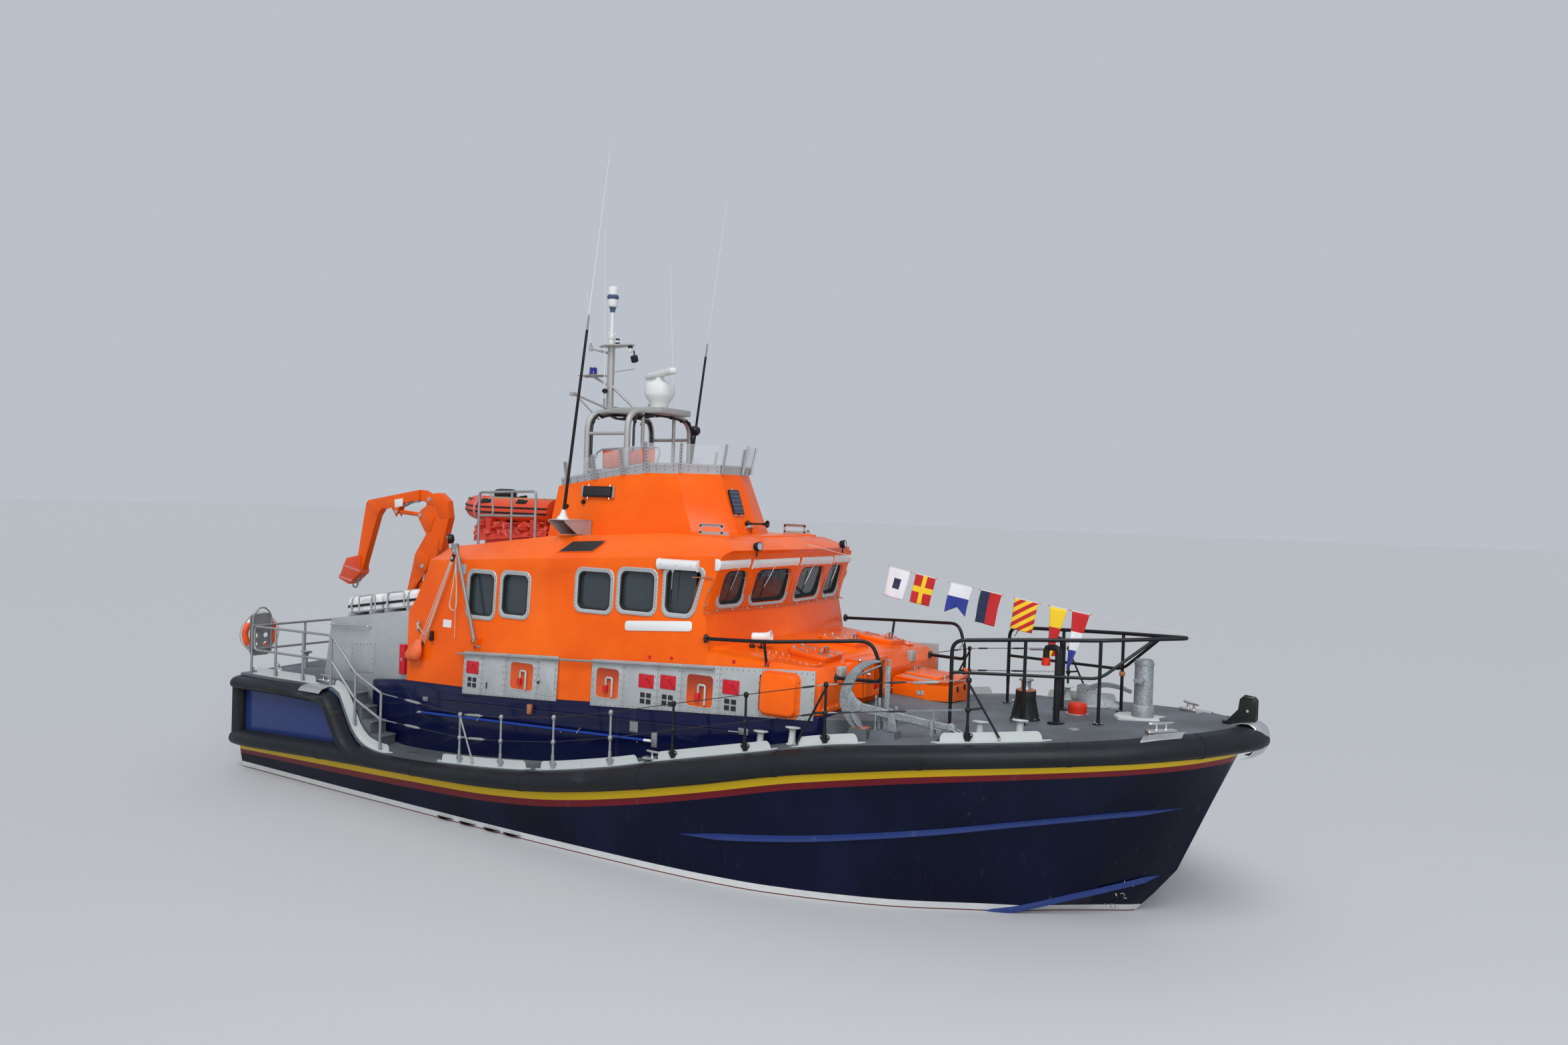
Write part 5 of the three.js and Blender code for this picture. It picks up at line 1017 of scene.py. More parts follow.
def line_tree(name, sizes, nodes, settings, values, links):
    """Geometry nodes that set copies of one thing along lines, at an even spacing."""
    tree = bpy.data.node_groups.new(name, "GeometryNodeTree")
    tree.interface.new_socket("Geometry", in_out="INPUT", socket_type="NodeSocketGeometry")
    for label in ("Spacing", *sizes):
        tree.interface.new_socket(label, in_out="INPUT", socket_type="NodeSocketFloat")
    tree.interface.new_socket("Metal", in_out="INPUT", socket_type="NodeSocketMaterial")
    tree.interface.new_socket("Geometry", in_out="OUTPUT", socket_type="NodeSocketGeometry")
    made = {label: tree.nodes.new(kind) for label, kind in LINE_NODES + nodes}
    for label, setting, value in (("even", "mode", "LENGTH"), *settings):
        setattr(made[label], setting, value)
    for label, socket, value in values:
        made[label].inputs[socket].default_value = value
    for source, out, target, into in LINE_LINKS + links:
        tree.links.new(made[source].outputs[out], made[target].inputs[into])
    return tree


def grown(name, tree, lines, values, finish, facing=()):
    """The piece that a tree of nodes grows on lines of points, which may carry a way to face."""
    spots, joins = [], []
    for points in lines:
        start = len(spots)
        spots += [tuple(p) for p in points]
        joins += [(k, k + 1) for k in range(start, len(spots) - 1)]
    mesh = bpy.data.meshes.new(name)
    mesh.from_pydata(spots, joins, [])
    if facing:
        ways = mesh.attributes.new("facing", "FLOAT_VECTOR", "POINT")
        ways.data.foreach_set("vector", [part for way in facing for part in way])
    holder = bpy.data.objects.new(name, mesh)
    bpy.context.scene.collection.objects.link(holder)
    modifier = holder.modifiers.new(name, "NODES")
    modifier.node_group = tree
    sockets = {s.name: s.identifier for s in tree.interface.items_tree if s.in_out == "INPUT"}
    for label, value in {**values, "Metal": finish.material}.items():
        modifier[sockets[label]] = value
    made = bpy.data.meshes.new_from_object(holder.evaluated_get(bpy.context.evaluated_depsgraph_get()))
    bpy.data.objects.remove(holder)
    made.materials.clear()
    return fitted(name, made, [finish])


studs_on_lines = line_tree(
    "studs along lines", ("Radius", "Height"),
    (("facing", "GeometryNodeInputNamedAttribute"), ("shank", "GeometryNodeMeshCone"),
     ("half", "ShaderNodeMath")),
    (("facing", "data_type", "FLOAT_VECTOR"), ("turn", "axis", "Z"), ("half", "operation", "MULTIPLY")),
    (("facing", "Name", "facing"), ("shank", "Vertices", 8), ("half", 1, 0.62)),
    (("facing", "Attribute", "turn", "Vector"), ("turn", "Rotation", "place", "Rotation"),
     ("start", "Radius", "shank", "Radius Bottom"), ("start", "Radius", "half", 0),
     ("half", 0, "shank", "Radius Top"), ("start", "Height", "shank", "Depth"),
     ("shank", "Mesh", "place", "Instance")))


def studs(name, lines, spacing, radius, height, finish):
    """Bolt heads along (points, facing) lines."""
    return grown(name, studs_on_lines, [points for points, _ in lines],
                 {"Spacing": spacing, "Radius": radius, "Height": height}, finish,
                 [facing for points, facing in lines for _ in points])


def rounded(width, height, radius, each=6, slant=0.0):
    """A rounded rectangle in its own plane, centred; slant pushes the upper right corner out."""
    loop = []
    for cx, cy, start in ((1, 1, 0), (-1, 1, 90), (-1, -1, 180), (1, -1, 270)):
        for k in range(each + 1):
            turn = math.radians(start + 90 * k / each)
            u = cx * (width / 2 - radius) + radius * math.cos(turn)
            v = cy * (height / 2 - radius) + radius * math.sin(turn)
            loop.append((u + (slant * (v / height + 0.5) if cx > 0 else 0), v))
    return loop


class Spot:
    """A flat place on the boat: u along, v up and w out of it, in metres."""

    def __init__(self, centre, along, up):
        self.centre = Vector(centre)
        self.along = Vector(along).normalized()
        self.up = Vector(up).normalized()
        self.out = self.along.cross(self.up).normalized()

    def flipped(self):
        self.out.negate()
        return self

    def __call__(self, u, v, w=0.0):
        return self.centre + self.along * u + self.up * v + self.out * w

    def path(self, points):
        return [self(*point) for point in points]

    def lay(self, outline, w=0.0, u=0.0, v=0.0):
        """The outline's points, laid on the place with their middle at u and v."""
        return [self(u + a, v + b, w) for a, b in outline]

    def matrix(self):
        return Matrix((self.along, self.up, self.out)).transposed()


def side_spot(x, z, side=-1, proud=0.0):
    made = Spot(wall_spot(x, z, side, proud), (1, 0, 0), (0, -side * WALL_LEAN, 1))
    return made if made.out.y * side > 0 else made.flipped()


def swollen(outline, grow):
    """The outline with each point moved out from the middle by grow, or in if it is negative."""
    return [(u * (1 + grow / math.hypot(u, v)), v * (1 + grow / math.hypot(u, v))) for u, v in outline]


def ring_frame(shape, spot, outline, band, proud, depth):
    """A flat frame round an opening, with a rounded outer edge and a lip that runs into it."""
    rings = []
    for u, v in outline:
        length = math.hypot(u, v)
        inner = 1 - band / length
        rings.append([spot(u, v, 0), spot(u * (1 - 0.002 / length), v * (1 - 0.002 / length), proud * 0.7),
                      spot(u * (1 - 0.008 / length), v * (1 - 0.008 / length), proud),
                      spot(u * (inner + 0.014 / length), v * (inner + 0.014 / length), proud),
                      spot(u * inner, v * inner, proud * 0.6), spot(u * inner, v * inner, -depth)])
    shape.skin(rings, along=True)


# Windows
# Toughened panes in alloy frames that are studded to the wall, with black rubber inside.
# They don't open. White blind boxes hang over the forward ones, each with a wiper and a wash pipe.
pane = Finish("tinted glass", (0.11, 0.15, 0.17), 0.04, transmission_weight=0.75, ior=1.5)
pane.wear(pane.noise(5, 4) * 0.05 + 0.015, "Roughness")
for node in ("glazing_starboard", "glazing_port", "glazing_front"):
    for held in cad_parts[node].material_slots:
        held.material = pane.material
gasket = Finish("black window rubber", (0.012, 0.012, 0.013), 0.6)
gasket.bumped(gasket.noise(60), 0.001)
frame_alloy = bare_metal("window frame alloy", (0.47, 0.49, 0.49), 0.42, 0.45, 0.18)

SIDE_LIGHTS = [(-3.10, 0.55, 3.19, 3.89), (-2.37, 0.55, 3.26, 3.91), (-0.82, 0.65, 3.47, 4.05),
               (-0.01, 0.65, 3.51, 4.10)]
CORNER_LIGHT = {"x": 1.06, "foot": 3.53, "head": 4.17, "width": 0.46, "slant": 0.20}
FRONT_LIGHTS = [(0.575, 0.88), (1.49, 0.54)]
FRONT = {"x": 1.775, "z": 3.93, "sweep": 0.082, "lean": 12.8, "turn": 4.69, "height": 0.52}
BAND, MARGIN = 0.075, 0.055

lights = []
for side in (-1, 1):
    for x, width, foot, head in SIDE_LIGHTS:
        lights.append((side_spot(x + width / 2, (foot + head) / 2, side), width, head - foot, 0))
    corner = CORNER_LIGHT
    lights.append((side_spot(corner["x"], (corner["foot"] + corner["head"]) / 2, side), corner["width"],
                   corner["head"] - corner["foot"], corner["slant"]))
front_spots = []
for side in (-1, 1):
    sweep = Matrix.Rotation(math.radians(side * FRONT["turn"]), 3, "Z")
    lean = math.radians(FRONT["lean"])
    for y, width in FRONT_LIGHTS:
        made = Spot((FRONT["x"] - FRONT["sweep"] * y, side * y, FRONT["z"]), sweep @ Vector((0, 1, 0)),
                    sweep @ Vector((math.sin(lean), 0, math.cos(lean))))
        front_spots.append((made, width, side))
        lights.append((made, width, FRONT["height"], 0))

surrounds = Shape(frame_alloy)
seals = Shape(gasket)
stud_lines = []
for spot, width, height, slant in lights:
    outline = rounded(width + 2 * MARGIN, height + 2 * MARGIN, 0.14, 7, slant)
    ring_frame(surrounds, spot, outline, BAND, 0.016, 0.02)
    lip = rounded(width - 0.035, height - 0.035, 0.10, 7, slant)
    ring_frame(seals, spot, lip, 0.018, 0.006, 0.055)
    line = spot.lay(swollen(outline, -0.026), 0.0185)
    stud_lines.append((line + line[:1], spot.out))
surrounds.make("window_frames", slot="alloy")
seals.make("window_seals", slot="black_paint")
studs("window_studs", stud_lines, 0.055, 0.0085, 0.009, stainless)

white_box = sprayed("white enamel", (0.70, 0.71, 0.70), 0.3, grime=(0.30, 0.29, 0.27), streaks=0.35,
                    coat_weight=0.2)
BOX = [(0.0, -0.115), (0.055, -0.12), (0.085, -0.075), (0.09, -0.03), (0.075, 0.012), (0.03, 0.03),
       (0.0, 0.03)]


def blind_box(shape, start, end, out):
    """A folded case with end plates, from start to end, that stands out of the wall."""
    start, end, out = Vector(start), Vector(end), Vector(out).normalized()
    run = (end - start).normalized()
    up = Vector((0, 0, 1))
    shape.paint(white_box).skin([[p + out * o + up * r for o, r in BOX] for p in (start, end)])
    for p in (start - run * 0.006, end - run * 0.008):
        shape.plate([p + out * (o * 1.12 - 0.004) + up * (r * 1.12 + 0.002) for o, r in BOX], run * 0.014,
                    0.002)
    for share in (0.12, 0.5, 0.88):
        spot = start.lerp(end, share)
        shape.paint(stainless).turned([(0.008, 0), (0.007, 0.006)], spot + out * 0.086 + up * -0.05, out,
                                      10)


boxes = Shape(white_box)
for side in (-1, 1):
    blind_box(boxes, (0.72, side * 1.975, 4.28), (1.40, side * 1.965, 4.28), (0, side, 0.05))
    for near, far in ((0.06, 1.19), (1.29, 1.97)):
        sweep_x = 1.842
        blind_box(boxes, (sweep_x - 0.082 * near, side * near, 4.335),
                  (sweep_x - 0.082 * far, side * far, 4.315), (1, 0, 0.1))
boxes.make("blind_boxes", slot="white_paint")

wipers = Shape(black_iron)
for spot, width, side in front_spots:
    hub = spot(-0.06 if width > 0.6 else 0.0, FRONT["height"] / 2 + 0.03, 0.02)
    wipers.paint(stainless).turned([(0.028, 0), (0.026, 0.03), (0.014, 0.04)], hub, spot.out, 18)
    foot = spot(-0.22 if width > 0.6 else -0.1, -0.02, 0.035)
    wipers.tube([hub + spot.out * 0.032, hub.lerp(foot, 0.5) + spot.out * 0.03, foot + spot.out * 0.012],
                0.0055, 8)
    blade_turn = spot.along * -0.03
    head, tail = foot + spot.up * 0.22 - blade_turn, foot - spot.up * 0.20 + blade_turn
    wipers.paint(black_iron).tube([head, head.lerp(tail, 0.5) + spot.out * 0.006, tail], 0.008, 8)
    for side_share in (0.2, 0.8):
        wipers.tube([foot + spot.out * 0.012, head.lerp(tail, side_share) + spot.out * 0.006], 0.0045, 6)
for side in (-1, 1):
    spot = side_spot(1.0, 4.14, side)
    wipers.paint(stainless).turned([(0.024, 0), (0.022, 0.03)], spot(-0.03, 0, 0.016), spot.out, 16)
    wipers.tube(spot.path([(-0.03, 0, 0.045), (-0.035, -0.26, 0.035)]), 0.0055, 8)
    wipers.paint(black_iron).tube(spot.path([(-0.03, -0.06, 0.028), (-0.045, -0.48, 0.028)]), 0.008, 8)
wipers.make("wipers", slot="black_paint")

copper = Finish("painted wash pipe", (0.52, 0.17, 0.06), 0.38, 0.3)
copper.wear(copper.mixed((0.62, 0.20, 0.08), (0.35, 0.14, 0.07), copper.noise(9, 4)), "Base Color")
pipes = Shape(copper)


def front_at(y, z, proud=0.03):
    """A point on the sloped front of the house."""
    lean = math.tan(math.radians(FRONT["lean"]))
    return Vector((1.70 - FRONT["sweep"] * abs(y) + (z - 3.60) * lean + proud, y, z))


PIPE_CORNER = ((1.60, 3.575), (1.53, 3.60), (1.56, 3.80), (1.67, 4.02), (1.665, 4.075), (1.62, 4.09),
               (1.30, 4.07))
for side in (-1, 1):
    run = [front_at(side * y, 3.585 + 0.01 * y, 0.022) for y in (0.04, 0.35, 0.75, 1.18, 1.6, 1.86)]
    pipes.tube(run + [wall_spot(x, z, side, 0.022) for x, z in PIPE_CORNER], 0.0085, 8)
    for y, top, reach in ((1.165, 4.06, 0.16), (0.06, 4.09, 0.2)):
        pipes.tube([front_at(side * y, 3.59), front_at(side * y, 3.7), front_at(side * y, top - 0.03),
                    front_at(side * (y + 0.02), top), front_at(side * (y + reach), top, 0.045)], 0.0075, 8)
    for y in (0.3, 0.7, 1.05, 1.4, 1.75):
        pipes.paint(stainless).block(front_at(side * y, 3.588 + 0.01 * y, 0.018), (0.02, 0.035, 0.035),
                                     edge=0.004)
    for x, z in ((1.545, 3.70), (1.60, 3.90)):
        pipes.block(wall_spot(x, z, side, 0.015), (0.035, 0.024, 0.02), edge=0.004)
    pipes.paint(copper)
pipes.make("wash_pipes", slot="bronze")

# Side panels
# Bare alloy closing plates are bolted over the tank spaces, with cut-outs for the fire pumps, vents
# with lift-up red flaps and a padlocked door. An orange moulded cover closes the forward end.
plate_alloy = bare_metal("side panel alloy", (0.43, 0.45, 0.45), 0.5, 0.35, 0.2)
flap_red = sprayed("red flap", (0.52, 0.012, 0.022), 0.4, streaks=0.15)
panel_edge = Shape(plate_alloy)
bolt_lines = []
PANELS = [
    {"aft": -3.09, "fore": -1.09, "foot": (1.93, 2.04), "top": (2.61, 2.72),
     "seams": (-2.69, -2.17, -1.50)},
    {"aft": -0.42, "fore": 3.38, "foot": (2.06, 2.31), "top": (2.75, 2.96),
     "seams": (0.18, 0.80, 1.22, 1.87, 2.555)},
]
PANEL_PROUD = 0.036


def panel_line(panel, x):
    share = (x - panel["aft"]) / (panel["fore"] - panel["aft"])
    low = panel["foot"][0] + share * (panel["foot"][1] - panel["foot"][0])
    high = panel["top"][0] + share * (panel["top"][1] - panel["top"][0])
    return low, high


OPENINGS = [(-1.815, 0.47, 0.41, 2.345), (-0.105, 0.42, 0.43, 2.425), (1.55, 0.44, 0.44, 2.50)]
VENTS = [(-2.88, 2.375, 2.135), (0.61, 2.535, 2.285), (1.00, 2.56, 2.30), (2.07, 2.61, 2.365)]
for side in (-1, 1):
    for panel in PANELS:
        ends = [panel["aft"], *panel["seams"], panel["fore"]]
        for near, far in zip(ends, ends[1:]):
            corners = []
            for x, high in ((near + 0.002, 0), (far - 0.002, 0), (far - 0.002, 1), (near + 0.002, 1)):
                corners.append(wall_spot(x, panel_line(panel, x)[high], side, 0.012))
            panel_edge.plate(corners, wall_way(side) * (PANEL_PROUD - 0.012), 0.004)
            for inset, ends_z in ((0.028, 1), (-0.028, 0)):
                row = [wall_spot(x, panel_line(panel, x)[ends_z] - inset, side, PANEL_PROUD + 0.003)
                       for x in (near + 0.03, far - 0.03)]
                bolt_lines.append((row, wall_way(side)))
            for x in (near + 0.03, far - 0.03):
                low, high = panel_line(panel, x)
                row = [wall_spot(x, low + 0.10, side, PANEL_PROUD + 0.003),
                       wall_spot(x, high - 0.10, side, PANEL_PROUD + 0.003)]
                bolt_lines.append((row, wall_way(side)))
panel_edge.make("closing_plates", replaces=["side_panels_starboard", "side_panels_port"], slot="alloy")
studs("closing_plate_bolts", bolt_lines, 0.085, 0.0105, 0.011, stainless)

recess_shade = Finish("shaded recess", (0.42, 0.045, 0.003), 0.45)
inner_light = recess_shade.mixed((0.62, 0.075, 0.003), (0.26, 0.022, 0.002),
                                 recess_shade.axis("Z").eased(2.30, 2.72))
recess_shade.wear(recess_shade.mixed(inner_light, (0.20, 0.03, 0.01),
                                     recess_shade.noise(9, 4).eased(0.6, 0.85)),
                  "Base Color").wear(recess_shade.noise(6, 3) * 0.2 + 0.35, "Roughness")
fittings = Shape(plate_alloy)
for side in (-1, 1):
    for x, width, height, z in OPENINGS:
        spot = side_spot(x, z, side, PANEL_PROUD)
        fittings.paint(recess_shade)
        fittings.plate(spot.lay(rounded(width, height, 0.05), 0.001), spot.out * 0.002)
        ring_frame(fittings.paint(plate_alloy), spot, rounded(width + 0.04, height + 0.04, 0.07), 0.024,
                   0.007, 0.0)
        fittings.paint(plate_alloy).tube(spot.path([
            (-0.01, -0.06, 0.022), (-0.01, 0.07, 0.024), (0.0, 0.085, 0.024), (0.09, 0.085, 0.024),
            (0.105, 0.07, 0.024), (0.105, -0.19, 0.022)]), 0.018, 12)
        fittings.paint(flap_red).turned([(0.0, 0), (0.034, 0.002), (0.036, 0.07), (0.03, 0.10),
                                         (0.02, 0.105)], spot(-0.01, -0.13, 0.034), spot.up, 18)
    for x, flap, vent_z in VENTS:
        spot = side_spot(x, vent_z, side, PANEL_PROUD)
        # The four dark squares behind each flap are painted shade in the vent openings.
        fittings.paint(hole_shade)
        for u in (-0.055, 0.055):
            for v in (-0.045, 0.045):
                fittings.plate(spot.lay(rounded(0.085, 0.07, 0.008, 3), 0.0005, u, v), spot.out * 0.002)
                fittings.paint(plate_alloy).plate(
                    spot.lay(rounded(0.09, 0.006, 0.002, 2), 0.001, u, v - 0.037), spot.out * 0.006)
                fittings.paint(hole_shade)
        spot = side_spot(x, flap, side, PANEL_PROUD)
        fittings.paint(flap_red).plate(spot.lay(rounded(0.27, 0.20, 0.012, 3), 0.004), spot.out * 0.006,
                                       0.002)
        fittings.paint(stainless).tube(spot.path([(-0.11, 0.10, 0.007), (0.11, 0.10, 0.007)]), 0.006, 8)
        fittings.turned([(0.008, 0), (0.006, 0.018)], spot(0, 0.06, 0.01), spot.out, 8)
        fittings.paint(black_iron).tube(spot.path([
            (0, 0.06, 0.022), (0.03, 0.02, 0.016), (0.09, -0.04, 0.013), (0.13, -0.10, 0.012)]), 0.003, 6)
    spot = side_spot(-1.29, 2.37, side, PANEL_PROUD)
    fittings.paint(plate_alloy).plate(spot.lay(rounded(0.31, 0.54, 0.03), 0), spot.out * 0.008, 0.003)
    fittings.paint(stainless).block(spot(-0.155, -0.04, 0.02), (0.06, 0.03, 0.02), spot.matrix(), 0.004)
    fittings.tube(spot.path([(-0.175, -0.05, 0.026), (-0.18, -0.01, 0.03), (-0.155, 0.0, 0.03),
                   (-0.14, -0.04, 0.03)]), 0.005, 8)
    fittings.paint(black_iron).block(spot(-0.155, -0.08, 0.028), (0.03, 0.04, 0.016), spot.matrix(), 0.004)
    spot = side_spot(-2.55, 2.12, side, PANEL_PROUD)
    fittings.block(spot(0, 0, 0.008), (0.014, 0.10, 0.016), spot.matrix(), 0.004)
    spot = side_spot(2.58, 2.60, side, PANEL_PROUD)
    fittings.paint(dark_red).plate(spot.lay(rounded(0.10, 0.47, 0.012, 3), 0.002), spot.out * 0.006, 0.002)
    fittings.paint(black_iron).tube(spot.path([(-0.03, 0.18, 0.012), (0.0, 0.1, 0.014), (-0.05, 0.0, 0.014),
                                     (0.01, -0.08, 0.014), (-0.04, -0.17, 0.012)]), 0.004, 6)
    for x in (-2.9, 0.62, 1.01, 2.07, 2.62):
        panel = PANELS[0] if x < -1 else PANELS[1]
        spot = side_spot(x, panel_line(panel, x)[1] + 0.07, side)
        fittings.paint(flap_red).turned([(0.026, 0), (0.026, 0.006), (0.018, 0.008), (0.010, 0.004)],
                                        spot(0, 0), spot.out, 18)
fittings.make("panel_fittings", slot="alloy")

cover = Shape(orange)
cover_bolts = []
for side in (-1, 1):
    spot = side_spot(2.86, 2.60, side, PANEL_PROUD - 0.004)
    outline = rounded(0.62, 0.62, 0.11, 8)
    rows = []
    for grow, rise in ((0.0, 0.0), (0.0, 0.014), (-0.004, 0.018), (-0.036, 0.02), (-0.042, 0.026),
                       (-0.046, 0.088), (-0.058, 0.104), (-0.08, 0.11)):
        rows.append(spot.lay(swollen(outline, grow), rise))
    cover.skin(rows)
    row = spot.lay(swollen(outline, -0.018), 0.022)
    cover_bolts.append((row + row[:1], spot.out))
cover.make("side_box_cover", slot="orange_paint", crease=40)
studs("side_box_cover_bolts", cover_bolts, 0.11, 0.011, 0.010, stainless)

# White boards and coaming fittings
# A plain white board lies on the house's side. A blue pole lies in clips along the coaming with a
# bronze step, a small alloy plate and a filler valve.
board = Shape(white_box)
trim = Shape(stainless)
for side in (-1, 1):
    spot = side_spot(0.735, 3.335, side)
    turn = 0.075
    board.plate([spot(u, v + u * turn, 0.001) for u, v in rounded(1.20, 0.145, 0.05)], spot.out * 0.009,
                0.003)
    bar = [wall_spot(x, 1.48 + (x + 4.17) * 0.0323, side, -0.035) for x in (-4.12, -2.8, -1.2, 0.44)]
    trim.paint(pale_blue_and_glare).tube(bar, 0.021, 14)
    trim.paint(stainless)
    for x in (-4.15, -2.78, -1.0, 0.47):
        spot = side_spot(x, 1.48 + (x + 4.17) * 0.0323, side, -0.07)
        trim.turned([(0.035, 0), (0.03, 0.008), (0.014, 0.014), (0.012, 0.034)], spot(0, 0), spot.out, 16)
        trim.tube(spot.path([(-0.012, -0.03, 0.035), (0.0, 0.0, 0.062), (0.02, 0.035, 0.035)]), 0.007, 8)
    spot = side_spot(-1.73, 1.825, side, -0.07)
    trim.paint(copper)
    for u, v, width, tall in ((0.0, 0.055, 0.19, 0.05), (-0.03, 0.0, 0.12, 0.06), (0.0, -0.055, 0.19, 0.05),
                              (0.07, 0, 0.05, 0.15)):
        trim.block(spot(u, v, 0.015), (width, tall, 0.035), spot.matrix(), 0.006)
    spot = side_spot(0.325, 1.82, side, -0.07)
    trim.paint(plate_alloy).plate(spot.lay(rounded(0.21, 0.16, 0.025)), spot.out * 0.008, 0.003)
    spot = side_spot(0.62, 1.69, side, -0.07)
    trim.paint(galvanised).plate(spot.lay(rounded(0.14, 0.19, 0.04)), spot.out * 0.05, 0.012, 3)
    trim.turned([(0.02, 0), (0.02, 0.05), (0.032, 0.05), (0.03, 0.075)], spot(0.06, 0.02, 0.02), (1, 0, 0),
                14)
board.make("name_board", slot="white_paint")
trim.make("coaming_fittings", slot="stainless")

# Flying bridge
# A bolted alloy band runs round the rim of the tub, with drilled angle brackets that lean out and
# hold clear screens. Inside, a laced weather cloth closes the after corner.
RIM = [(-2.06, 1.02, 5.33), (-0.34, 1.02, 5.60), (0.16, 0.90, 5.60), (0.64, 0.42, 5.60), (0.74, 0.0, 5.60)]
RIM_LINE = [Vector((x, -y, z)) for x, y, z in RIM] + [Vector(p) for p in RIM[-2::-1]]
BAND_HIGH, LEAN_OUT = 0.125, 0.21


def rim_normals():
    ways = []
    for i, point in enumerate(RIM_LINE):
        before = RIM_LINE[max(i - 1, 0)]
        after = RIM_LINE[min(i + 1, len(RIM_LINE) - 1)]
        first = (point - before).normalized() if i else (after - point).normalized()
        second = (after - point).normalized() if i < len(RIM_LINE) - 1 else first
        run = (first + second).normalized()
        flat = Vector((run.y, -run.x, 0)).normalized()
        ways.append(flat / max(0.6, math.sqrt((1 + first.dot(second)) / 2)))
    return ways


band = Shape(casing_alloy)
rows = []
for point, way in zip(RIM_LINE, rim_normals()):
    rows.append([point + way * o + Vector((0, 0, h)) for o, h in (
        (-0.006, -0.035), (0.006, -0.035), (0.008, 0.0), (0.008 + BAND_HIGH * LEAN_OUT, BAND_HIGH),
        (-0.030, BAND_HIGH + 0.004), (-0.030, BAND_HIGH - 0.004),
        (BAND_HIGH * LEAN_OUT, BAND_HIGH - 0.008), (0.0, 0.0))])
band.skin(rows)
band.make("rim_band", replaces=["flybridge_windbreak"], slot="alloy", crease=20)

perspex = Finish("clear screen", (0.62, 0.70, 0.74), 0.08, alpha=0.20)
perspex.wear(perspex.noise(6, 5).eased(0.35, 0.8) * 0.22 + 0.03, "Roughness")
screens, brackets = Shape(perspex), Shape(casing_alloy)
bracket_marks = []
for leg in range(len(RIM_LINE) - 1):
    a, b = RIM_LINE[leg], RIM_LINE[leg + 1]
    run = (b - a).normalized()
    flat = Vector((run.y, -run.x, 0)).normalized()
    high = [0.34, 0.42] if leg == 0 else ([0.42, 0.34] if leg == len(RIM_LINE) - 2 else [0.43, 0.43])
    up = [Vector((0, 0, h)) + flat * (LEAN_OUT * h + 0.014) for h in high]
    low = Vector((0, 0, 0.09)) + flat * (LEAN_OUT * 0.09 + 0.014)
    inset = run * 0.02
    screens.plate([a + low + inset, b + low - inset, b + up[1] - inset, a + up[0] + inset], flat * 0.006)
    count = 3 if leg in (0, len(RIM_LINE) - 2) else 1
    for k in range(count):
        share = (k + 0.28) / count if count > 1 else 0.08
        spot = a.lerp(b, share)
        tall = high[0] + (high[1] - high[0]) * share + 0.02
        tip = Vector((0, 0, tall)) + flat * LEAN_OUT * tall
        for wide, deep, push in ((0.05, 0.006, 0.022), (0.006, 0.045, 0.022)):
            near = spot + flat * push - run * 0.025
            brackets.plate([near, near + run * wide, near + run * wide + flat * deep, near + flat * deep],
                           tip)
        bracket_marks.append(([spot + flat * 0.029 + tip * s for s in (0.12, 0.9)], flat))
screens.make("clear_screens", slot="glazing")
brackets.make("screen_brackets", slot="alloy")
row_lines = []
for leg in range(len(RIM_LINE) - 1):
    a, b = RIM_LINE[leg], RIM_LINE[leg + 1]
    run = (b - a).normalized()
    flat = Vector((run.y, -run.x, 0)).normalized()
    for high in (0.03, 0.09):
        lift = Vector((0, 0, high)) + flat * (0.012 + LEAN_OUT * high)
        row_lines.append(([a + lift + run * 0.04, b + lift - run * 0.04],
                          (flat + Vector((0, 0, -0.2))).normalized()))
studs("rim_band_bolts", row_lines, 0.14, 0.011, 0.008, galvanised)
# The bracket holes are dark discs, painted shade in the drilled holes.
studs("bracket_holes", bracket_marks, 0.045, 0.009, 0.004, hole_shade)

cloth_orange = Finish("orange proofed cloth", (0.62, 0.085, 0.012), 0.55)
woven = cloth_orange.noise(3, 4).eased(0.3, 0.75)
cloth_orange.wear(cloth_orange.mixed((0.48, 0.055, 0.010), (0.74, 0.13, 0.03), woven), "Base Color")
cloth_orange.wear(cloth_orange.noise(9, 4) * 0.2 + 0.42, "Roughness")
cloth_orange.bumped(cloth_orange.noise(300, 2) * 0.3 + cloth_orange.noise(9, 3), 0.004, 0.6)
CLOTH = {"aft": -1.42, "fore": -0.36, "foot": 5.62, "head": 5.93, "y": -0.78}


def grid_mesh(name, points, columns, rows):
    """A mesh over rows of points, each of which has one more point than there are columns."""
    faces = []
    for j in range(rows):
        for i in range(columns):
            k = j * (columns + 1) + i
            faces.append((k, k + 1, k + columns + 2, k + columns + 1))
    mesh = bpy.data.meshes.new(name)
    mesh.from_pydata(points, [], faces)
    return mesh


def cloth_panel():
    """A laced cloth that bellies a little between its hems."""
    columns, rows = 28, 9
    points = []
    for j in range(rows + 1):
        for i in range(columns + 1):
            s, t = i / columns, j / rows
            sag = 0.014 * math.sin(math.pi * s) * (t ** 2)
            belly = (0.028 * math.sin(math.pi * s) * math.sin(math.pi * t)
                     + 0.006 * math.sin(9 * s + 2 * t) * math.sin(math.pi * t))
            points.append((CLOTH["aft"] + (CLOTH["fore"] - CLOTH["aft"]) * s, CLOTH["y"] - belly,
                           CLOTH["foot"] + (CLOTH["head"] - CLOTH["foot"]) * t - sag + 0.04 * s))
    return grid_mesh("weather_cloth", points, columns, rows)


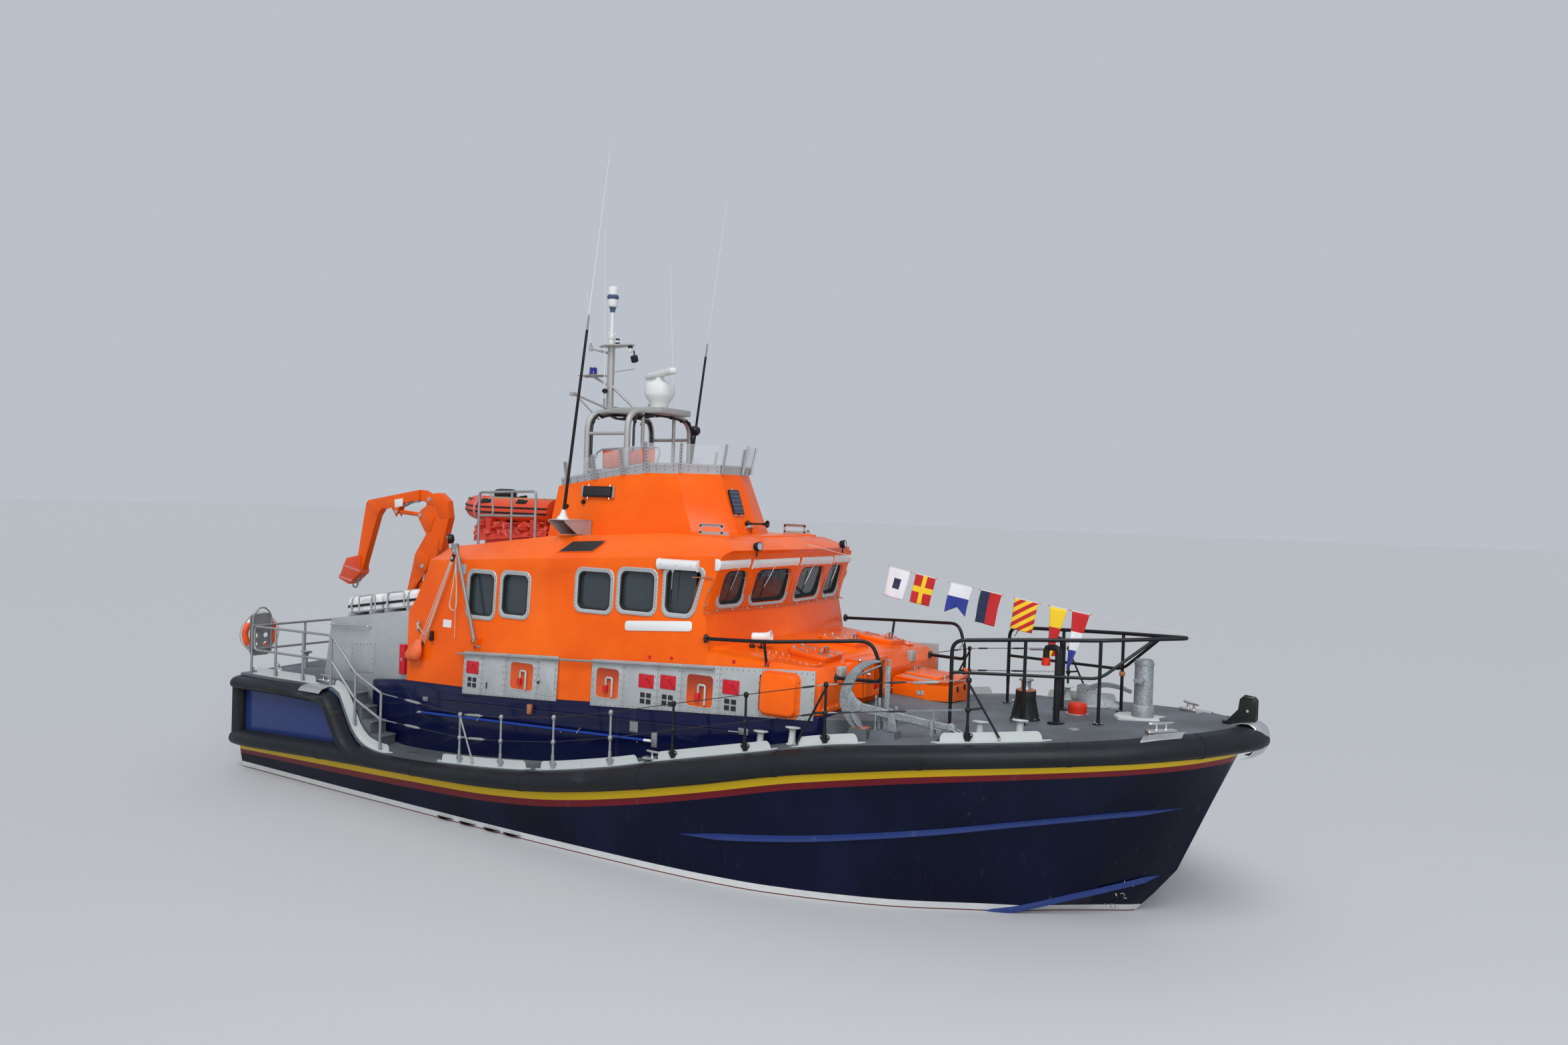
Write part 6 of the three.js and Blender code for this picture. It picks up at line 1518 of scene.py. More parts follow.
cloth_rail = Shape(rail_alloy)
cloth_rail.tube([(-1.52, -0.97, 5.38), (-1.52, -0.90, 5.70), (-1.50, -0.83, 5.89), (-1.42, -0.785, 5.945),
                 (-0.36, -0.785, 5.985), (-0.28, -0.785, 5.97), (-0.25, -0.80, 5.88), (-0.25, -0.96, 5.50)],
                0.016, 12)
cloth_rail.tube([(-1.51, -0.93, 5.60), (-0.25, -0.93, 5.60)], 0.012, 10)
cloth_rail.make("weather_cloth_rail", slot="alloy")
weather_cloth = fitted("weather_cloth", cloth_panel(), [cloth_orange], crease=80)
thick = weather_cloth.modifiers.new("thickness", "SOLIDIFY")
thick.thickness = 0.0012

# Tub fittings
# A black flood-light bar and a vent slot on each side, a solar panel and the horn on the front,
# and a drilled foothold on the roof beside the tub.
TUB_FOOT = [(-2.25, 1.15), (0.06, 1.15), (0.62, 0.95), (1.15, 0.45), (1.26, 0.0)]
TUB_FOOT_Z = 4.40


def tub_spot(leg, along, up, side=-1):
    """A place on the leg-th face of the tub, by shares along and up that face."""
    feet = [Vector((*TUB_FOOT[leg + k], TUB_FOOT_Z)) for k in (0, 1)]
    tops = [Vector(RIM[leg + k]) for k in (0, 1)]
    low, high = feet[0].lerp(feet[1], along), tops[0].lerp(tops[1], along)
    spot = low.lerp(high, up)
    spot.y *= side
    run = (feet[1] - feet[0]).normalized()
    rise = (high - low).normalized()
    run.y *= side
    rise.y *= side
    rise = (rise - rise.dot(run) * run).normalized()
    made = Spot(spot, run, rise)
    return made if made.out.dot(Vector((0.3, side, 0.3))) > 0 else made.flipped()


tub_gear = Shape(black_iron)
for side in (-1, 1):
    spot = tub_spot(0, 0.47, 0.80, side)
    tub_gear.paint(black_iron).plate(spot.lay(rounded(0.60, 0.17, 0.01, 3), 0.01), spot.out * 0.055, 0.006)
    # The dark plate on the bar's face is painted shade in its slot.
    tub_gear.paint(hole_shade).plate(spot.lay(rounded(0.54, 0.125, 0.008, 3), 0.062), spot.out * 0.006, 0.002)
    tub_gear.paint(stainless)
    for u in (-0.315, 0.315):
        tub_gear.block(spot(u, 0, 0.03), (0.03, 0.19, 0.06), spot.matrix(), 0.005)
    for u in (-0.22, 0.22):
        tub_gear.turned([(0.009, 0), (0.009, 0.035)], spot(u, 0.085, 0.03), spot.up, 10)
        tub_gear.turned([(0.009, 0), (0.009, 0.035)], spot(u, -0.12, 0.03), spot.up, 10)
    tub_gear.paint(black_iron).turned([(0.035, 0), (0.04, 0.02), (0.03, 0.05), (0.0, 0.055)],
                                      spot(-0.30, -0.17, 0.0), spot.out, 16)
    tub_gear.turned([(0.03, 0), (0.036, 0.02), (0.026, 0.045), (0.0, 0.05)],
                    tub_spot(0, 0.13, 0.62, side)(0, 0), spot.out, 16)
solar_blue = Finish("solar cell", (0.012, 0.022, 0.055), 0.12, coat_weight=0.5)
grid = (solar_blue.axis("Z").math("PINGPONG", 0.032) < 0.0022)
solar_blue.wear(
    solar_blue.mixed(solar_blue.mixed((0.010, 0.020, 0.05), (0.022, 0.036, 0.08), solar_blue.cells(30)),
                     (0.20, 0.22, 0.24), grid), "Base Color")
spot = tub_spot(3, 0.30, 0.62, -1)
tub_gear.paint(black_iron).plate(spot.lay(rounded(0.22, 0.40, 0.008, 3), 0.02), spot.out * 0.022, 0.003)
tub_gear.paint(solar_blue).plate(spot.lay(rounded(0.19, 0.37, 0.004, 3), 0.0425), spot.out * 0.002)
tub_gear.paint(plate_alloy)
for u, v in ((-0.06, -0.21), (0.06, -0.21), (0, 0.205)):
    tub_gear.block(spot(u, v, 0.012), (0.03, 0.05, 0.03), spot.matrix(), 0.004)
spot = tub_spot(3, 0.55, 0.32, -1)
tub_gear.block(spot(0, -0.03, 0.04), (0.10, 0.04, 0.09), spot.matrix(), 0.005)
horn = spot(0, 0.02, 0.06)
forward = Vector((1, -0.10, 0.015)).normalized()
tub_gear.paint(black_iron).turned([(0.0, -0.07), (0.036, -0.065), (0.042, -0.03), (0.036, 0.0),
                                   (0.016, 0.02), (0.013, 0.20), (0.016, 0.26), (0.028, 0.31),
                                   (0.055, 0.35), (0.058, 0.352), (0.045, 0.335), (0.0, 0.30)], horn,
                                  forward, 24)
tub_gear.tube(spot.path([(0.02, 0.10, 0.02), (0.05, 0.03, 0.04), (0.06, -0.06, 0.03), (0.02, -0.11, 0.01)]),
              0.006, 8)
tub_gear.make("tub_gear", slot="black_paint")

foothold = Shape(orange)
HOLD = {"aft": 0.86, "fore": 1.40, "y": 1.22, "foot": 4.585}
for side in (-1, 1):
    y = side * HOLD["y"]
    foothold.paint(orange).block(((HOLD["aft"] + HOLD["fore"]) / 2 + 0.02, y, HOLD["foot"] + 0.03),
                                 (HOLD["fore"] - HOLD["aft"] + 0.06, 0.16, 0.09), edge=0.01)
    foothold.paint(plate_alloy)
    base = HOLD["foot"] + 0.075
    for z0, z1 in ((0.0, 0.045), (0.115, 0.16)):
        foothold.plate([(x, y - 0.003, base + z) for x, z in (
            (HOLD["aft"], z0), (HOLD["fore"] - z0 * 0.8, z0), (HOLD["fore"] - z1 * 0.8, z1),
            (HOLD["aft"], z1))], (0, 0.006, 0))
    for x0, x1 in ((HOLD["aft"], HOLD["aft"] + 0.035), (HOLD["fore"] - 0.16, HOLD["fore"] - 0.12)):
        foothold.plate([(x, y - 0.003, base + z)
                        for x, z in ((x0, 0.02), (x1, 0.02), (x1, 0.14), (x0, 0.14))], (0, 0.006, 0))
    foothold.block(((HOLD["aft"] + HOLD["fore"]) / 2 - 0.05, y, base + 0.158), (0.40, 0.05, 0.006),
                   edge=0.002)
foothold.make("footholds", slot="alloy")

# The roof vent slots are dark plates in an orange lip, painted shade in the openings.
roof_slots = Shape(hole_shade)


def roof_side(x, z, side, proud=0.0):
    """A point on the roof's sloping side, between its knuckle and its upper edge."""
    low = smooth_at(ROOF_LOW, x, 1)
    high = smooth_at(ROOF_HIGH, x, 1)
    share = (z - low) / (high - low)
    foot_y = wall_y(low)
    y = foot_y + (1.5 - foot_y) * share
    way = Vector((0, side * (high - low), foot_y - 1.5)).normalized()
    return Vector((x, side * y, z)) + way * proud, way


ROOF_LOW = [(-4.50, 4.00), (-3.20, 4.08), (-0.42, 4.26), (1.74, 4.39), (2.40, 4.42)]
ROOF_HIGH = [(-4.50, 4.20), (-3.70, 4.285), (-1.92, 4.51), (0.46, 4.66), (1.50, 4.62), (2.40, 4.52)]
for side in (-1, 1):
    outline = [roof_side(x, z, side, 0.002)[0]
               for x, z in ((-1.36, 4.29), (-0.66, 4.335), (-0.58, 4.50), (-1.24, 4.46))]
    way = roof_side(-1, 4.4, side)[1]
    roof_slots.paint(hole_shade).plate(outline, way * 0.003)
    roof_slots.paint(orange).tube(outline + outline[:1], 0.007, 8)
roof_slots.make("roof_vent_slots", slot="orange_paint")

# Mast and radar
# Two welded alloy hoops carry a platform with the radar; a pole behind them carries the lights,
# the yard plate and a white satellite drum. Cable looms run down inside the hoops.
mast_grey = bare_metal("mast alloy", (0.38, 0.38, 0.37), 0.5, 0.35, 0.15)


def bent(points, radius, each=5):
    """A path whose corners are rounded to a bend radius."""
    given = [Vector(p) for p in points]
    path = [given[0]]
    for before, corner, after in zip(given, given[1:], given[2:]):
        back, on = (before - corner), (after - corner)
        reach = min(radius, back.length * 0.49, on.length * 0.49)
        start, end = corner + back.normalized() * reach, corner + on.normalized() * reach
        for k in range(each + 1):
            t = k / each
            path.append((1 - t) ** 2 * start + 2 * t * (1 - t) * corner + t * t * end)
    return path + [given[-1]]


ARCH = {"fore": -0.87, "aft": -1.70, "y": 0.85, "foot": 4.45, "top": 6.64, "radius": 0.05}


def hoop(x, top_x):
    return bent([(x, -ARCH["y"], ARCH["foot"]), (x, -ARCH["y"], ARCH["top"] - 0.12),
                 (top_x, -0.30, ARCH["top"] - 0.03), (top_x, 0.30, ARCH["top"] - 0.03),
                 (x, ARCH["y"], ARCH["top"] - 0.12), (x, ARCH["y"], ARCH["foot"])], 0.34, 7)


mast = Shape(mast_grey)
for x, top_x in ((ARCH["fore"], -0.95), (ARCH["aft"], -1.60)):
    mast.tube(hoop(x, top_x), ARCH["radius"], 20)
for side in (-1, 1):
    for z in (5.60, 6.20):
        mast.tube([(ARCH["aft"], side * ARCH["y"], z), (ARCH["fore"], side * ARCH["y"], z)], 0.028, 14)
    mast.tube([(-0.90, side * 0.42, 6.57), (-0.90, side * 0.42, 5.3)], 0.03, 14)
mast.plate([(-1.75, -0.42, 6.56), (-0.55, -0.42, 6.56), (-0.55, 0.42, 6.56), (-1.75, 0.42, 6.56)],
           (0, 0, 0.10), 0.012)
mast.block((-1.86, 0, 6.61), (0.34, 0.14, 0.10), edge=0.01)
mast.tube([(-1.96, 0, 6.60), (-1.96, 0, 7.76)], 0.062, 24)
mast.tube([(-1.96, 0, 7.10), (-1.35, 0, 6.63)], 0.026, 14)
mast.tube([(-1.93, 0, 7.05), (-2.34, 0, 7.24)], 0.02, 12)
mast.tube([(-1.96, 0, 7.62), (-2.40, 0, 7.73)], 0.02, 12)
mast.tube([(-2.42, 0, 7.69), (-2.42, 0, 7.78)], [0.03, 0.034], 14)
mast.tube([(-1.96, -0.02, 7.30), (-1.40, -0.05, 7.34)], 0.008, 8)
mast.plate([(x, y, 7.742) for x, y in ((-2.22, -0.02), (-1.96, -0.17), (-1.50, -0.06), (-1.50, 0.06),
                                       (-1.96, 0.17), (-2.22, 0.02))], (0, 0, 0.026), 0.006)
mast.block((-2.24, 0, 7.245), (0.56, 0.05, 0.03), edge=0.008)
mast.plate([(x, y, 7.255) for x, y in ((-2.62, -0.10), (-2.30, -0.14), (-2.05, -0.06), (-2.05, 0.06),
                                       (-2.30, 0.14), (-2.62, 0.10))], (0, 0, 0.012), 0.004)
for side in (-1, 1):
    mast.tube([(-1.60, side * 0.30, 6.60), (-1.86, side * 1.0, 6.83)], 0.018, 12)
    mast.tube([(-1.72, side * 0.55, 6.45), (-1.86, side * 1.0, 6.83)], 0.012, 10)
    mast.block((-1.87, side * 1.03, 6.83), (0.08, 0.10, 0.06), edge=0.01)
mast.make("mast_frame", replaces=["mast"], slot="alloy")

white_shell = sprayed("white plastic shell", (0.68, 0.69, 0.68), 0.32, grime=(0.42, 0.42, 0.40),
                      streaks=0.3)
slate_blue = sprayed("slate blue plastic", (0.055, 0.085, 0.15), 0.4, streaks=0.1)
head = Shape(white_shell)
for finish, x, y, sides, profile in (
        (white_shell, -1.96, 0, 28, [(0.040, 7.765), (0.046, 7.80), (0.044, 7.86), (0.052, 7.87),
                                     (0.058, 7.91), (0.054, 7.95), (0.036, 7.96), (0.034, 8.34)]),
        (slate_blue, -1.96, 0, 28, [(0.034, 8.33), (0.044, 8.335), (0.046, 8.39), (0.060, 8.40),
                                    (0.062, 8.42)]),
        (white_shell, -1.96, 0, 32, [(0.062, 8.415), (0.082, 8.435), (0.085, 8.46), (0.085, 8.555)]),
        (slate_blue, -1.96, 0, 32, [(0.085, 8.55), (0.098, 8.565), (0.101, 8.585), (0.097, 8.61),
                                    (0.085, 8.625)]),
        (white_shell, -1.96, 0, 32, [(0.085, 8.62), (0.083, 8.73), (0.078, 8.755), (0.06, 8.768),
                                     (0, 8.77)]),
        (white_shell, -1.98, -0.05, 12, [(0.013, 7.955), (0.013, 7.99), (0, 8.0)]),
        (white_shell, -1.92, 0.05, 12, [(0.013, 7.955), (0.013, 7.99), (0, 8.0)]),
        (black_iron, -1.83, 0, 20, [(0.042, 7.765), (0.042, 7.80), (0.034, 7.81)]),
        (white_shell, -1.83, 0, 20, [(0.033, 7.80), (0.033, 7.85)]),
        (black_iron, -1.83, 0, 20, [(0.036, 7.845), (0.034, 7.875), (0, 7.88)]),
        (black_iron, -1.55, 0, 20, [(0.0, 7.775), (0.042, 7.77), (0.042, 7.70)]),
        (white_shell, -1.55, 0, 20, [(0.034, 7.71), (0.034, 7.645), (0.028, 7.63), (0, 7.625)])):
    head.paint(finish).turned(profile, (x, y, 0), sides=sides)
head.make("mast_head", slot="white_shell")

beacon_blue = Finish("blue lens", (0.008, 0.010, 0.16), 0.12, coat_weight=0.5)
beacon_blue.wear(beacon_blue.mixed((0.006, 0.008, 0.12), (0.015, 0.02, 0.28), beacon_blue.noise(20, 2)),
                 "Base Color")
beacon = Shape(black_iron)
beacon.turned([(0.08, 7.262), (0.08, 7.285), (0.07, 7.29)], (-2.35, 0, 0), sides=28)
beacon.paint(beacon_blue).turned([(0.068, 7.285), (0.068, 7.385), (0.062, 7.40), (0, 7.405)], (-2.35, 0, 0),
                                 sides=28)
beacon.paint(black_iron)
beacon.block((-1.47, 0.02, 7.52), (0.10, 0.10, 0.12), Matrix.Rotation(0.4, 3, "X"), 0.02, 3)
beacon.tube([(-1.48, 0.01, 7.66), (-1.47, 0.02, 7.56)], 0.014, 10)
beacon.turned([(0.0, 0), (0.04, 0.005), (0.045, 0.05), (0.03, 0.10)], (-1.98, -0.09, 6.98), (0.3, -1, -0.1),
              20)
beacon.turned([(0.05, 0), (0.05, 0.03), (0.035, 0.035)], (-1.66, -0.2, 6.655), (0, 0, 1), 20)
beacon.turned([(0.075, -0.05), (0.088, 0), (0.088, 0.08), (0.06, 0.12), (0, 0.125)], (-0.86, 0.92, 6.36),
              (1, 0, 0.1), 24)
beacon.make("mast_lights", slot="black_paint")

looms = Shape(black_iron)
for side in (-1, 1):
    for k, (dx, dy) in enumerate(((0.065, -0.03), (0.07, 0.02))):
        path = [p + Vector((dx, -math.copysign(0.055, p.y) + dy if abs(p.y) > 0.5 else dy, -0.06
                            if abs(p.y) < 0.7 else 0))
                for p in hoop(ARCH["fore"] if k else ARCH["aft"], -0.95 if k else -1.60)
                if p.y * side > 0.0]
        looms.tube(path, 0.020 if k else 0.024, 10)
        for j in range(3, len(path) - 1, 4):
            run = (path[j + 1] - path[j]).normalized()
            looms.turned([(0.03, 0), (0.032, 0.012), (0.03, 0.024)], path[j], run, 12)
sagging = [(-1.72, -0.25, 6.53), (-1.55, -0.36, 6.49), (-1.3, -0.40, 6.48), (-1.05, -0.36, 6.51),
           (-0.9, -0.28, 6.54)]
for k in range(4):
    looms.tube(smooth_path([(x, y + 0.05 * k, z - 0.012 * (k % 2)) for x, y, z in sagging], 4), 0.013, 8)
looms.make("cable_looms", slot="black_paint")

radar = Shape(white_shell)
radar.turned([(0.145, 6.655), (0.150, 6.67), (0.152, 6.74), (0.185, 6.79), (0.235, 6.86), (0.250, 6.90),
              (0.250, 7.03), (0.240, 7.075), (0.20, 7.10), (0.125, 7.11)], (-0.90, 0, 0), sides=40)
radar.turned([(0.12, 7.10), (0.115, 7.125), (0.075, 7.14), (0.07, 7.185)], (-0.90, 0, 0), sides=32)
radar.make("radar_pedestal", slot="white_shell")


def squared(value, power):
    """A cosine or sine pushed outwards, which turns a circle into a rounded square."""
    return math.copysign(abs(value) ** power, value)


scanner = Shape(white_shell)
turn = Matrix.Rotation(math.radians(148), 3, "Z")
rows = []
for share in (-1, -0.985, -0.93, -0.6, 0, 0.6, 0.93, 0.985, 1):
    shrink = {1: 0.55, 0.985: 0.85}.get(abs(share), 1.0)
    rows.append([Vector((-0.90, 0, 7.245)) + turn @ Vector((
        0.62 * share, 0.056 * shrink * squared(math.cos(a), 0.6),
        0.053 * shrink * squared(math.sin(a), 0.6)))
        for a in turns(20)])
scanner.skin(rows)
scanner.turned([(0.068, 7.186), (0.06, 7.20), (0.09, 7.21)], (-0.90, 0, 0), sides=28)
scanner.make("radar_beam", body="radar_scanner", replaces=["radar_scanner"], slot="white_shell", crease=50)

# Whip aerials
# Two tall aerials on plated outriggers beside the tub: a black sleeve from a white cone, then a
# thin white whip. Three shorter white whips stand on the mast.
whip_white = sprayed("white whip", (0.62, 0.63, 0.62), 0.35, streaks=0.1)
WHIP = {"x": -1.50, "y": 1.60, "foot": 4.56, "base": 4.80, "joint": 7.75, "tip": 10.47, "lean": 0.13}


def whip_spot(side, z):
    return Vector((WHIP["x"] + (z - WHIP["base"]) * WHIP["lean"], side * WHIP["y"], z))


for side, word in ((-1, "starboard"), (1, "port")):
    whip = Shape(black_iron)
    whip.tube([whip_spot(side, z) for z in (4.93, 5.4, 6.2, 7.0, WHIP["joint"])],
              [0.027, 0.025, 0.024, 0.022, 0.021], 16)
    whip.paint(galvanised).tube([whip_spot(side, 7.74), whip_spot(side, 7.78), whip_spot(side, 7.98)],
                                [0.021, 0.017, 0.014], 12)
    whip.paint(whip_white).tube([whip_spot(side, 7.96), whip_spot(side, 8.6), whip_spot(side, 9.4),
                                 whip_spot(side, 10.1), whip_spot(side, WHIP["tip"])],
                                [0.011, 0.010, 0.008, 0.0065, 0.005], 10)
    whip.paint(white_shell).turned([(0.10, 0.0), (0.10, 0.015), (0.055, 0.075), (0.034, 0.14),
                                    (0.03, 0.165)],
                                   whip_spot(side, 4.79), (0.10, 0, 1), 28)
    whip.paint(black_iron).turned([(0.02, 0.15), (0.02, 0.20)], whip_spot(side, 4.79), (0.13, 0, 1), 14)
    whip.paint(plate_alloy)
    top = 4.785
    inner, outer = side * 1.14, side * 1.76
    whip.plate([(-1.66, inner, top), (-1.66, outer, top), (-1.30, outer, top), (-1.30, inner, top)],
               (0, 0, 0.010), 0.003)
    for x in (-1.655, -1.315):
        whip.plate([(x, inner, top), (x, outer, top), (x, outer, top - 0.03), (x, side * 1.47, top - 0.22),
                    (x, inner, top - 0.24)], (0.008, 0, 0))
    whip.block((WHIP["x"], side * 1.47, top - 0.225), (0.36, 0.12, 0.01), edge=0.003)
    whip.make(f"whip_{word}", replaces=[f"whip_aerial_{word}"], slot="black_paint")
thin = Shape(whip_white)
for foot, tip in (((-1.98, -0.12, 6.70), (-2.08, -0.12, 9.75)), ((-1.06, 0.62, 6.55), (-1.22, 0.62, 9.20)),
                  ((-2.42, 0, 7.78), (-2.54, 0, 8.72))):
    foot, tip = Vector(foot), Vector(tip)
    thin.paint(galvanised).tube([foot, foot.lerp(tip, 0.05)], 0.015, 10)
    thin.paint(whip_white).tube([foot.lerp(tip, 0.045), foot.lerp(tip, 0.4), tip], [0.010, 0.008, 0.005], 8)
thin.paint(mast_grey).tube([(-1.75, -0.12, 6.64), (-1.98, -0.12, 6.70)], 0.012, 8)
thin.tube([(-1.0, 0.40, 6.60), (-1.06, 0.62, 6.57)], 0.012, 8)
thin.make("thin_whips", slot="white_shell")

# Inflatable tender
# Sewn and glued fabric tubes in orange-red with black rubbing strakes and patches, a floor and a
# transom, lashed on painted chocks on the roof. A folded cover is tucked round its foot.
tube_red = Finish("tender fabric", (0.62, 0.050, 0.008), 0.42)
tube_red.wear(tube_red.mixed((0.50, 0.035, 0.007), (0.72, 0.075, 0.012), tube_red.noise(2.4, 4)),
              "Base Color")
tube_red.wear(tube_red.noise(6, 5) * 0.22 + 0.30, "Roughness")
tube_red.bumped(tube_red.noise(420, 1) * 0.25 + tube_red.noise(5, 2), 0.003, 0.4)
cover_red = Finish("red cover cloth", (0.52, 0.026, 0.008), 0.45)
cover_red.wear(cover_red.mixed((0.36, 0.014, 0.006), (0.62, 0.045, 0.012), cover_red.noise(4, 5)),
               "Base Color")
cover_red.wear(cover_red.noise(7, 5) * 0.25 + 0.32, "Roughness")
cover_red.bumped(cover_red.noise(260, 2) * 0.3 + cover_red.noise(11, 4), 0.006, 0.7)
strap_pink = Finish("faded webbing", (0.62, 0.13, 0.13), 0.7)
strap_pink.wear(strap_pink.mixed((0.52, 0.09, 0.10), (0.70, 0.24, 0.22), strap_pink.noise(16, 4)),
                "Base Color")
strap_pink.bumped(strap_pink.cells(260), 0.0008, 0.8)

TENDER = {"radius": 0.205, "z": 4.88, "nose": -5.35, "stern": -2.70, "half": 0.48}
collar_line = bent([(TENDER["stern"], -TENDER["half"], TENDER["z"]),
                    (TENDER["nose"] + 0.90, -TENDER["half"], TENDER["z"]),
                    (TENDER["nose"] + TENDER["radius"], 0, TENDER["z"] + 0.06),
                    (TENDER["nose"] + 0.90, TENDER["half"], TENDER["z"]),
                    (TENDER["stern"], TENDER["half"], TENDER["z"])], 0.70, 10)
tender = Shape(tube_red)
tube_end = Vector((0.015, 0, 0))
tender.tube([collar_line[0] + tube_end, *collar_line, collar_line[-1] + tube_end],
            [0.150] + [TENDER["radius"]] * len(collar_line) + [0.150], 36)
for share in (0.14, 0.34, 0.5, 0.66, 0.86):
    k = int(share * (len(collar_line) - 1))
    run = (collar_line[k + 1] - collar_line[k]).normalized()
    tender.tube([collar_line[k], collar_line[k] + run * 0.02], TENDER["radius"] + 0.0025, 36)


def around_collar(degrees, proud=0.0):
    """A line along the tubes at an angle up from their outer side."""
    line = []
    for i, point in enumerate(collar_line):
        run = run_at(collar_line, i).normalized()
        out = Vector((-run.y, run.x, 0)).normalized()
        if out.dot(point - Vector((-3.6, 0, point.z))) < 0:
            out.negate()
        turn = math.radians(degrees)
        way = out * math.cos(turn) + Vector((0, 0, 1)) * math.sin(turn)
        line.append(point + way * (TENDER["radius"] + proud))
    return line


tender.paint(rubber)
for degrees in (-12, 14):
    tender.tube(around_collar(degrees, -0.004), 0.018, 10)
rope = around_collar(48, 0.012)
for k in range(2, len(rope) - 2, 4):
    run = (rope[k + 1] - rope[k]).normalized()
    out = (rope[k] - collar_line[k]).normalized()
    tender.paint(black_iron).block(rope[k] - out * 0.008, (0.09, 0.05, 0.016),
                                   Matrix((run, run.cross(out), out)).transposed(), 0.005)
for side in (-1, 1):
    for x in (-4.2, -3.35):
        spot = Spot((x, side * (TENDER["half"] + TENDER["radius"] * 0.62),
                     TENDER["z"] + TENDER["radius"] * 0.76), (1, 0, 0), (0, -side * 0.78, 0.62))
        spot = spot if spot.out.z > 0 else spot.flipped()
        tender.paint(black_iron).plate(spot.lay(rounded(0.26, 0.10, 0.04), -0.012), spot.out * 0.022, 0.004)
        tender.tube(spot.path([(-0.08, 0, 0.01), (-0.05, 0, 0.045), (0.05, 0, 0.045), (0.08, 0, 0.01)]),
                    0.010, 8)
tender.paint(strap_pink)
half_strap = Vector((0.025, 0, 0))
reach = TENDER["radius"] + 0.006
for side in (-1, 1):
    ring = []
    for k in range(11):
        turn = math.radians(-80 + 160 * k / 10)
        ring.append(Vector((-4.42, side * (TENDER["half"] + reach * math.cos(turn)),
                            TENDER["z"] + reach * math.sin(turn))))
    for near, far in zip(ring, ring[1:]):
        tender.face([tender.mesh.verts.new(p) for p in (
            near - half_strap, near + half_strap, far + half_strap, far - half_strap)])
tender.paint(black_iron).plate([(x, y, TENDER["z"] - 0.165)
                                for x, y in ((TENDER["stern"] + 0.05, -0.46),
                                             (TENDER["nose"] + 0.92, -0.46), (TENDER["nose"] + 0.48, -0.18),
                                             (TENDER["nose"] + 0.48, 0.18), (TENDER["nose"] + 0.92, 0.46),
                                             (TENDER["stern"] + 0.05, 0.46))], (0, 0, 0.04), 0.006)
tender.paint(white_box).block((TENDER["stern"] + 0.04, 0, TENDER["z"]), (0.04, 0.60, 0.34), edge=0.008)
oar = Finish("varnished oar", (0.52, 0.26, 0.09), 0.35)
oar.wear(oar.mixed((0.40, 0.18, 0.05), (0.60, 0.33, 0.13), oar.noise(8, 5, (0.1, 1, 1))), "Base Color")
tender.paint(oar)
for side in (-1, 1):
    tender.tube([(-4.35, side * 0.36, TENDER["z"] + 0.205), (-3.0, side * 0.42, TENDER["z"] + 0.215)],
                0.018, 10)
    tender.plate([(x, side * 0.355 + y, TENDER["z"] + 0.20)
                  for x, y in ((-4.35, -0.02), (-4.42, -0.06), (-4.82, -0.055), (-4.84, 0.055),
                               (-4.42, 0.06), (-4.35, 0.02))], (0, 0, 0.012), 0.004)
tender.make("inflatable_tender", replaces=["tender"], slot="tender_fabric", crease=40)
refined("tender_cradle", cover_red, edge=0.01)


def tucked_cover(side):
    """Crumpled cloth that hangs from under the tube to the roof, in deep folds."""
    columns, rows = 120, 16
    points = []
    for j in range(rows + 1):
        t = j / rows
        for i in range(columns + 1):
            s = i / columns
            x = -4.38 + 1.72 * s
            fold = (0.055 * math.sin(31 * s + 3 * t) + 0.035 * math.sin(67 * s - 7 * t + side)
                    + 0.03 * math.sin(17 * s + 9 * t))
            deep = fold * math.sin(math.pi * min(1, t * 1.15 + 0.1)) ** 0.6
            y = 0.60 + 0.13 * t ** 1.4 + deep
            foot = 4.30 + 0.085 * (s * 1.8) + 0.02
            head = TENDER["z"] - 0.19 + 0.02 * math.sin(23 * s)
            z = head + (foot - head) * t + 0.025 * math.sin(41 * s + 6 * t) * math.sin(math.pi * t)
            points.append((x + 0.02 * math.sin(29 * t + 11 * s), side * y, z))
    return grid_mesh("cover", points, columns, rows)


for side, word in ((-1, "starboard"), (1, "port")):
    tucked = fitted(f"tucked_cover_{word}", tucked_cover(side), [cover_red], crease=180)
    thick = tucked.modifiers.new("thickness", "SOLIDIFY")
    thick.thickness = 0.0014

engine = Shape(black_iron)
rows = []
for z, length, width, shift in ((5.02, 0.30, 0.20, 0.02), (5.035, 0.34, 0.235, 0.01),
                                (5.10, 0.39, 0.265, 0.0), (5.17, 0.42, 0.28, 0.0), (5.22, 0.41, 0.27, 0.0),
                                (5.25, 0.35, 0.22, 0.01), (5.262, 0.24, 0.14, 0.02)):
    rows.append([Vector((-4.35 + shift + length / 2 * squared(math.cos(a), 0.55),
                         width / 2 * squared(math.sin(a), 0.55), z)) for a in turns(28)])
engine.skin(rows)
engine.paint(galvanised).block((-4.36, 0, 5.11), (0.427, 0.284, 0.018), edge=0.006)
engine.paint(black_iron)
engine.block((-4.13, 0, 4.95), (0.10, 0.12, 0.36), edge=0.02, segments=3)
engine.block((-4.13, 0, 5.06), (0.16, 0.19, 0.10), edge=0.03, segments=3)
engine.tube([(-4.10, 0, 5.06), (-3.95, -0.03, 5.12), (-3.78, -0.06, 5.13)], [0.02, 0.02, 0.028], 12)
engine.plate([(-4.30, -0.006, 4.772), (-3.92, -0.006, 4.772), (-3.95, -0.006, 4.80), (-4.27, -0.006, 4.80)],
             (0, 0.012, 0))
engine.block((-4.10, 0, 4.788), (0.38, 0.21, 0.018), edge=0.006)
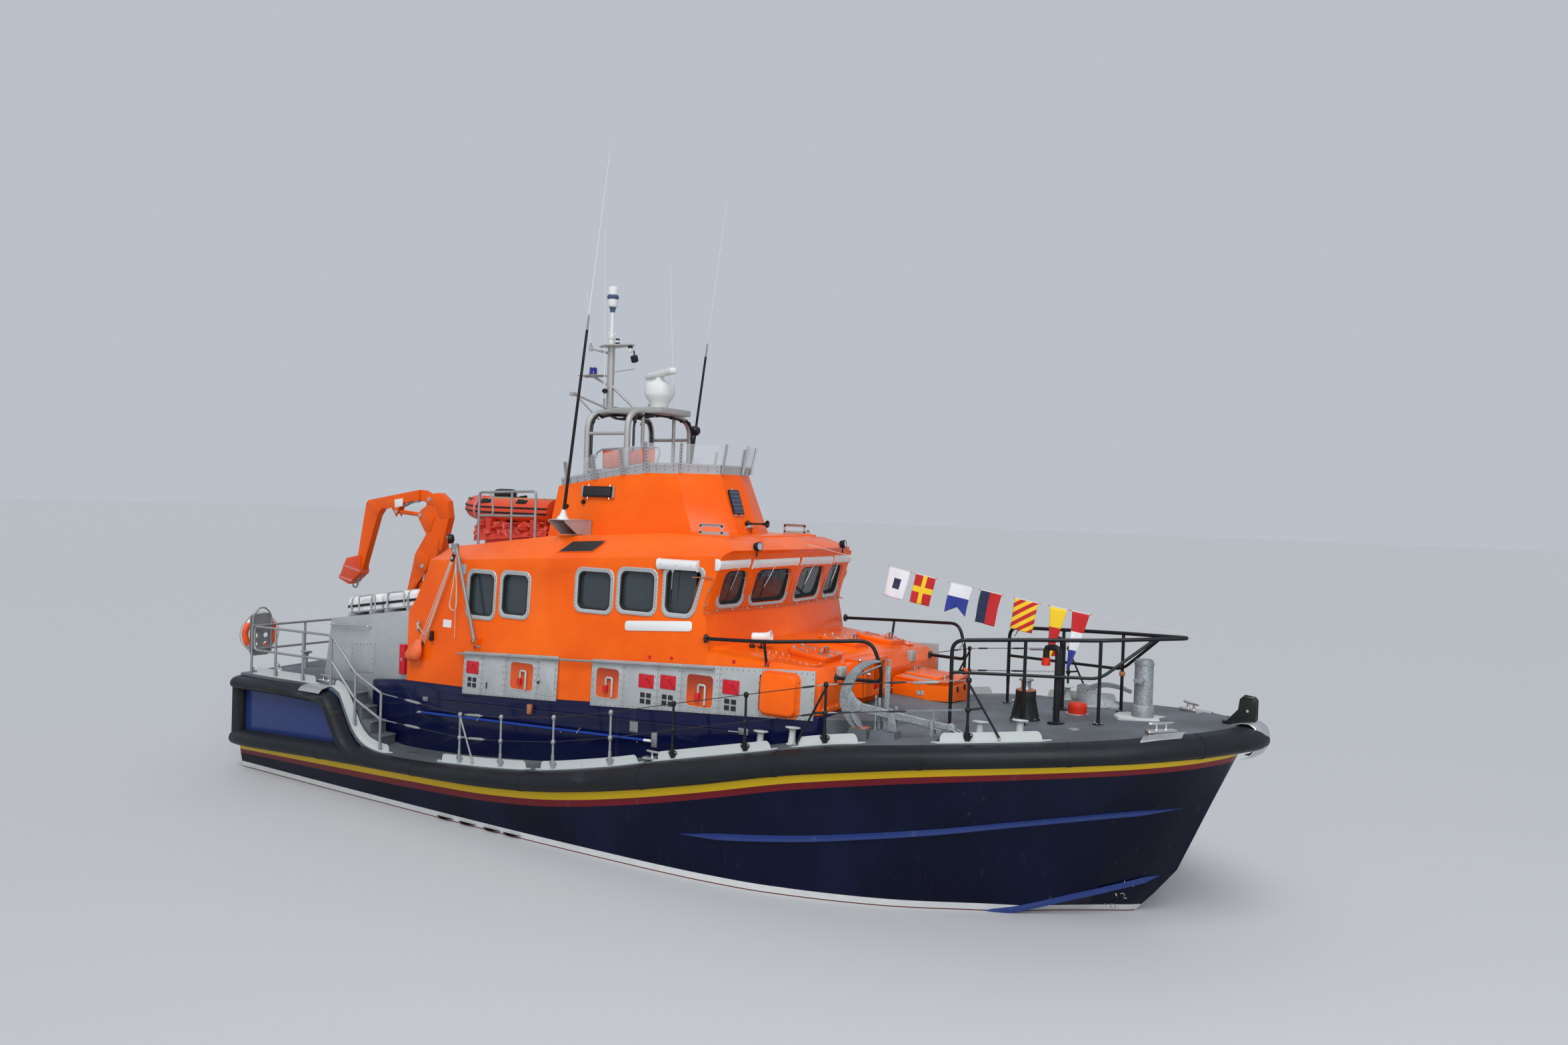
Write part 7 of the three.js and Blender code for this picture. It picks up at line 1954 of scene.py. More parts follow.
engine.make("outboard_engine", replaces=["tender_outboard"], slot="black_paint", crease=45)

# Roof guard rails
# Grey painted tube beside the tender, with two posts and a bent-in loop, welded to the roof.
for side, word in ((-1, "starboard"), (1, "port")):
    rail = Shape(rail_alloy)
    y = side * 1.35
    rail.tube(bent([(-3.6, y, 4.26), (-3.6, y, 5.18), (-2.75, y, 5.21), (-2.32, y, 5.225),
                    (-2.32, y, 4.42)], 0.07, 5), 0.022, 16)
    rail.tube([(-3.6, y, 4.79), (-2.32, y, 4.82)], 0.020, 14)
    rail.tube([(-2.85, y, 4.36), (-2.85, y, 5.205)], 0.020, 14)
    rail.tube(bent([(-3.50, y, 5.185), (-3.32, y, 5.18), (-3.26, y, 4.81), (-3.44, y, 4.795)], 0.10, 5),
              0.018, 14)
    for x, z in ((-3.6, 4.285), (-2.85, 4.375), (-2.32, 4.445)):
        rail.turned([(0.05, 0), (0.05, 0.012), (0.03, 0.02)], (x, y, z + 0.005), (0, 0, 1), 20)
    rail.make(f"roof_guard_{word}", replaces=[f"roof_rail_{word}"], slot="alloy")

# Life rafts
# Moulded white canisters with a black joint band, lashed on rails over the casing with grey webbing
# and steel buckles, and a low grab rail outboard.
CASING_TOP = [(-6.48, 2.87), (-4.495, 3.16)]


def casing_top(x):
    share = (x - CASING_TOP[0][0]) / (CASING_TOP[1][0] - CASING_TOP[0][0])
    return CASING_TOP[0][1] + share * (CASING_TOP[1][1] - CASING_TOP[0][1])


RAFT_STRAP = [(-0.395, -0.13), (-0.398, 0.03), (-0.385, 0.10), (-0.34, 0.142), (-0.28, 0.156)]
RAFT_STRAP += [(-v, h) for v, h in RAFT_STRAP[::-1]]
RAFT_BANDS = (  # foot and head from the middle, growth, finish, then (rise, inset) steps
    (-0.15, -0.045, 0.0, white_box, ((0.0, -0.05), (0.12, -0.018), (0.3, 0.0), (1.0, 0.0))),
    (-0.047, -0.005, 0.012, rubber, ((0.0, 0.0), (0.1, 0.002), (0.9, 0.002), (1.0, 0.0))),
    (-0.007, 0.15, 0.0, white_box, ((0.0, 0.0), (0.55, 0.0), (0.82, -0.02), (0.95, -0.05), (1.0, -0.10))),
)
rafts = Shape(white_box)
slope = (CASING_TOP[1][1] - CASING_TOP[0][1]) / (CASING_TOP[1][0] - CASING_TOP[0][0])
for x in (-6.02, -5.08):
    for y in (-1.35, 1.35):
        middle = casing_top(x) + 0.205
        for foot, head, grow, finish, steps in RAFT_BANDS:
            z0, z1 = middle + foot, middle + head
            rafts.paint(finish).skin([[
                Vector((x + u, y + v, z0 + (z1 - z0) * rise + u * slope))
                for u, v in rounded(0.86 + 2 * (grow + inset), 0.76 + 2 * (grow + inset), 0.10 + grow, 5)]
                for rise, inset in steps])
        for u in (-0.26, 0.26):
            loop = [Vector((x + u, y + v, middle + h + u * slope)) for v, h in RAFT_STRAP]
            rafts.paint(casing_alloy)
            half_strap = Vector((0.015, 0, 0))
            for a, b in zip(loop, loop[1:]):
                rafts.plate([a - half_strap, a + half_strap, b + half_strap, b - half_strap],
                            Vector((0, (b - a).z, -(b - a).y)).normalized() * -0.004)
            outer = math.copysign(1, y)
            rafts.paint(stainless).block((x + u, y + 0.402 * outer, middle - 0.01 + u * slope),
                                         (0.055, 0.012, 0.07), edge=0.004)
            rafts.tube([(x + u + along, y + out * outer, middle + up + u * slope) for along, out, up in (
                (-0.02, 0.41, -0.045), (0, 0.415, -0.08), (0.02, 0.41, -0.045))], 0.005, 8)
rafts.paint(casing_alloy)
for x in (-6.30, -5.75, -5.35, -4.80):
    rafts.block((x, 0, casing_top(x) + 0.032), (0.05, 3.56, 0.055), edge=0.004)
for side in (-1, 1):
    rafts.plate([(x, side * 1.025 - 0.025, casing_top(x) + z)
                 for x, z in ((-6.46, 0.006), (-4.56, 0.006), (-4.56, 0.05), (-6.46, 0.05))], (0, 0.05, 0))
    y = side * 1.80
    for near, far in ((-6.02, -5.60), (-5.28, -4.86)):
        rafts.tube(bent([(near, y, casing_top(near) + 0.05), (near, y, casing_top(near) + 0.34),
                         (far, y, casing_top(far) + 0.34), (far, y, casing_top(far) + 0.05)], 0.05, 5),
                   0.014, 12)
rafts.make("life_raft_stack", replaces=["life_rafts"], slot="white_paint", crease=40)

# Casing fittings
# Handrails and a bolted maintenance plate on each side of the casing, a red box for the line, and
# the after door with its wheel and dogs.
aft_fittings = Shape(stainless)
plate_bolts = []
for side in (-1, 1):
    y = side * 2.0
    aft_fittings.paint(stainless).tube(bent([(-6.44, y, 2.765), (-6.44, y + side * 0.06, 2.765),
                                             (-5.45, y + side * 0.06, 2.81), (-5.45, y, 2.81)], 0.03, 3),
                                       0.014, 12)
    for x, z in ((-6.44, 2.765), (-5.45, 2.81)):
        aft_fittings.turned([(0.032, 0), (0.032, 0.008), (0.016, 0.012)], (x, y, z), (0, side, 0), 16)
    outline = [(-5.95, 1.98), (-5.33, 2.02), (-5.32, 2.55), (-5.93, 2.51)]
    aft_fittings.paint(casing_alloy).plate([(x, y + side * 0.001, z) for x, z in outline],
                                           (0, side * 0.010, 0), 0.003)
    ring = [Vector((x, y + side * 0.013, z))
            for x, z in ((-5.91, 2.02), (-5.37, 2.055), (-5.36, 2.51), (-5.89, 2.47))]
    plate_bolts.append((ring + ring[:1], Vector((0, side, 0))))
    aft_fittings.paint(flap_red).block((-4.57, y + side * 0.03, 2.33), (0.13, 0.07, 0.50), edge=0.012,
                                       segments=3)
    aft_fittings.paint(stainless).block((-4.57, y + side * 0.068, 2.33), (0.03, 0.01, 0.06), edge=0.003)
aft_fittings.make("casing_fittings", slot="stainless")
studs("maintenance_plate_bolts", plate_bolts, 0.09, 0.011, 0.009, galvanised)
refined("aft_door", casing_alloy, "aft_door", 0.008)

# Crane
# Knuckle-boom crane folded over the quarterdeck: welded box booms in orange with doubler plates at
# the pins, two oil cylinders with bright rods, hoses, and a padded hook end under webbing straps.
crane_orange = sprayed("orange crane paint", (0.76, 0.095, 0.003), 0.3, grime=(0.25, 0.10, 0.04),
                       streaks=0.35)
for node, body in (("crane_pedestal", "boat"), ("crane_column", "crane_column"),
                   ("crane_lower_boom", "crane_lower_boom"), ("crane_upper_boom", "crane_upper_boom"),
                   ("luff_cylinder", "luff_cylinder"), ("jib_cylinder", "crane_upper_boom")):
    refined(node, crane_orange, body, 0.010, 3)
chrome = bare_metal("chromed rod", (0.70, 0.70, 0.71), 0.12, 1.0, 0.05)
refined("luff_rod", chrome, "luff_rod", 0.004)
refined("jib_rod", chrome, "jib_rod", 0.004)

BOOM_HALF = 0.078
boom_parts = Shape(crane_orange)


def doubler(shape, outline, side, half, thick=0.012):
    shape.plate([(x, side * half, z) for x, z in outline], (0, side * thick, 0), 0.004)


def pin_head(shape, x, z, side, half, radius=0.034):
    shape.turned([(radius * 1.25, 0), (radius * 1.25, 0.008), (radius, 0.012), (radius, 0.02),
                  (radius * 0.5, 0.022), (radius * 0.45, 0.016), (0, 0.016)], (x, side * half, z),
                 (0, side, 0), 20)


for side in (-1, 1):
    boom_parts.paint(crane_orange)
    doubler(boom_parts, [(-6.51, 4.02), (-6.42, 4.05), (-6.24, 3.92), (-6.235, 3.80), (-6.30, 3.64),
                         (-6.40, 3.62), (-6.61, 3.74), (-6.60, 3.93)], side, BOOM_HALF)
    doubler(boom_parts, [(-6.45, 4.56), (-6.45, 4.70), (-6.38, 4.77), (-6.22, 4.79), (-6.09, 4.70),
                         (-6.20, 4.40), (-6.33, 4.44)], side, BOOM_HALF)
    doubler(boom_parts, [(-6.34, 5.03), (-6.24, 5.10), (-6.01, 5.13), (-5.80, 4.99), (-5.75, 4.68),
                         (-5.96, 4.68), (-6.10, 4.92), (-6.32, 4.92)], side, BOOM_HALF, 0.008)
    doubler(boom_parts, [(-6.90, 2.93), (-6.82, 2.96), (-6.72, 3.17), (-6.60, 3.31), (-6.46, 3.47),
                         (-6.58, 3.52), (-6.72, 3.40), (-6.86, 3.08)], side, BOOM_HALF, 0.008)
    boom_parts.paint(stainless)
    for x, z in ((-6.39, 3.74), (-6.48, 4.71), (-6.25, 5.02)):
        pin_head(boom_parts, x, z, side, BOOM_HALF + 0.010)
    boom_parts.paint(crane_orange)
    path = [Vector((x, side * (BOOM_HALF + out), z)) for x, z, out in (
        (-6.02, 4.29, -0.01), (-5.95, 4.20, 0.055), (-5.93, 4.08, 0.055), (-5.98, 3.99, -0.01))]
    boom_parts.tube(bent(path, 0.05, 4), 0.012, 10)
boom_parts.make("lower_boom_details", body="crane_lower_boom", slot="crane_paint")

jib = Shape(crane_orange)
JIB_HALF = 0.065
for side in (-1, 1):
    jib.paint(crane_orange)
    doubler(jib, [(-7.48, 4.79), (-7.33, 4.84), (-7.19, 4.655), (-7.08, 4.92), (-6.86, 4.95), (-7.05, 5.06),
                  (-7.50, 4.97)], side, JIB_HALF, 0.006)
    doubler(jib, [(-8.06, 4.87), (-7.76, 4.66), (-7.64, 4.80), (-7.86, 4.98), (-8.00, 4.95)], side,
            JIB_HALF, 0.006)
    jib.paint(stainless)
    pin_head(jib, -7.18, 4.76, side, JIB_HALF + 0.006, 0.03)
    jib.paint(white_box).plate(
        [(x, side * (JIB_HALF + 0.001), z)
         for x, z in ((-7.24, 4.99), (-7.01, 5.02), (-7.005, 4.87), (-7.23, 4.83))]
        if side < 0 else
        [(x, side * (JIB_HALF + 0.001), z)
         for x, z in ((-7.24, 5.00), (-7.01, 5.03), (-7.005, 4.98), (-7.23, 4.95))],
        (0, side * 0.008, 0), 0.002)
jib.paint(galvanised)
for k in range(3):
    jib.tube(smooth_path([(-7.05, -0.03 + 0.03 * k, 4.86), (-6.85, -0.03 + 0.03 * k, 4.935),
                          (-6.66, -0.01 * k, 4.96), (-6.58, 0.03 - 0.03 * k, 4.985)], 4), 0.009, 8)
jib.make("upper_boom_details", body="crane_upper_boom", slot="crane_paint")

hook = Shape(tube_red)
for side in (-1, 1):
    hook.paint(tube_red)
    hook.plate([(x, side * 0.108, z) for x, z in (
        (-8.57, 3.765), (-8.19, 3.84), (-8.175, 3.51), (-8.505, 3.28), (-8.78, 3.37))], (0, side * 0.006, 0),
               0.003)
hook.paint(strap_pink)
for (ax, az), (bx, bz) in (((-8.66, 3.63), (-8.17, 3.54)), ((-8.79, 3.40), (-8.40, 3.335))):
    run = Vector((bx - ax, 0, bz - az)).normalized()
    up = Vector((-run.z, 0, run.x))
    for side in (-1, 1):
        hook.plate([Vector((ax, side * 0.115, az)) - up * 0.022,
                    Vector((bx, side * 0.115, bz)) - up * 0.022,
                    Vector((bx, side * 0.115, bz)) + up * 0.022,
                    Vector((ax, side * 0.115, az)) + up * 0.022],
                   (0, side * 0.004, 0))
    for x, z in ((ax, az), (bx, bz)):
        hook.block((x, 0, z), (0.012, 0.236, 0.05), Matrix((run, Vector((0, 1, 0)), up)).transposed(),
                   0.002)
hook.paint(galvanised)
hook.tube(smooth_path([(-8.36, 0, 3.36), (-8.34, 0, 3.28), (-8.40, 0, 3.20), (-8.47, 0, 3.20),
                       (-8.50, 0, 3.25)], 4), 0.016, 10)
hook.turned([(0.02, 0), (0.034, 0.01), (0.034, 0.05), (0.02, 0.06)], (-8.34, 0, 3.345), (0, 0, 1), 16)
hook.make("hook_end", body="crane_upper_boom", slot="tender_fabric")

collar = Shape(stainless)
post_x = -6.90
for turn in turns(12):
    collar.turned([(0.016, 0), (0.016, 0.014), (0.010, 0.018)],
                  (post_x + 0.20 * math.cos(turn), 0.20 * math.sin(turn), deck_z(post_x) + 0.028), sides=6)
collar.paint(black_iron)
for y in (-0.03, 0.03):
    collar.tube(smooth_path([(-6.74, y, 1.90), (-6.72, y, 2.05), (-6.735, y, 2.22)], 4), 0.014, 8)
collar.make("crane_foot_bolts", slot="stainless")
column = Shape(stainless)
for side in (-1, 1):
    for x, z in ((-6.88, 2.95), (-6.60, 2.96)):
        pin_head(column, x, z, side, 0.107, 0.04)
column.make("crane_foot_pins", body="crane_column", slot="stainless")
floodlight = Shape(black_iron)
for side in (-1, 1):
    foot = Vector((-3.92, side * 1.62, 4.25))
    floodlight.paint(black_iron).tube([foot, foot + Vector((0, 0, 0.08))], 0.014, 10)
    floodlight.turned([(0.0, -0.03), (0.05, -0.025), (0.075, 0.0), (0.085, 0.06), (0.085, 0.075)],
                      foot + Vector((0, 0, 0.14)), (-0.6, -0.5 * -side, -0.12), 24)
    floodlight.paint(stainless).turned([(0.0, 0.068), (0.078, 0.07), (0.078, 0.078), (0, 0.08)],
                                       foot + Vector((0, 0, 0.14)), (-0.6, -0.5 * -side, -0.12), 24)
floodlight.make("deck_floodlights", slot="black_paint")

# Recovery davit
# A hinged alloy arm folded against the house with its rope tackle hauled taut to a cleat, the fall
# in a stowed bag and a spare bight hung from the head.
rope_white = Finish("white braided rope", (0.58, 0.56, 0.50), 0.8)
rope_white.wear(rope_white.mixed((0.40, 0.38, 0.33), (0.66, 0.64, 0.58), rope_white.noise(30, 4)),
                "Base Color")
rope_white.bumped(rope_white.cells(180, stretch=(1, 1, 0.5)), 0.0015, 0.9)
davit_arm = Shape(rail_alloy)
foot, top = Vector((-2.82, -2.12, 2.80)), Vector((-3.30, -2.12, 4.34))
davit_arm.tube([foot + (top - foot) * 0.02, foot.lerp(top, 0.5), top], 0.026, 18)
davit_arm.turned([(0.034, -0.021), (0.036, -0.012), (0.036, 0.012), (0.034, 0.021)], foot, (1, 0, 0), 20)
davit_arm.block((-3.31, -2.112, 4.26), (0.10, 0.072, 0.155), edge=0.008)
davit_arm.paint(stainless)
davit_arm.turned([(0.012, -0.05), (0.016, -0.045), (0.016, 0.045), (0.012, 0.05)], (-3.31, -2.11, 4.22),
                 (0, 1, 0), 12)
davit_arm.make("davit_arm", body="recovery_davit", replaces=["recovery_davit"], slot="alloy")

falls = Shape(black_iron)
upper, lower = Vector((-3.44, -2.045, 4.10)), Vector((-4.10, -2.075, 2.62))
run = (lower - upper).normalized()
across = Vector((0, -1, 0))
spread = run.cross(across)
turn = Matrix((run, across, spread)).transposed()
for end, way in ((upper, 1), (lower, -1)):
    falls.paint(black_iron).block(end, (0.13, 0.035, 0.07), turn, 0.014, 3)
    falls.paint(stainless).turned([(0.03, -0.022), (0.03, 0.022)], end, (0, 1, 0), 18)
    falls.tube([end - run * way * 0.06, end - run * way * 0.11, end - run * way * 0.12],
               [0.012, 0.010, 0.006], 8)
falls.paint(stainless).tube([upper - run * 0.11, Vector((-3.355, -2.085, 4.235))], 0.008, 8)
falls.paint(rope_white)
ROPE_STEPS = 12
for k in range(4):
    shift = spread * (-0.036 + 0.026 * k)
    top, foot_end = upper + run * 0.06 + shift * 0.6, lower - run * 0.06 + shift * 1.5
    falls.tube([top.lerp(foot_end, i / ROPE_STEPS) for i in range(ROPE_STEPS + 1)], 0.0048, 8)
falls.tube(smooth_path([upper + run * 0.03, (-3.60, -2.065, 3.70), (-3.75, -2.065, 3.35),
                        (-3.90, -2.065, 3.02), (-4.02, -2.06, 2.80), (-4.18, -2.06, 2.92)], 3), 0.0055, 8)
falls.tube([(-3.31 - 0.035 * i / ROPE_STEPS, -2.075 + 0.025 * i / ROPE_STEPS, 4.13 - 1.33 * i / ROPE_STEPS)
            for i in range(ROPE_STEPS + 1)], 0.0045, 6)
made_falls = falls.make("davit_falls", body=None, slot="galvanised")
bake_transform(made_falls)

tackle = Shape(galvanised)
spot = side_spot(-4.19, 2.93)
tackle.turned([(0.012, 0), (0.012, 0.035)], spot(0, 0.03), spot.out, 10)
tackle.turned([(0.012, 0), (0.012, 0.035)], spot(0, -0.03), spot.out, 10)
tackle.tube(spot.path([(-0.01, 0.10, 0.035), (0, 0.04, 0.042), (0, -0.04, 0.042), (-0.01, -0.10, 0.035)]),
            0.012, 10)
tackle.paint(rope_white)
for k in range(3):
    tackle.tube(spot.path([(-0.03, 0.05 - 0.01 * k, 0.052), (0.03, -0.05 + 0.01 * k, 0.056),
                           (-0.03, -0.06 + 0.01 * k, 0.050), (0.03, 0.06 - 0.01 * k, 0.056)]), 0.0065, 8)
spot = side_spot(-4.13, 2.61)
tackle.paint(stainless).turned([(0.03, 0), (0.03, 0.008), (0.012, 0.012), (0.012, 0.05)], spot(0, -0.04),
                               spot.out, 14)
spot = side_spot(-3.87, 2.80)
tackle.paint(black_iron).block(spot(0, 0, 0.035), (0.06, 0.14, 0.05), spot.matrix(), 0.016, 3)
tackle.turned([(0.038, -0.01), (0.038, 0.03)], spot(0.0, -0.06, 0.03), spot.out, 16)
spot = side_spot(-3.27, 3.92)
tackle.paint(plate_alloy).plate(spot.lay(rounded(0.14, 0.16, 0.015, 3)), spot.out * 0.01, 0.003)
tackle.block(spot(-0.03, 0.0, 0.035), (0.05, 0.08, 0.06), spot.matrix(), 0.006)
spot = side_spot(-2.82, 2.80)
tackle.block(spot(0.0, -0.02, 0.006), (0.12, 0.16, 0.012), spot.matrix(), 0.004)
spot = side_spot(-3.56, 3.015)
tackle.paint(white_box).plate(spot.lay(rounded(0.19, 0.125, 0.006, 3), 0.0005), spot.out * 0.0015)
tackle.make("davit_tackle", slot="galvanised")

BIGHT = [(-3.315, -2.085, 4.10), (-3.335, -2.088, 3.90), (-3.385, -2.088, 3.60), (-3.44, -2.085, 3.38),
         (-3.43, -2.083, 3.29), (-3.37, -2.082, 3.25), (-3.31, -2.083, 3.28), (-3.285, -2.085, 3.38),
         (-3.29, -2.088, 3.62), (-3.31, -2.09, 3.88), (-3.312, -2.092, 4.10)]
bight = Shape(rope_white)
strop_path = smooth_path(BIGHT, 3)
bight.tube(strop_path, 0.008, 10)
strop = bight.make("davit_strop", body="recovery_davit", slot="cover_cloth")
strop_length = sum((b - a).length for a, b in zip(strop_path, strop_path[1:]))

bag = Shape(cloth_orange)
spot = side_spot(-4.13, 2.50)
rows = []
for t, width, deep in ((0.0, 0.05, 0.03), (0.06, 0.07, 0.045), (0.16, 0.09, 0.06), (0.3, 0.12, 0.08),
                       (0.5, 0.16, 0.10), (0.7, 0.175, 0.11), (0.86, 0.165, 0.10), (0.96, 0.12, 0.07),
                       (1.0, 0.04, 0.03)):
    ring = []
    for a in turns(36):
        pleat = 1 + 0.07 * math.sin(a * 9 + t * 3) * (1 - t) + 0.03 * math.sin(a * 5 + 7 * t)
        ring.append(spot(width * pleat * math.cos(a) - 0.10 * t, 0.22 - 0.38 * t,
                         0.05 + deep * 0.5 + deep * pleat * math.sin(a) * 0.8))
    rows.append(ring)
bag.skin(rows)
bag.paint(rope_white).tube([spot(0.05 * math.cos(a), 0.185,
                                 0.065 + 0.035 * math.sin(a)) for a in turns(16)],
                           0.006, 8, closed=True)
made_bag = bag.make("fall_bag", slot="cover_cloth", crease=60)

# Quarter rails
# Bent alloy tube round the quarterdeck in looped lengths, its posts bolted to a light green upstand
# that runs down the quarter. A pierced plate in the starboard corner carries the lifebuoy.
RAIL_INSET = 0.09
RAIL_HEIGHT = 0.86
RAIL_DROP = 0.43
RAIL_TUBE = 0.021
QUARTER_POSTS = (-8.25, -7.46, -6.63, -5.83)
LOW_POSTS = ((-5.15, 2.08), (-4.48, 1.83))
UPSTAND = {"in": 0.114, "thick": 0.009, "high": 0.115, "out": 0.025, "round": 0.06, "wing": 0.10}


def rail_spot(x, side, rise=0.0, inset=RAIL_INSET):
    y = edge_y(x) - inset
    return Vector((x, side * y, deck_z(x, y) + rise))


def upstand(shape, start, end, side):
    """An angle along the deck edge from start to end, its upright rounded down at both ends."""
    reach, lip = UPSTAND["wing"], UPSTAND["thick"]
    stations = [start - reach, start] + [start + UPSTAND["round"] * s for s in (0.08, 0.3, 0.6, 1.0)]
    count = max(2, int((end - start) / 0.12))
    stations += [start + (end - start) * i / count for i in range(1, count)]
    stations += [end - UPSTAND["round"] * s for s in (1.0, 0.6, 0.3, 0.08)] + [end, end + reach]
    rings = []
    for x in sorted(stations):
        run = rail_spot(x + 0.02, side, 0, 0.05) - rail_spot(x - 0.02, side, 0, 0.05)
        up = Vector((-run.z, 0, run.x)).normalized()
        inside = min(x - start, end - x)
        ease = max(0.0, min(1.0, inside / UPSTAND["round"]))
        high = lip * 1.2 + (UPSTAND["high"] - lip) * math.sqrt(1 - (1 - ease) ** 2)
        flange = UPSTAND["out"] if inside >= 0 else UPSTAND["in"] - 0.02
        ring = []
        for inset, rise in ((flange, 0.0), (flange, lip), (UPSTAND["in"], lip), (UPSTAND["in"], high),
                            (UPSTAND["in"] + lip, high), (UPSTAND["in"] + lip, 0.0)):
            spot = rail_spot(x, side, 0, inset)
            ring.append(Vector((spot.x, spot.y, rail_spot(x, side, 0, 0.05).z)) + up * (rise + 0.004))
        rings.append(ring)
    shape.skin(rings)


def foot_plate(shape, x, side, steel, wide=0.11):
    """A small plate behind a post, bolted through the upstand."""
    foot = rail_spot(x, side)
    back = Vector((x, side * (edge_y(x) - UPSTAND["in"]), foot.z + 0.06))
    shape.block(back, (wide, 0.014, 0.085), edge=0.004)
    for along in (-wide * 0.36, wide * 0.36):
        shape.paint(steel).turned([(0.012, 0), (0.011, 0.010), (0.006, 0.014)],
                                  back + Vector((along, 0, 0)), (0, side, 0), 10)


rails = Shape(rail_alloy)
for side in (-1, 1):
    line = [(x, rail_spot(x, side, RAIL_HEIGHT).z) for x in (-8.16, -5.83)] + list(LOW_POSTS)
    top = [(x, side * (edge_y(x) - RAIL_INSET), z) for x, z in line]
    middle = [(x, y, z - RAIL_DROP) for x, y, z in top]
    rails.paint(rail_alloy).tube(bent(top[::-1] + middle, 0.11, 5), RAIL_TUBE, 14)
    corner = rail_spot(-8.25, side, RAIL_HEIGHT)
    across = [(corner.x, corner.y, corner.z), (corner.x, side * 0.04, corner.z),
              (corner.x, side * 0.04, corner.z - RAIL_DROP), (corner.x, corner.y, corner.z - RAIL_DROP)]
    rails.tube(bent(across + across[:1], 0.10, 5), RAIL_TUBE, 14)
    rails.tube([(corner.x, y, corner.z - RAIL_DROP) for y in (side * 0.05, side * (abs(corner.y) - 0.02))],
               RAIL_TUBE, 14)
    for x in QUARTER_POSTS:
        rails.paint(rail_alloy).tube([rail_spot(x, side, 0.0), rail_spot(x, side, RAIL_HEIGHT - 0.005)],
                                     0.022, 14)
        foot_plate(rails, x, side, stainless)
    for x, z in LOW_POSTS:
        foot = rail_spot(x, side)
        rails.paint(rail_alloy).tube([foot, (foot.x, foot.y, z - 0.005)], 0.022, 14)
        foot_plate(rails, x, side, stainless, 0.08)
    for y in (1.25, 0.45):
        foot = Vector((-8.25, side * y, deck_z(-8.25, y)))
        rails.paint(rail_alloy).tube([foot, (foot.x, foot.y, corner.z - 0.005)], 0.022, 14)
        rails.turned([(0.05, 0), (0.05, 0.010), (0.03, 0.016)], foot, sides=20)
    for x, drop in ((-6.6, 0.0), (-7.9, 0.0), (-6.6, RAIL_DROP), (-7.9, RAIL_DROP)):
        spot = rail_spot(x, side, RAIL_HEIGHT - drop)
        ahead = rail_spot(x + 0.05, side, RAIL_HEIGHT - drop)
        rails.tube([spot, ahead], 0.0255, 14)
rails.make("quarter_rail_tubes", replaces=["quarter_rails"], slot="alloy")

angles = Shape(pale_green)
for side in (-1, 1):
    upstand(angles, -8.10, -6.28, side)
    upstand(angles, -5.74, -4.28, side)
angles.make("quarter_upstands", slot="white_paint")

BUOY_PLATE = {"x": -8.300, "y": (-2.36, -1.93), "z": (2.05, 2.82), "thick": 0.012}


def pierced(name, outline, holes, thick, finish):
    """A flat plate with round holes, lying in X and Y about the origin."""
    sheet = bpy.data.curves.new(name, "CURVE")
    sheet.dimensions = "2D"
    sheet.fill_mode = "BOTH"
    sheet.extrude = thick / 2
    for row in [outline] + [[(u + r * math.cos(k * math.pi / 12), v + r * math.sin(k * math.pi / 12))
                             for k in range(24)] for u, v, r in holes]:
        spline = sheet.splines.new("POLY")
        spline.points.add(len(row) - 1)
        for point, (u, v) in zip(spline.points, row):
            point.co = (u, v, 0, 1)
        spline.use_cyclic_u = True
    holder = bpy.data.objects.new(name, sheet)
    mesh = bpy.data.meshes.new_from_object(holder)
    bpy.data.objects.remove(holder)
    mesh.materials.clear()
    mesh.materials.append(finish.material)
    return mesh


wide = BUOY_PLATE["y"][1] - BUOY_PLATE["y"][0]
tall = BUOY_PLATE["z"][1] - BUOY_PLATE["z"][0]
holes = [(u, v, 0.045) for u in (-0.10, 0.10) for v in (-0.18, -0.02)]
plate = pierced("lifebuoy_plate", rounded(wide, tall, 0.09), holes, BUOY_PLATE["thick"], rail_alloy)
stand = Matrix(((0, 0, 1, BUOY_PLATE["x"]), (1, 0, 0, sum(BUOY_PLATE["y"]) / 2),
                (0, 1, 0, sum(BUOY_PLATE["z"]) / 2), (0, 0, 0, 1)))
plate.transform(stand)
fitted("lifebuoy_plate", plate, [rail_alloy])
arms = Shape(rail_alloy)
for z in (2.20, 2.61):
    arms.tube([(-8.285, -2.31, z), (-8.285, -1.97, z)], 0.012, 10)
    for y in (-2.29, -2.00):
        arms.tube([(-8.292, y, z), (-8.245, y, z)], 0.010, 10)
arch = [(-8.262, -2.33, 2.60), (-8.262, -2.33, 2.80), (-8.262, -2.20, 2.93), (-8.262, -2.09, 2.93),
        (-8.262, -1.96, 2.80), (-8.262, -1.96, 2.60)]
arms.tube(bent(arch, 0.10, 5), 0.015, 12)
for y in (-2.33, -1.96):
    arms.tube([(-8.262, y, 2.60), (-8.262, y, 2.10)], 0.015, 12)
arms.make("lifebuoy_bracket", slot="alloy")

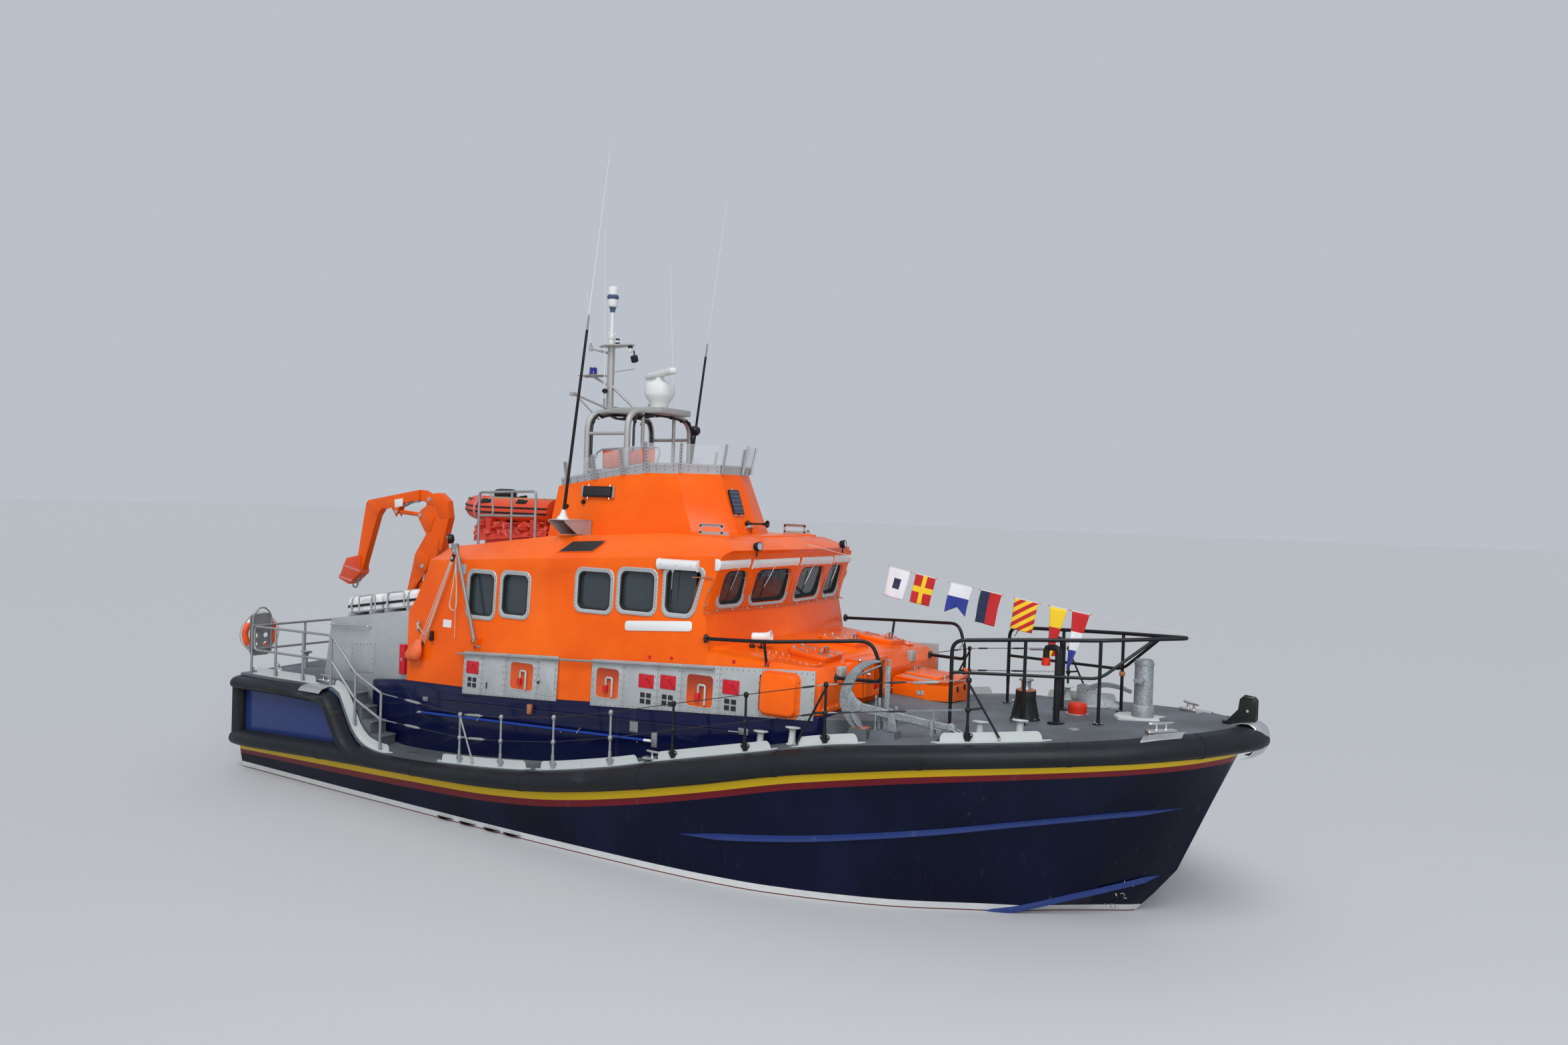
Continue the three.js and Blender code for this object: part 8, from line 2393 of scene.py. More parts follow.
# Lifebuoy
# Orange foam ring in a painted canvas skin, with four pale grey bands and a grab line that the
# bands hold round the rim.
BUOY = {"x": -8.358, "y": -2.125, "z": 2.45, "ring": 0.29, "wide": 0.060, "deep": 0.048}
ring_orange = Finish("lifebuoy skin", (0.80, 0.075, 0.006), 0.42)
ring_orange.wear(ring_orange.mixed((0.86, 0.09, 0.008), (0.50, 0.05, 0.008),
                                   ring_orange.noise(7, 5).eased(0.45, 0.8)), "Base Color")
ring_orange.wear(ring_orange.noise(18, 4) * 0.2 + 0.34,
                 "Roughness").bumped(ring_orange.noise(140, 3), 0.002, 0.5)
band_grey = Finish("reflective band", (0.50, 0.51, 0.52), 0.32, 0.35)
band_grey.wear(band_grey.noise(22, 4) * 0.3 + 0.2, "Roughness").bumped(band_grey.cells(160), 0.0006, 0.6)
line_tan = Finish("braided grab line", (0.42, 0.20, 0.07), 0.8)
line_tan.wear(line_tan.mixed((0.50, 0.26, 0.10), (0.22, 0.11, 0.05), line_tan.noise(60, 3)), "Base Color")
line_tan.bumped(line_tan.cells(180, stretch=(1, 1, 1.6)), 0.002, 0.8)


def on_ring(turn, swell=0.0, way=0.0):
    """A point on the lifebuoy: turn round the ring, way round its section."""
    reach = BUOY["ring"] + (BUOY["wide"] + swell) * math.cos(way)
    return Vector((BUOY["x"] + (BUOY["deep"] + swell) * math.sin(way), BUOY["y"] + reach * math.cos(turn),
                   BUOY["z"] + reach * math.sin(turn)))


buoy = Shape(ring_orange)
buoy.skin([[on_ring(turn, 0, way) for way in turns(20)] for turn in turns(64)], along=True)
for k in range(4):
    middle = math.pi / 4 + math.pi / 2 * k
    buoy.paint(band_grey).skin([[on_ring(middle + spread, swell, way) for way in turns(20)]
                                for spread, swell in ((-0.105, -0.002), (-0.10, 0.0025), (0, 0.003),
                                                      (0.10, 0.0025), (0.105, -0.002))], caps=False)
    run = []
    for i in range(13):
        share = i / 12
        turn = middle + math.pi / 2 * share
        slack = 0.012 + 0.030 * math.sin(math.pi * share)
        run.append(on_ring(turn, slack, 0.0))
    buoy.paint(line_tan).tube(run, 0.0055, 8)
buoy.make("lifebuoy_ring", replaces=["lifebuoy"], slot="foam")

# Lifelines
# Black covered wires through stanchions, grey alloy aft and black forward, each with a heart-shaped
# foot bolted to an upstand; bottle screws in sleeves and short chains end the wires.
STANCHIONS = (-2.60, -1.72, -0.66, 0.41, 1.49, 2.62, 3.76, 5.52)
BLACK_FROM = 1.0
UPSTANDS = ((-3.0, -1.2), (-0.9, 0.9), (1.25, 3.0), (3.4, 4.2), (5.2, 6.35))
LINE_INSET = 0.10
LINE_HEIGHTS = (0.40, 0.76)
BRACES = {-2.60: 0.30, 3.76: -0.39, 5.52: 0.37}
HEART = [(-0.060, 0.125), (-0.035, 0.132), (0.035, 0.132), (0.060, 0.125), (0.072, 0.105), (0.066, 0.085),
         (0.014, 0.006), (0.0, 0.0), (-0.014, 0.006), (-0.066, 0.085), (-0.072, 0.105)]
wire_black = Finish("covered wire", (0.012, 0.012, 0.013), 0.45)
wire_black.wear(
    wire_black.noise(30, 3) * 0.3 + 0.3, "Roughness").bumped(wire_black.noise(240, 2), 0.001, 0.5)
rail_black = sprayed("black rail enamel", (0.011, 0.011, 0.013), 0.30, grime=(0.10, 0.10, 0.10),
                     streaks=0.12)

lower = Shape(pale_green)
for side in (-1, 1):
    for start, end in UPSTANDS:
        upstand(lower, start, end, side)
lower.make("stanchion_upstands", slot="white_paint")


def line_spot(x, side, rise):
    return rail_spot(x, side, rise, LINE_INSET)


posts = {"stanchions_aft": Shape(rail_alloy), "stanchions_fore": Shape(rail_black)}
for side in (-1, 1):
    for x in STANCHIONS:
        fore = x > BLACK_FROM
        shape, coat = (posts["stanchions_fore"],
                       rail_black) if fore else (posts["stanchions_aft"], rail_alloy)
        shape.paint(coat).tube([line_spot(x, side, r) for r in (0.02, 0.10, 0.205, 0.21, 0.77)],
                               [0.022, 0.0235, 0.0235, 0.018, 0.0165], 14)
        for rise in LINE_HEIGHTS:
            shape.turned([(0.018, -0.040), (0.024, -0.032), (0.033, -0.016), (0.035, 0), (0.033, 0.016),
                          (0.022, 0.031), (0.012, 0.036)], line_spot(x, side, rise), sides=18)
        back = Vector((x, side * (edge_y(x) - UPSTAND["in"] + 0.001), line_spot(x, side, 0).z - 0.01))
        shape.plate([back + Vector((u, 0, v)) for u, v in HEART], (0, side * 0.012, 0), 0.003)
        for u, v in ((-0.052, 0.108), (0.052, 0.108), (0.0, 0.022)):
            shape.paint(stainless).turned([(0.011, 0), (0.010, 0.009), (0.005, 0.012)],
                                          back + Vector((u, side * 0.012, v)), (0, side, 0), 10)
        if x in BRACES:
            foot = x + BRACES[x]
            top, low = line_spot(x, side, 0.72), line_spot(foot, side, 0.035)
            shape.paint(coat).tube([top, low], 0.0145, 12)
            share = (0.72 - LINE_HEIGHTS[0]) / 0.72
            shape.tube([line_spot(x, side, LINE_HEIGHTS[0]), top.lerp(low, share)], 0.0135, 12)
            shape.paint(stainless).turned([(0.014, 0), (0.012, 0.03)],
                                          low + Vector((0, side * 0.012, 0.006)),
                                          (0, side, 0), 10)
posts["stanchions_aft"].make("stanchions_aft", replaces=["lifelines_starboard"], slot="alloy")
posts["stanchions_fore"].make("stanchions_fore", replaces=["lifelines_port"], slot="black_paint")


links_on_lines = line_tree(
    "chain along lines", ("Wire", "Width"),
    (("way", "GeometryNodeInputTangent"), ("number", "GeometryNodeInputIndex"),
     ("quarter", "ShaderNodeMath"), ("roll", "ShaderNodeCombineXYZ"), ("twist", "FunctionNodeRotateRotation"),
     ("loop", "GeometryNodeCurvePrimitiveCircle"), ("long", "GeometryNodeTransform"),
     ("rod", "GeometryNodeCurvePrimitiveCircle"), ("link", "GeometryNodeCurveToMesh")),
    (("turn", "axis", "X"), ("quarter", "operation", "MULTIPLY"), ("twist", "rotation_space", "LOCAL")),
    (("quarter", 1, math.pi / 2), ("loop", "Resolution", 12), ("rod", "Resolution", 6),
     ("long", "Scale", (1.5, 0.9, 1))),
    (("way", "Tangent", "turn", "Vector"), ("turn", "Rotation", "twist", "Rotation"),
     ("number", "Index", "quarter", 0), ("quarter", 0, "roll", "X"),
     ("roll", "Vector", "twist", "Rotate By"), ("twist", "Rotation", "place", "Rotation"),
     ("start", "Width", "loop", "Radius"), ("loop", "Curve", "long", "Geometry"),
     ("start", "Wire", "rod", "Radius"), ("long", "Geometry", "link", "Curve"),
     ("rod", "Curve", "link", "Profile Curve"), ("link", "Mesh", "place", "Instance")))
SLEEVE = [0.008, 0.012, 0.021, 0.021, 0.012, 0.008]
CHAIN = {"Spacing": 0.030, "Wire": 0.0034, "Width": 0.0115}

wires = Shape(wire_black)
chains = []
for side in (-1, 1):
    for rise, rail_drop in zip(LINE_HEIGHTS, (RAIL_DROP, 0.0)):
        spots = [line_spot(x, side, rise) for x in STANCHIONS]
        run = spots[1] - spots[0]
        wires.paint(wire_black).tube(spots[:7], 0.0058, 8)
        start, end = (0.14, 0.44) if rise > 0.5 else (0.20, 0.50)
        along = (start - 0.05, start, start + 0.02, end - 0.02, end, end + 0.05)
        wires.paint(rail_alloy).tube([spots[0] + run * (s / run.length) for s in along], SLEEVE, 14)
        last = Vector((LOW_POSTS[1][0] + 0.02, side * (edge_y(LOW_POSTS[1][0]) - RAIL_INSET),
                       LOW_POSTS[1][1] - rail_drop))
        chain_end = last.lerp(spots[0], 0.20)
        chains.append([last, chain_end])
        wires.paint(wire_black).tube([chain_end, spots[0]], 0.0058, 8)
        wires.paint(rail_alloy).tube([last.lerp(spots[0], s) for s in (0.30, 0.32, 0.34, 0.47, 0.49, 0.51)],
                                     SLEEVE, 14)
        for near, far in ((spots[6], spots[5]), (spots[6], spots[7])):
            way = (far - near).normalized()
            wires.paint(stainless).tube([near + way * s for s in (0.03, 0.10, 0.13, 0.17)],
                                        [0.010, 0.010, 0.006, 0.006], 10)
            wires.paint(wire_black).tube([near + way * s for s in (0.16, 0.19, 0.22, 0.32, 0.36)],
                                         [0.008, 0.013, 0.014, 0.013, 0.006], 12)
        run = spots[7] - spots[6]
        wires.tube([spots[6] + run * s for s in (0.16, 0.46)], 0.0058, 8)
        wires.tube([spots[6] + run * s for s in (0.44, 0.46, 0.48, 0.56, 0.58)],
                   [0.008, 0.013, 0.015, 0.013, 0.006], 12)
        chains.append([spots[6] + run * 0.58, spots[6] + run * 0.97])
        if rise > 0.5:
            sag = Vector((0, 0, -0.012))
            wires.paint(rail_alloy).tube([spots[6] + run * s + sag for s in (0.62, 0.64, 0.78, 0.80)],
                                         [0.010, 0.020, 0.020, 0.010], 14)
wires.make("lifeline_wires", slot="black_paint")
grown("lifeline_chains", links_on_lines, chains, CHAIN, galvanised)

# Pulpit and fore handrails
# Black enamelled tube bent to rails on welded posts; discs with bolt heads hold them to the deck,
# the house and the trunk.
PULPIT_FEET = ((4.90, 1.11), (5.80, 0.83), (6.70, 0.57))
PULPIT_TOP = [(4.90, -1.11, 2.60), (4.90, -1.11, 3.43), (5.80, -0.83, 3.49), (6.70, -0.57, 3.54),
              (7.70, 0, 3.61)]
PULPIT_MIDDLE = [(4.90, -1.11, 3.01), (5.80, -0.83, 3.03), (6.70, -0.57, 3.05), (7.30, -0.215, 3.585)]


def mirrored(points, side):
    return [(x, y * -side, z) for x, y, z in points]


def bolted_disc(shape, centre, out, radius, thick, bolts, coat):
    """A round flange with bolt heads on its rim."""
    shape.paint(coat).turned([(radius, 0), (radius, thick * 0.7), (radius * 0.92, thick)], centre, out, 28)
    out = Vector(out).normalized()
    side = out.orthogonal().normalized()
    across = out.cross(side)
    for k in range(bolts):
        turn = 2 * math.pi * (k + 0.5) / bolts
        spot = Vector(centre) + (side * math.cos(turn) + across * math.sin(turn)) * radius * 0.72
        shape.paint(stainless).turned([(0.0095, 0), (0.0085, 0.007), (0.004, 0.010)],
                                      spot + out * thick * 0.9, out, 8)
    shape.paint(coat)


bow_rail = Shape(rail_black)
top = PULPIT_TOP + [(x, -y, z) for x, y, z in PULPIT_TOP[-2::-1]]
bow_rail.tube(bent(top, 0.16, 6), 0.026, 16)
for side in (-1, 1):
    bow_rail.tube(bent(mirrored(PULPIT_MIDDLE, side), 0.12, 5), 0.021, 14)
    for (x, y), (_, _, head) in zip(PULPIT_FEET, PULPIT_TOP[1:4]):
        foot = Vector((x, side * y, deck_z(x, y)))
        bow_rail.tube([foot, (foot.x, foot.y, head - (0.35 if x == 4.90 else 0.004))], 0.0225, 14)
        bolted_disc(bow_rail, foot, (0, 0, 1), 0.068, 0.016, 4, rail_black)
    bow_rail.paint(stainless).tube([(5.06, side * 1.07, 3.435 + 0.03), (5.03, side * 1.08, 3.38),
                                    (4.98, side * 1.10, 3.30)], [0.012, 0.010, 0.006], 10)
    bow_rail.paint(rail_black)
bow_rail.paint(copper).turned([(0.036, -0.03), (0.040, -0.02), (0.040, 0.02), (0.036, 0.03)],
                              (6.70, 0.57, deck_z(6.70, 0.57) + 0.52), sides=16)
bow_rail.make("pulpit_rail", replaces=["pulpit"], slot="black_paint")

HAND_RAIL = [(1.64, -2.075, 3.24), (2.60, -2.05, 3.28), (3.93, -1.53, 3.37), (4.06, -1.48, 3.00),
             (4.06, -1.48, 2.83), (3.43, -1.58, 2.83)]
for side, name in ((-1, "starboard"), (1, "port")):
    hand = Shape(rail_black)
    path = bent(mirrored(HAND_RAIL, side), 0.17, 5)
    hand.tube(path, 0.0255, 16)
    first, last = Vector(path[0]), Vector(path[-1])
    bolted_disc(hand, first - (Vector(path[1]) - first).normalized() * 0.012, Vector(path[1]) - first,
                0.062, 0.024, 6, rail_black)
    bolted_disc(hand, last, (1, side * -0.16, 0), 0.058, 0.020, 6, rail_black)
    foot = Vector((4.06, side * 1.48, deck_z(4.06, 1.48)))
    hand.tube([(foot.x, foot.y, 2.90), foot], 0.0235, 14)
    bolted_disc(hand, foot, (0, 0, 1), 0.066, 0.016, 4, rail_black)
    hand.tube([(2.57, side * 2.05, 3.28), (2.57, side * 1.97, 2.965)], 0.020, 14)
    bolted_disc(hand, (2.57, side * 1.965, 2.945), (0, side * 0.25, 1), 0.050, 0.014, 5, rail_black)
    hand.make("handrail_" + name, replaces=["fore_handrail_" + name], slot="black_paint")

# Trunk fittings
# The trunk's top carries a bolted plate, a loudhailer and grey switch boxes on its fore face. Each
# hatch has bright hinge arms, a pull handle and two oval dogs, and turns with its lid.
def top_spot(node):
    """A place on a node's flat top, at the middle of its largest upward face."""
    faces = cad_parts[node].data.polygons
    up = max((face for face in faces if face.normal.z > 0.9), key=lambda face: face.area).normal.copy()
    middle, weight = Vector(), 0
    for face in faces:
        if face.normal.dot(up) > 0.9995:
            middle += face.center * face.area
            weight += face.area
    middle /= weight
    along = (Vector((1, 0, 0)) - up * up.x).normalized()
    return Spot(middle, along, up.cross(along))


for node in ("hatch_starboard", "hatch_centre", "hatch_port"):
    low, high = (Vector(p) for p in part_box(node))
    spot = top_spot(node)
    reach, half = (high.x - low.x) / 2, (high.y - low.y) / 2
    hardware = Shape(stainless)
    for v in (-half * 0.42, half * 0.42):
        hardware.paint(stainless).plate([spot(u, v + w) for u, w in (
            (-reach * 0.90, -0.014), (-reach * 0.22, -0.009), (-reach * 0.18, 0), (-reach * 0.22, 0.009),
            (-reach * 0.90, 0.014))], spot.out * 0.016, 0.003)
        hardware.turned([(0.012, 0), (0.018, 0.004), (0.018, 0.046), (0.012, 0.05)],
                        spot(-reach * 0.86, v - 0.025, 0.016), spot.up, 16)
        dog = spot(reach * 0.80, v)
        hardware.plate([dog + spot.along * a + spot.up * b for a, b in rounded(0.095, 0.055, 0.027)],
                       spot.out * 0.014, 0.004)
    grip = [spot(reach * 0.42, v, rise) for v, rise in (
        (-0.10, 0), (-0.10, 0.05), (-0.065, 0.085), (0.065, 0.085), (0.10, 0.05), (0.10, 0))]
    hardware.paint(alloy).tube(bent(grip, 0.03, 4), 0.013, 12)
    for v in (-0.10, 0.10):
        pad = spot(reach * 0.42, v)
        hardware.plate([pad + spot.along * a + spot.up * b for a, b in rounded(0.085, 0.045, 0.022)],
                       spot.out * 0.010, 0.003)
    hardware.make(node + "_hardware", node, slot="stainless")

trunk_shape = bmesh.new()
trunk_shape.from_mesh(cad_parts["fore_trunk"].data)
trunk_tree = BVHTree.FromBMesh(trunk_shape)


def trunk_spot(x, y):
    hit, normal, _, _ = trunk_tree.ray_cast(Vector((x, y, 6)), Vector((0, 0, -1)))
    along = (Vector((1, 0, 0)) - normal * normal.x).normalized()
    return Spot(hit, along, normal.cross(along))


plate_bolts = []
cover = Shape(orange)
for side in (-1, 1):
    spot = trunk_spot(2.72, side * 1.52)
    outline = rounded(0.90, 0.30, 0.14)
    cover.plate(spot.lay(outline, 0.0), spot.out * 0.010, 0.003)
    row = spot.lay(swollen(outline, -0.03), 0.010)
    plate_bolts.append((row + row[:1], spot.out))
cover.make("trunk_plates", slot="orange_paint")
studs("trunk_plate_bolts", plate_bolts, 0.105, 0.012, 0.010, stainless)

foot_line = [([Vector((3.408, y, 2.422)), Vector((3.408, 0, 2.468))], (1, 0, 0)) for y in (-1.86, 1.86)]
flange = Shape(orange)
flange.plate([(3.400, -1.90, 2.362), (3.400, 0, 2.408), (3.400, 1.90, 2.362), (3.400, 1.90, 2.452),
              (3.400, 0, 2.498), (3.400, -1.90, 2.452)], (0.010, 0, 0), 0.003)
flange.make("trunk_foot_flange", slot="orange_paint")
studs("trunk_foot_bolts", foot_line, 0.12, 0.011, 0.010, stainless)

boxes = Shape(plate_alloy)
for y, z in ((-1.29, 2.86), (1.01, 2.86)):
    boxes.paint(plate_alloy).block((3.365, y, z), (0.09, 0.17, 0.17), edge=0.014, segments=3)
    boxes.block((3.380, y, z + 0.02), (0.08, 0.12, 0.09), edge=0.008)
    for gland in (-0.055, -0.018, 0.018, 0.055):
        boxes.paint(stainless).turned([(0.012, 0), (0.012, 0.03), (0.016, 0.032), (0.016, 0.055)],
                                      (3.372, y + gland, z - 0.13), sides=12)
        boxes.paint(wire_black).tube([(3.372, y + gland, z - 0.13), (3.385, y + gland * 0.8, z - 0.20)],
                                     0.006, 8)
boxes.make("switch_boxes", slot="alloy")

nook = Shape(orange)
nook.block((3.565, -0.94, 2.75), (0.05, 0.12, 0.50), edge=0.012, segments=3)
nook.paint(stainless).turned([(0.034, 0), (0.034, 0.006), (0.020, 0.010), (0.018, 0.03), (0.024, 0.034),
                              (0.020, 0.048)], (3.588, -0.94, 2.82), (1, 0, 0), 22)
nook.turned([(0.030, 0), (0.018, 0.02), (0.028, 0.03)], (3.50, -1.0, 3.012), sides=18)
nook.paint(flap_red).turned([(0.055, 0), (0.062, 0.01), (0.062, 0.16), (0.045, 0.18), (0.02, 0.19)],
                            (3.47, -0.62, 2.62), (0, 1, 0), 24)
nook.paint(copper).turned([(0.022, 0), (0.022, 0.04), (0.030, 0.05), (0.030, 0.07)], (3.47, -0.44, 2.62),
                          (0, 1, 0), 16)
nook.paint(inner_grey).plate([(3.562, y, z) for y, z in (
    (-0.67, 2.552), (-0.29, 2.552), (-0.29, 2.56), (-0.67, 2.56))], (0.006, 0, 0))
nook.make("recess_fittings", slot="orange_paint")

hailer = Shape(white_box)
seat = trunk_spot(2.08, -1.34)
axis = Vector((0.93, 0.30, 0.06)).normalized()
throat = seat(0, 0) + Vector((-0.13, -0.04, 0.15))
hailer.turned([(0.050, 0.0), (0.062, 0.008), (0.066, 0.05), (0.062, 0.10), (0.064, 0.20), (0.078, 0.25),
               (0.098, 0.275), (0.100, 0.285), (0.088, 0.282), (0.060, 0.22), (0.0, 0.20)], throat, axis,
              32)
hailer.paint(black_iron).tube([seat(0, 0, -0.01), seat(0.0, 0.0, 0.10), throat + axis * 0.13], 0.013, 12)
hailer.turned([(0.045, 0), (0.045, 0.012), (0.022, 0.02)], seat(0, 0), seat.out, 20)
hailer.turned([(0.04, 0), (0.045, 0.02), (0.03, 0.05), (0.0, 0.055)], trunk_spot(1.98, -1.42)(0, 0),
              (0, 0, 1), 18)
hailer.make("loudhailer", slot="white_paint")

visor = Shape(black_iron)
for y, x, z in ((-1.31, 1.99, 4.50), (1.31, 1.99, 4.50)):
    visor.paint(black_iron).turned([(0.03, -0.10), (0.058, -0.085), (0.066, -0.03), (0.068, 0.0),
                                    (0.060, 0.006), (0.056, -0.004)], (x, y, z + 0.03),
                                   (0.97, y * 0.12, 0.10), 24)
    visor.paint(chrome).turned([(0.054, 0), (0.045, -0.02), (0.0, -0.035)], (x + 0.002, y, z + 0.03),
                               (0.97, y * 0.12, 0.10), 24)
    visor.paint(black_iron).tube([(x - 0.05, y, z - 0.12), (x - 0.05, y, z)], 0.012, 10)
visor.tube([(1.20, 1.45, 4.50), (1.20, 1.45, 4.72)], 0.020, 12)
visor.make("visor_lamps", slot="black_paint")

# Coaming fittings
# On the navy coaming's side lie a blue boathook in its clips, a jackstay wire with its end plate, a
# brass step block and a small service plate. Long grab rails run over the closing plates.
coaming_form = bmesh.new()
coaming_form.from_mesh(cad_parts["house_coaming"].data)
coaming_tree = BVHTree.FromBMesh(coaming_form)
pole_blue = sprayed("blue boathook", (0.010, 0.040, 0.26), 0.3)


def coaming_spot(x, z, side, proud=0.0):
    hit, _, _, _ = coaming_tree.ray_cast(Vector((x, side * 6, z)), Vector((0, -side, 0)))
    return Vector((x, hit.y + side * proud, z))


def pole(shape, ends, side, proud, radius, steps=12):
    """A pole that follows the coaming between two (x, z) ends."""
    (x0, z0), (x1, z1) = ends
    shape.tube([coaming_spot(x0 + (x1 - x0) * k / steps, z0 + (z1 - z0) * k / steps, side, proud)
                for k in range(steps + 1)], radius, 12)


fittings = Shape(pole_blue)
for side in (-1, 1):
    pole(fittings.paint(pole_blue), ((-4.00, 1.520), (0.66, 1.694)), side, 0.055, 0.019)
    pole(fittings.paint(white_box), ((0.64, 1.693), (0.76, 1.698)), side, 0.055, 0.021, 2)
    pole(fittings.paint(stainless), ((-4.06, 1.517), (-3.98, 1.521)), side, 0.055, 0.022, 2)
    for x in (-2.67, -0.60):
        z = 1.520 + (x + 4.0) * 0.0373
        clip = [coaming_spot(x, z + up, side, proud)
                for up, proud in ((-0.045, -0.004), (-0.030, 0.04), (-0.012, 0.079), (0.012, 0.079),
                                  (0.030, 0.04), (0.045, -0.004))]
        fittings.tube(clip, 0.007, 8)
    pole(fittings.paint(wire_black), ((-3.90, 1.745), (2.10, 2.015)), side, 0.045, 0.006)
    pole(fittings.paint(stainless), ((2.08, 2.014), (2.24, 2.022)), side, 0.045, 0.011, 2)
    for x, z, wide, tall in ((2.30, 2.03, 0.16, 0.09), (-3.95, 1.74, 0.12, 0.07),
                             (0.416, 1.854, 0.15, 0.17),
                             (0.79, 1.71, 0.10, 0.22)):
        fittings.paint(alloy).block(coaming_spot(x, z, side, 0.008), (wide, 0.024, tall), edge=0.006)
    for x, z in ((0.37, 1.90), (0.46, 1.90), (0.37, 1.81), (0.46, 1.81), (0.79, 1.78), (0.79, 1.64)):
        fittings.paint(stainless).turned([(0.012, 0), (0.010, 0.008)], coaming_spot(x, z, side, 0.019),
                                         (0, side, 0), 10)
    fittings.paint(copper).block(coaming_spot(-1.612, 1.86, side, 0.025), (0.075, 0.06, 0.15), edge=0.008)
    fittings.block(coaming_spot(-1.575, 1.86, side, 0.045), (0.04, 0.05, 0.09), edge=0.006)
fittings.make("coaming_fittings", slot="stainless")

grab = Shape(rail_alloy)
for side in (-1, 1):
    ends = wall_spot(-3.20, 2.57, side, 0.075), wall_spot(1.80, 2.84, side, 0.075)
    grab.tube([ends[0].lerp(ends[1], k / 10) for k in range(11)], 0.018, 14)
    for k in range(6):
        middle = ends[0].lerp(ends[1], 0.02 + 0.96 * k / 5)
        grab.tube([middle, wall_spot(middle.x, middle.z, side, 0.0)], 0.011, 10)
grab.make("side_grab_rails", slot="alloy")

# Deck locker
# Orange laminate box on the foredeck with a hinged lid: a raised panel, a grey gutter beside it, an
# alloy handle, two round dogs and a spray rail round the fore end.
LOCKER = {"x": (3.452, 4.30), "y": (0.18, 1.30), "top": 2.63, "slope": -0.075}
refined("deck_locker", orange, edge=0.014, segments=3)


def lid_spot(x, y, rise):
    return Vector((x, y, LOCKER["top"] + (x - LOCKER["x"][0]) * LOCKER["slope"] + rise))


lid = Shape(orange)
lid_line = [(3.474, 0.192), (4.038, 0.192), (4.284, 0.425), (4.284, 1.055), (4.038, 1.288), (3.474, 1.288)]
lid.plate([lid_spot(x, y, 0.002) for x, y in lid_line], (0, 0, 0.036), 0.010, 3)
lid.paint(inner_grey).plate([lid_spot(x, y, 0.0375) for x, y in (
    (3.55, 0.315), (4.00, 0.315), (4.03, 0.37), (4.0, 0.41), (3.55, 0.41), (3.51, 0.37))],
                            (0, 0, 0.005), 0.001)
panel_rows = []
for grow, rise in ((0.0, 0.036), (0.0, 0.060), (-0.004, 0.068), (-0.014, 0.072), (-0.10, 0.076)):
    panel_rows.append([lid_spot(3.785 + u, 0.76 + v, rise)
                       for u, v in swollen(rounded(0.56, 0.70, 0.09), grow)])
lid.paint(orange).skin(panel_rows)
for y in (0.52, 0.98):
    lid.paint(alloy).turned([(0.038, 0), (0.038, 0.006), (0.030, 0.012), (0.0, 0.012)],
                            lid_spot(3.60, y, 0.073), sides=20)
lid.tube(bent([lid_spot(3.60, 0.62, 0.07), lid_spot(3.60, 0.62, 0.135), lid_spot(3.60, 0.80, 0.135),
               lid_spot(3.60, 0.80, 0.07)], 0.03, 4), 0.012, 12)
lid.paint(stainless).tube([lid_spot(4.10, 0.60, 0.05), lid_spot(4.09, 0.62, 0.085),
                           lid_spot(4.13, 0.95, 0.10)], [0.022, 0.014, 0.011], 12)
lid.turned([(0.03, 0), (0.028, 0.014)], lid_spot(4.10, 0.60, 0.037), sides=18)
lid.paint(orange)
rail_rows = []
for x, y, lift in ((4.00, 0.180, -0.010), (4.05, 0.190, 0.0), (4.28, 0.418, 0.012), (4.30, 0.74, 0.045),
                   (4.29, 1.06, 0.085), (4.16, 1.22, 0.115)):
    out = (Vector((x, y, 0)) - Vector((3.85, 0.74, 0))).normalized()
    rail_rows.append([lid_spot(x, y, 0.03 + b) + out * a
                      for a, b in ((-0.010, -0.004), (0.022, lift), (0.028, lift + 0.008),
                                   (0.024, lift + 0.016), (-0.014, lift + 0.012))])
lid.skin(rail_rows)
lid.make("locker_lid_panel", "deck_locker_lid", replaces=["deck_locker_lid"], slot="orange_paint")

latches = Shape(black_iron)
for x, y in ((4.302, 0.62), (4.302, 0.90)):
    z = lid_spot(x, y, -0.07).z
    latches.plate([(x, y + u, z + v) for u, v in rounded(0.055, 0.085, 0.024)], (0.014, 0, 0), 0.004)
for x, z in ((3.87, 2.455), (3.93, 2.455)):
    latches.paint(plate_alloy).plate([(x + u, 0.179, z + v) for u, v in rounded(0.055, 0.065, 0.006, 3)],
                                     (0, -0.006, 0), 0.002)
latches.paint(stainless).turned([(0.010, 0), (0.008, 0.006)], (3.9, 0.173, 2.50), (0, -1, 0), 10)
latches.make("locker_latches", slot="black_paint")

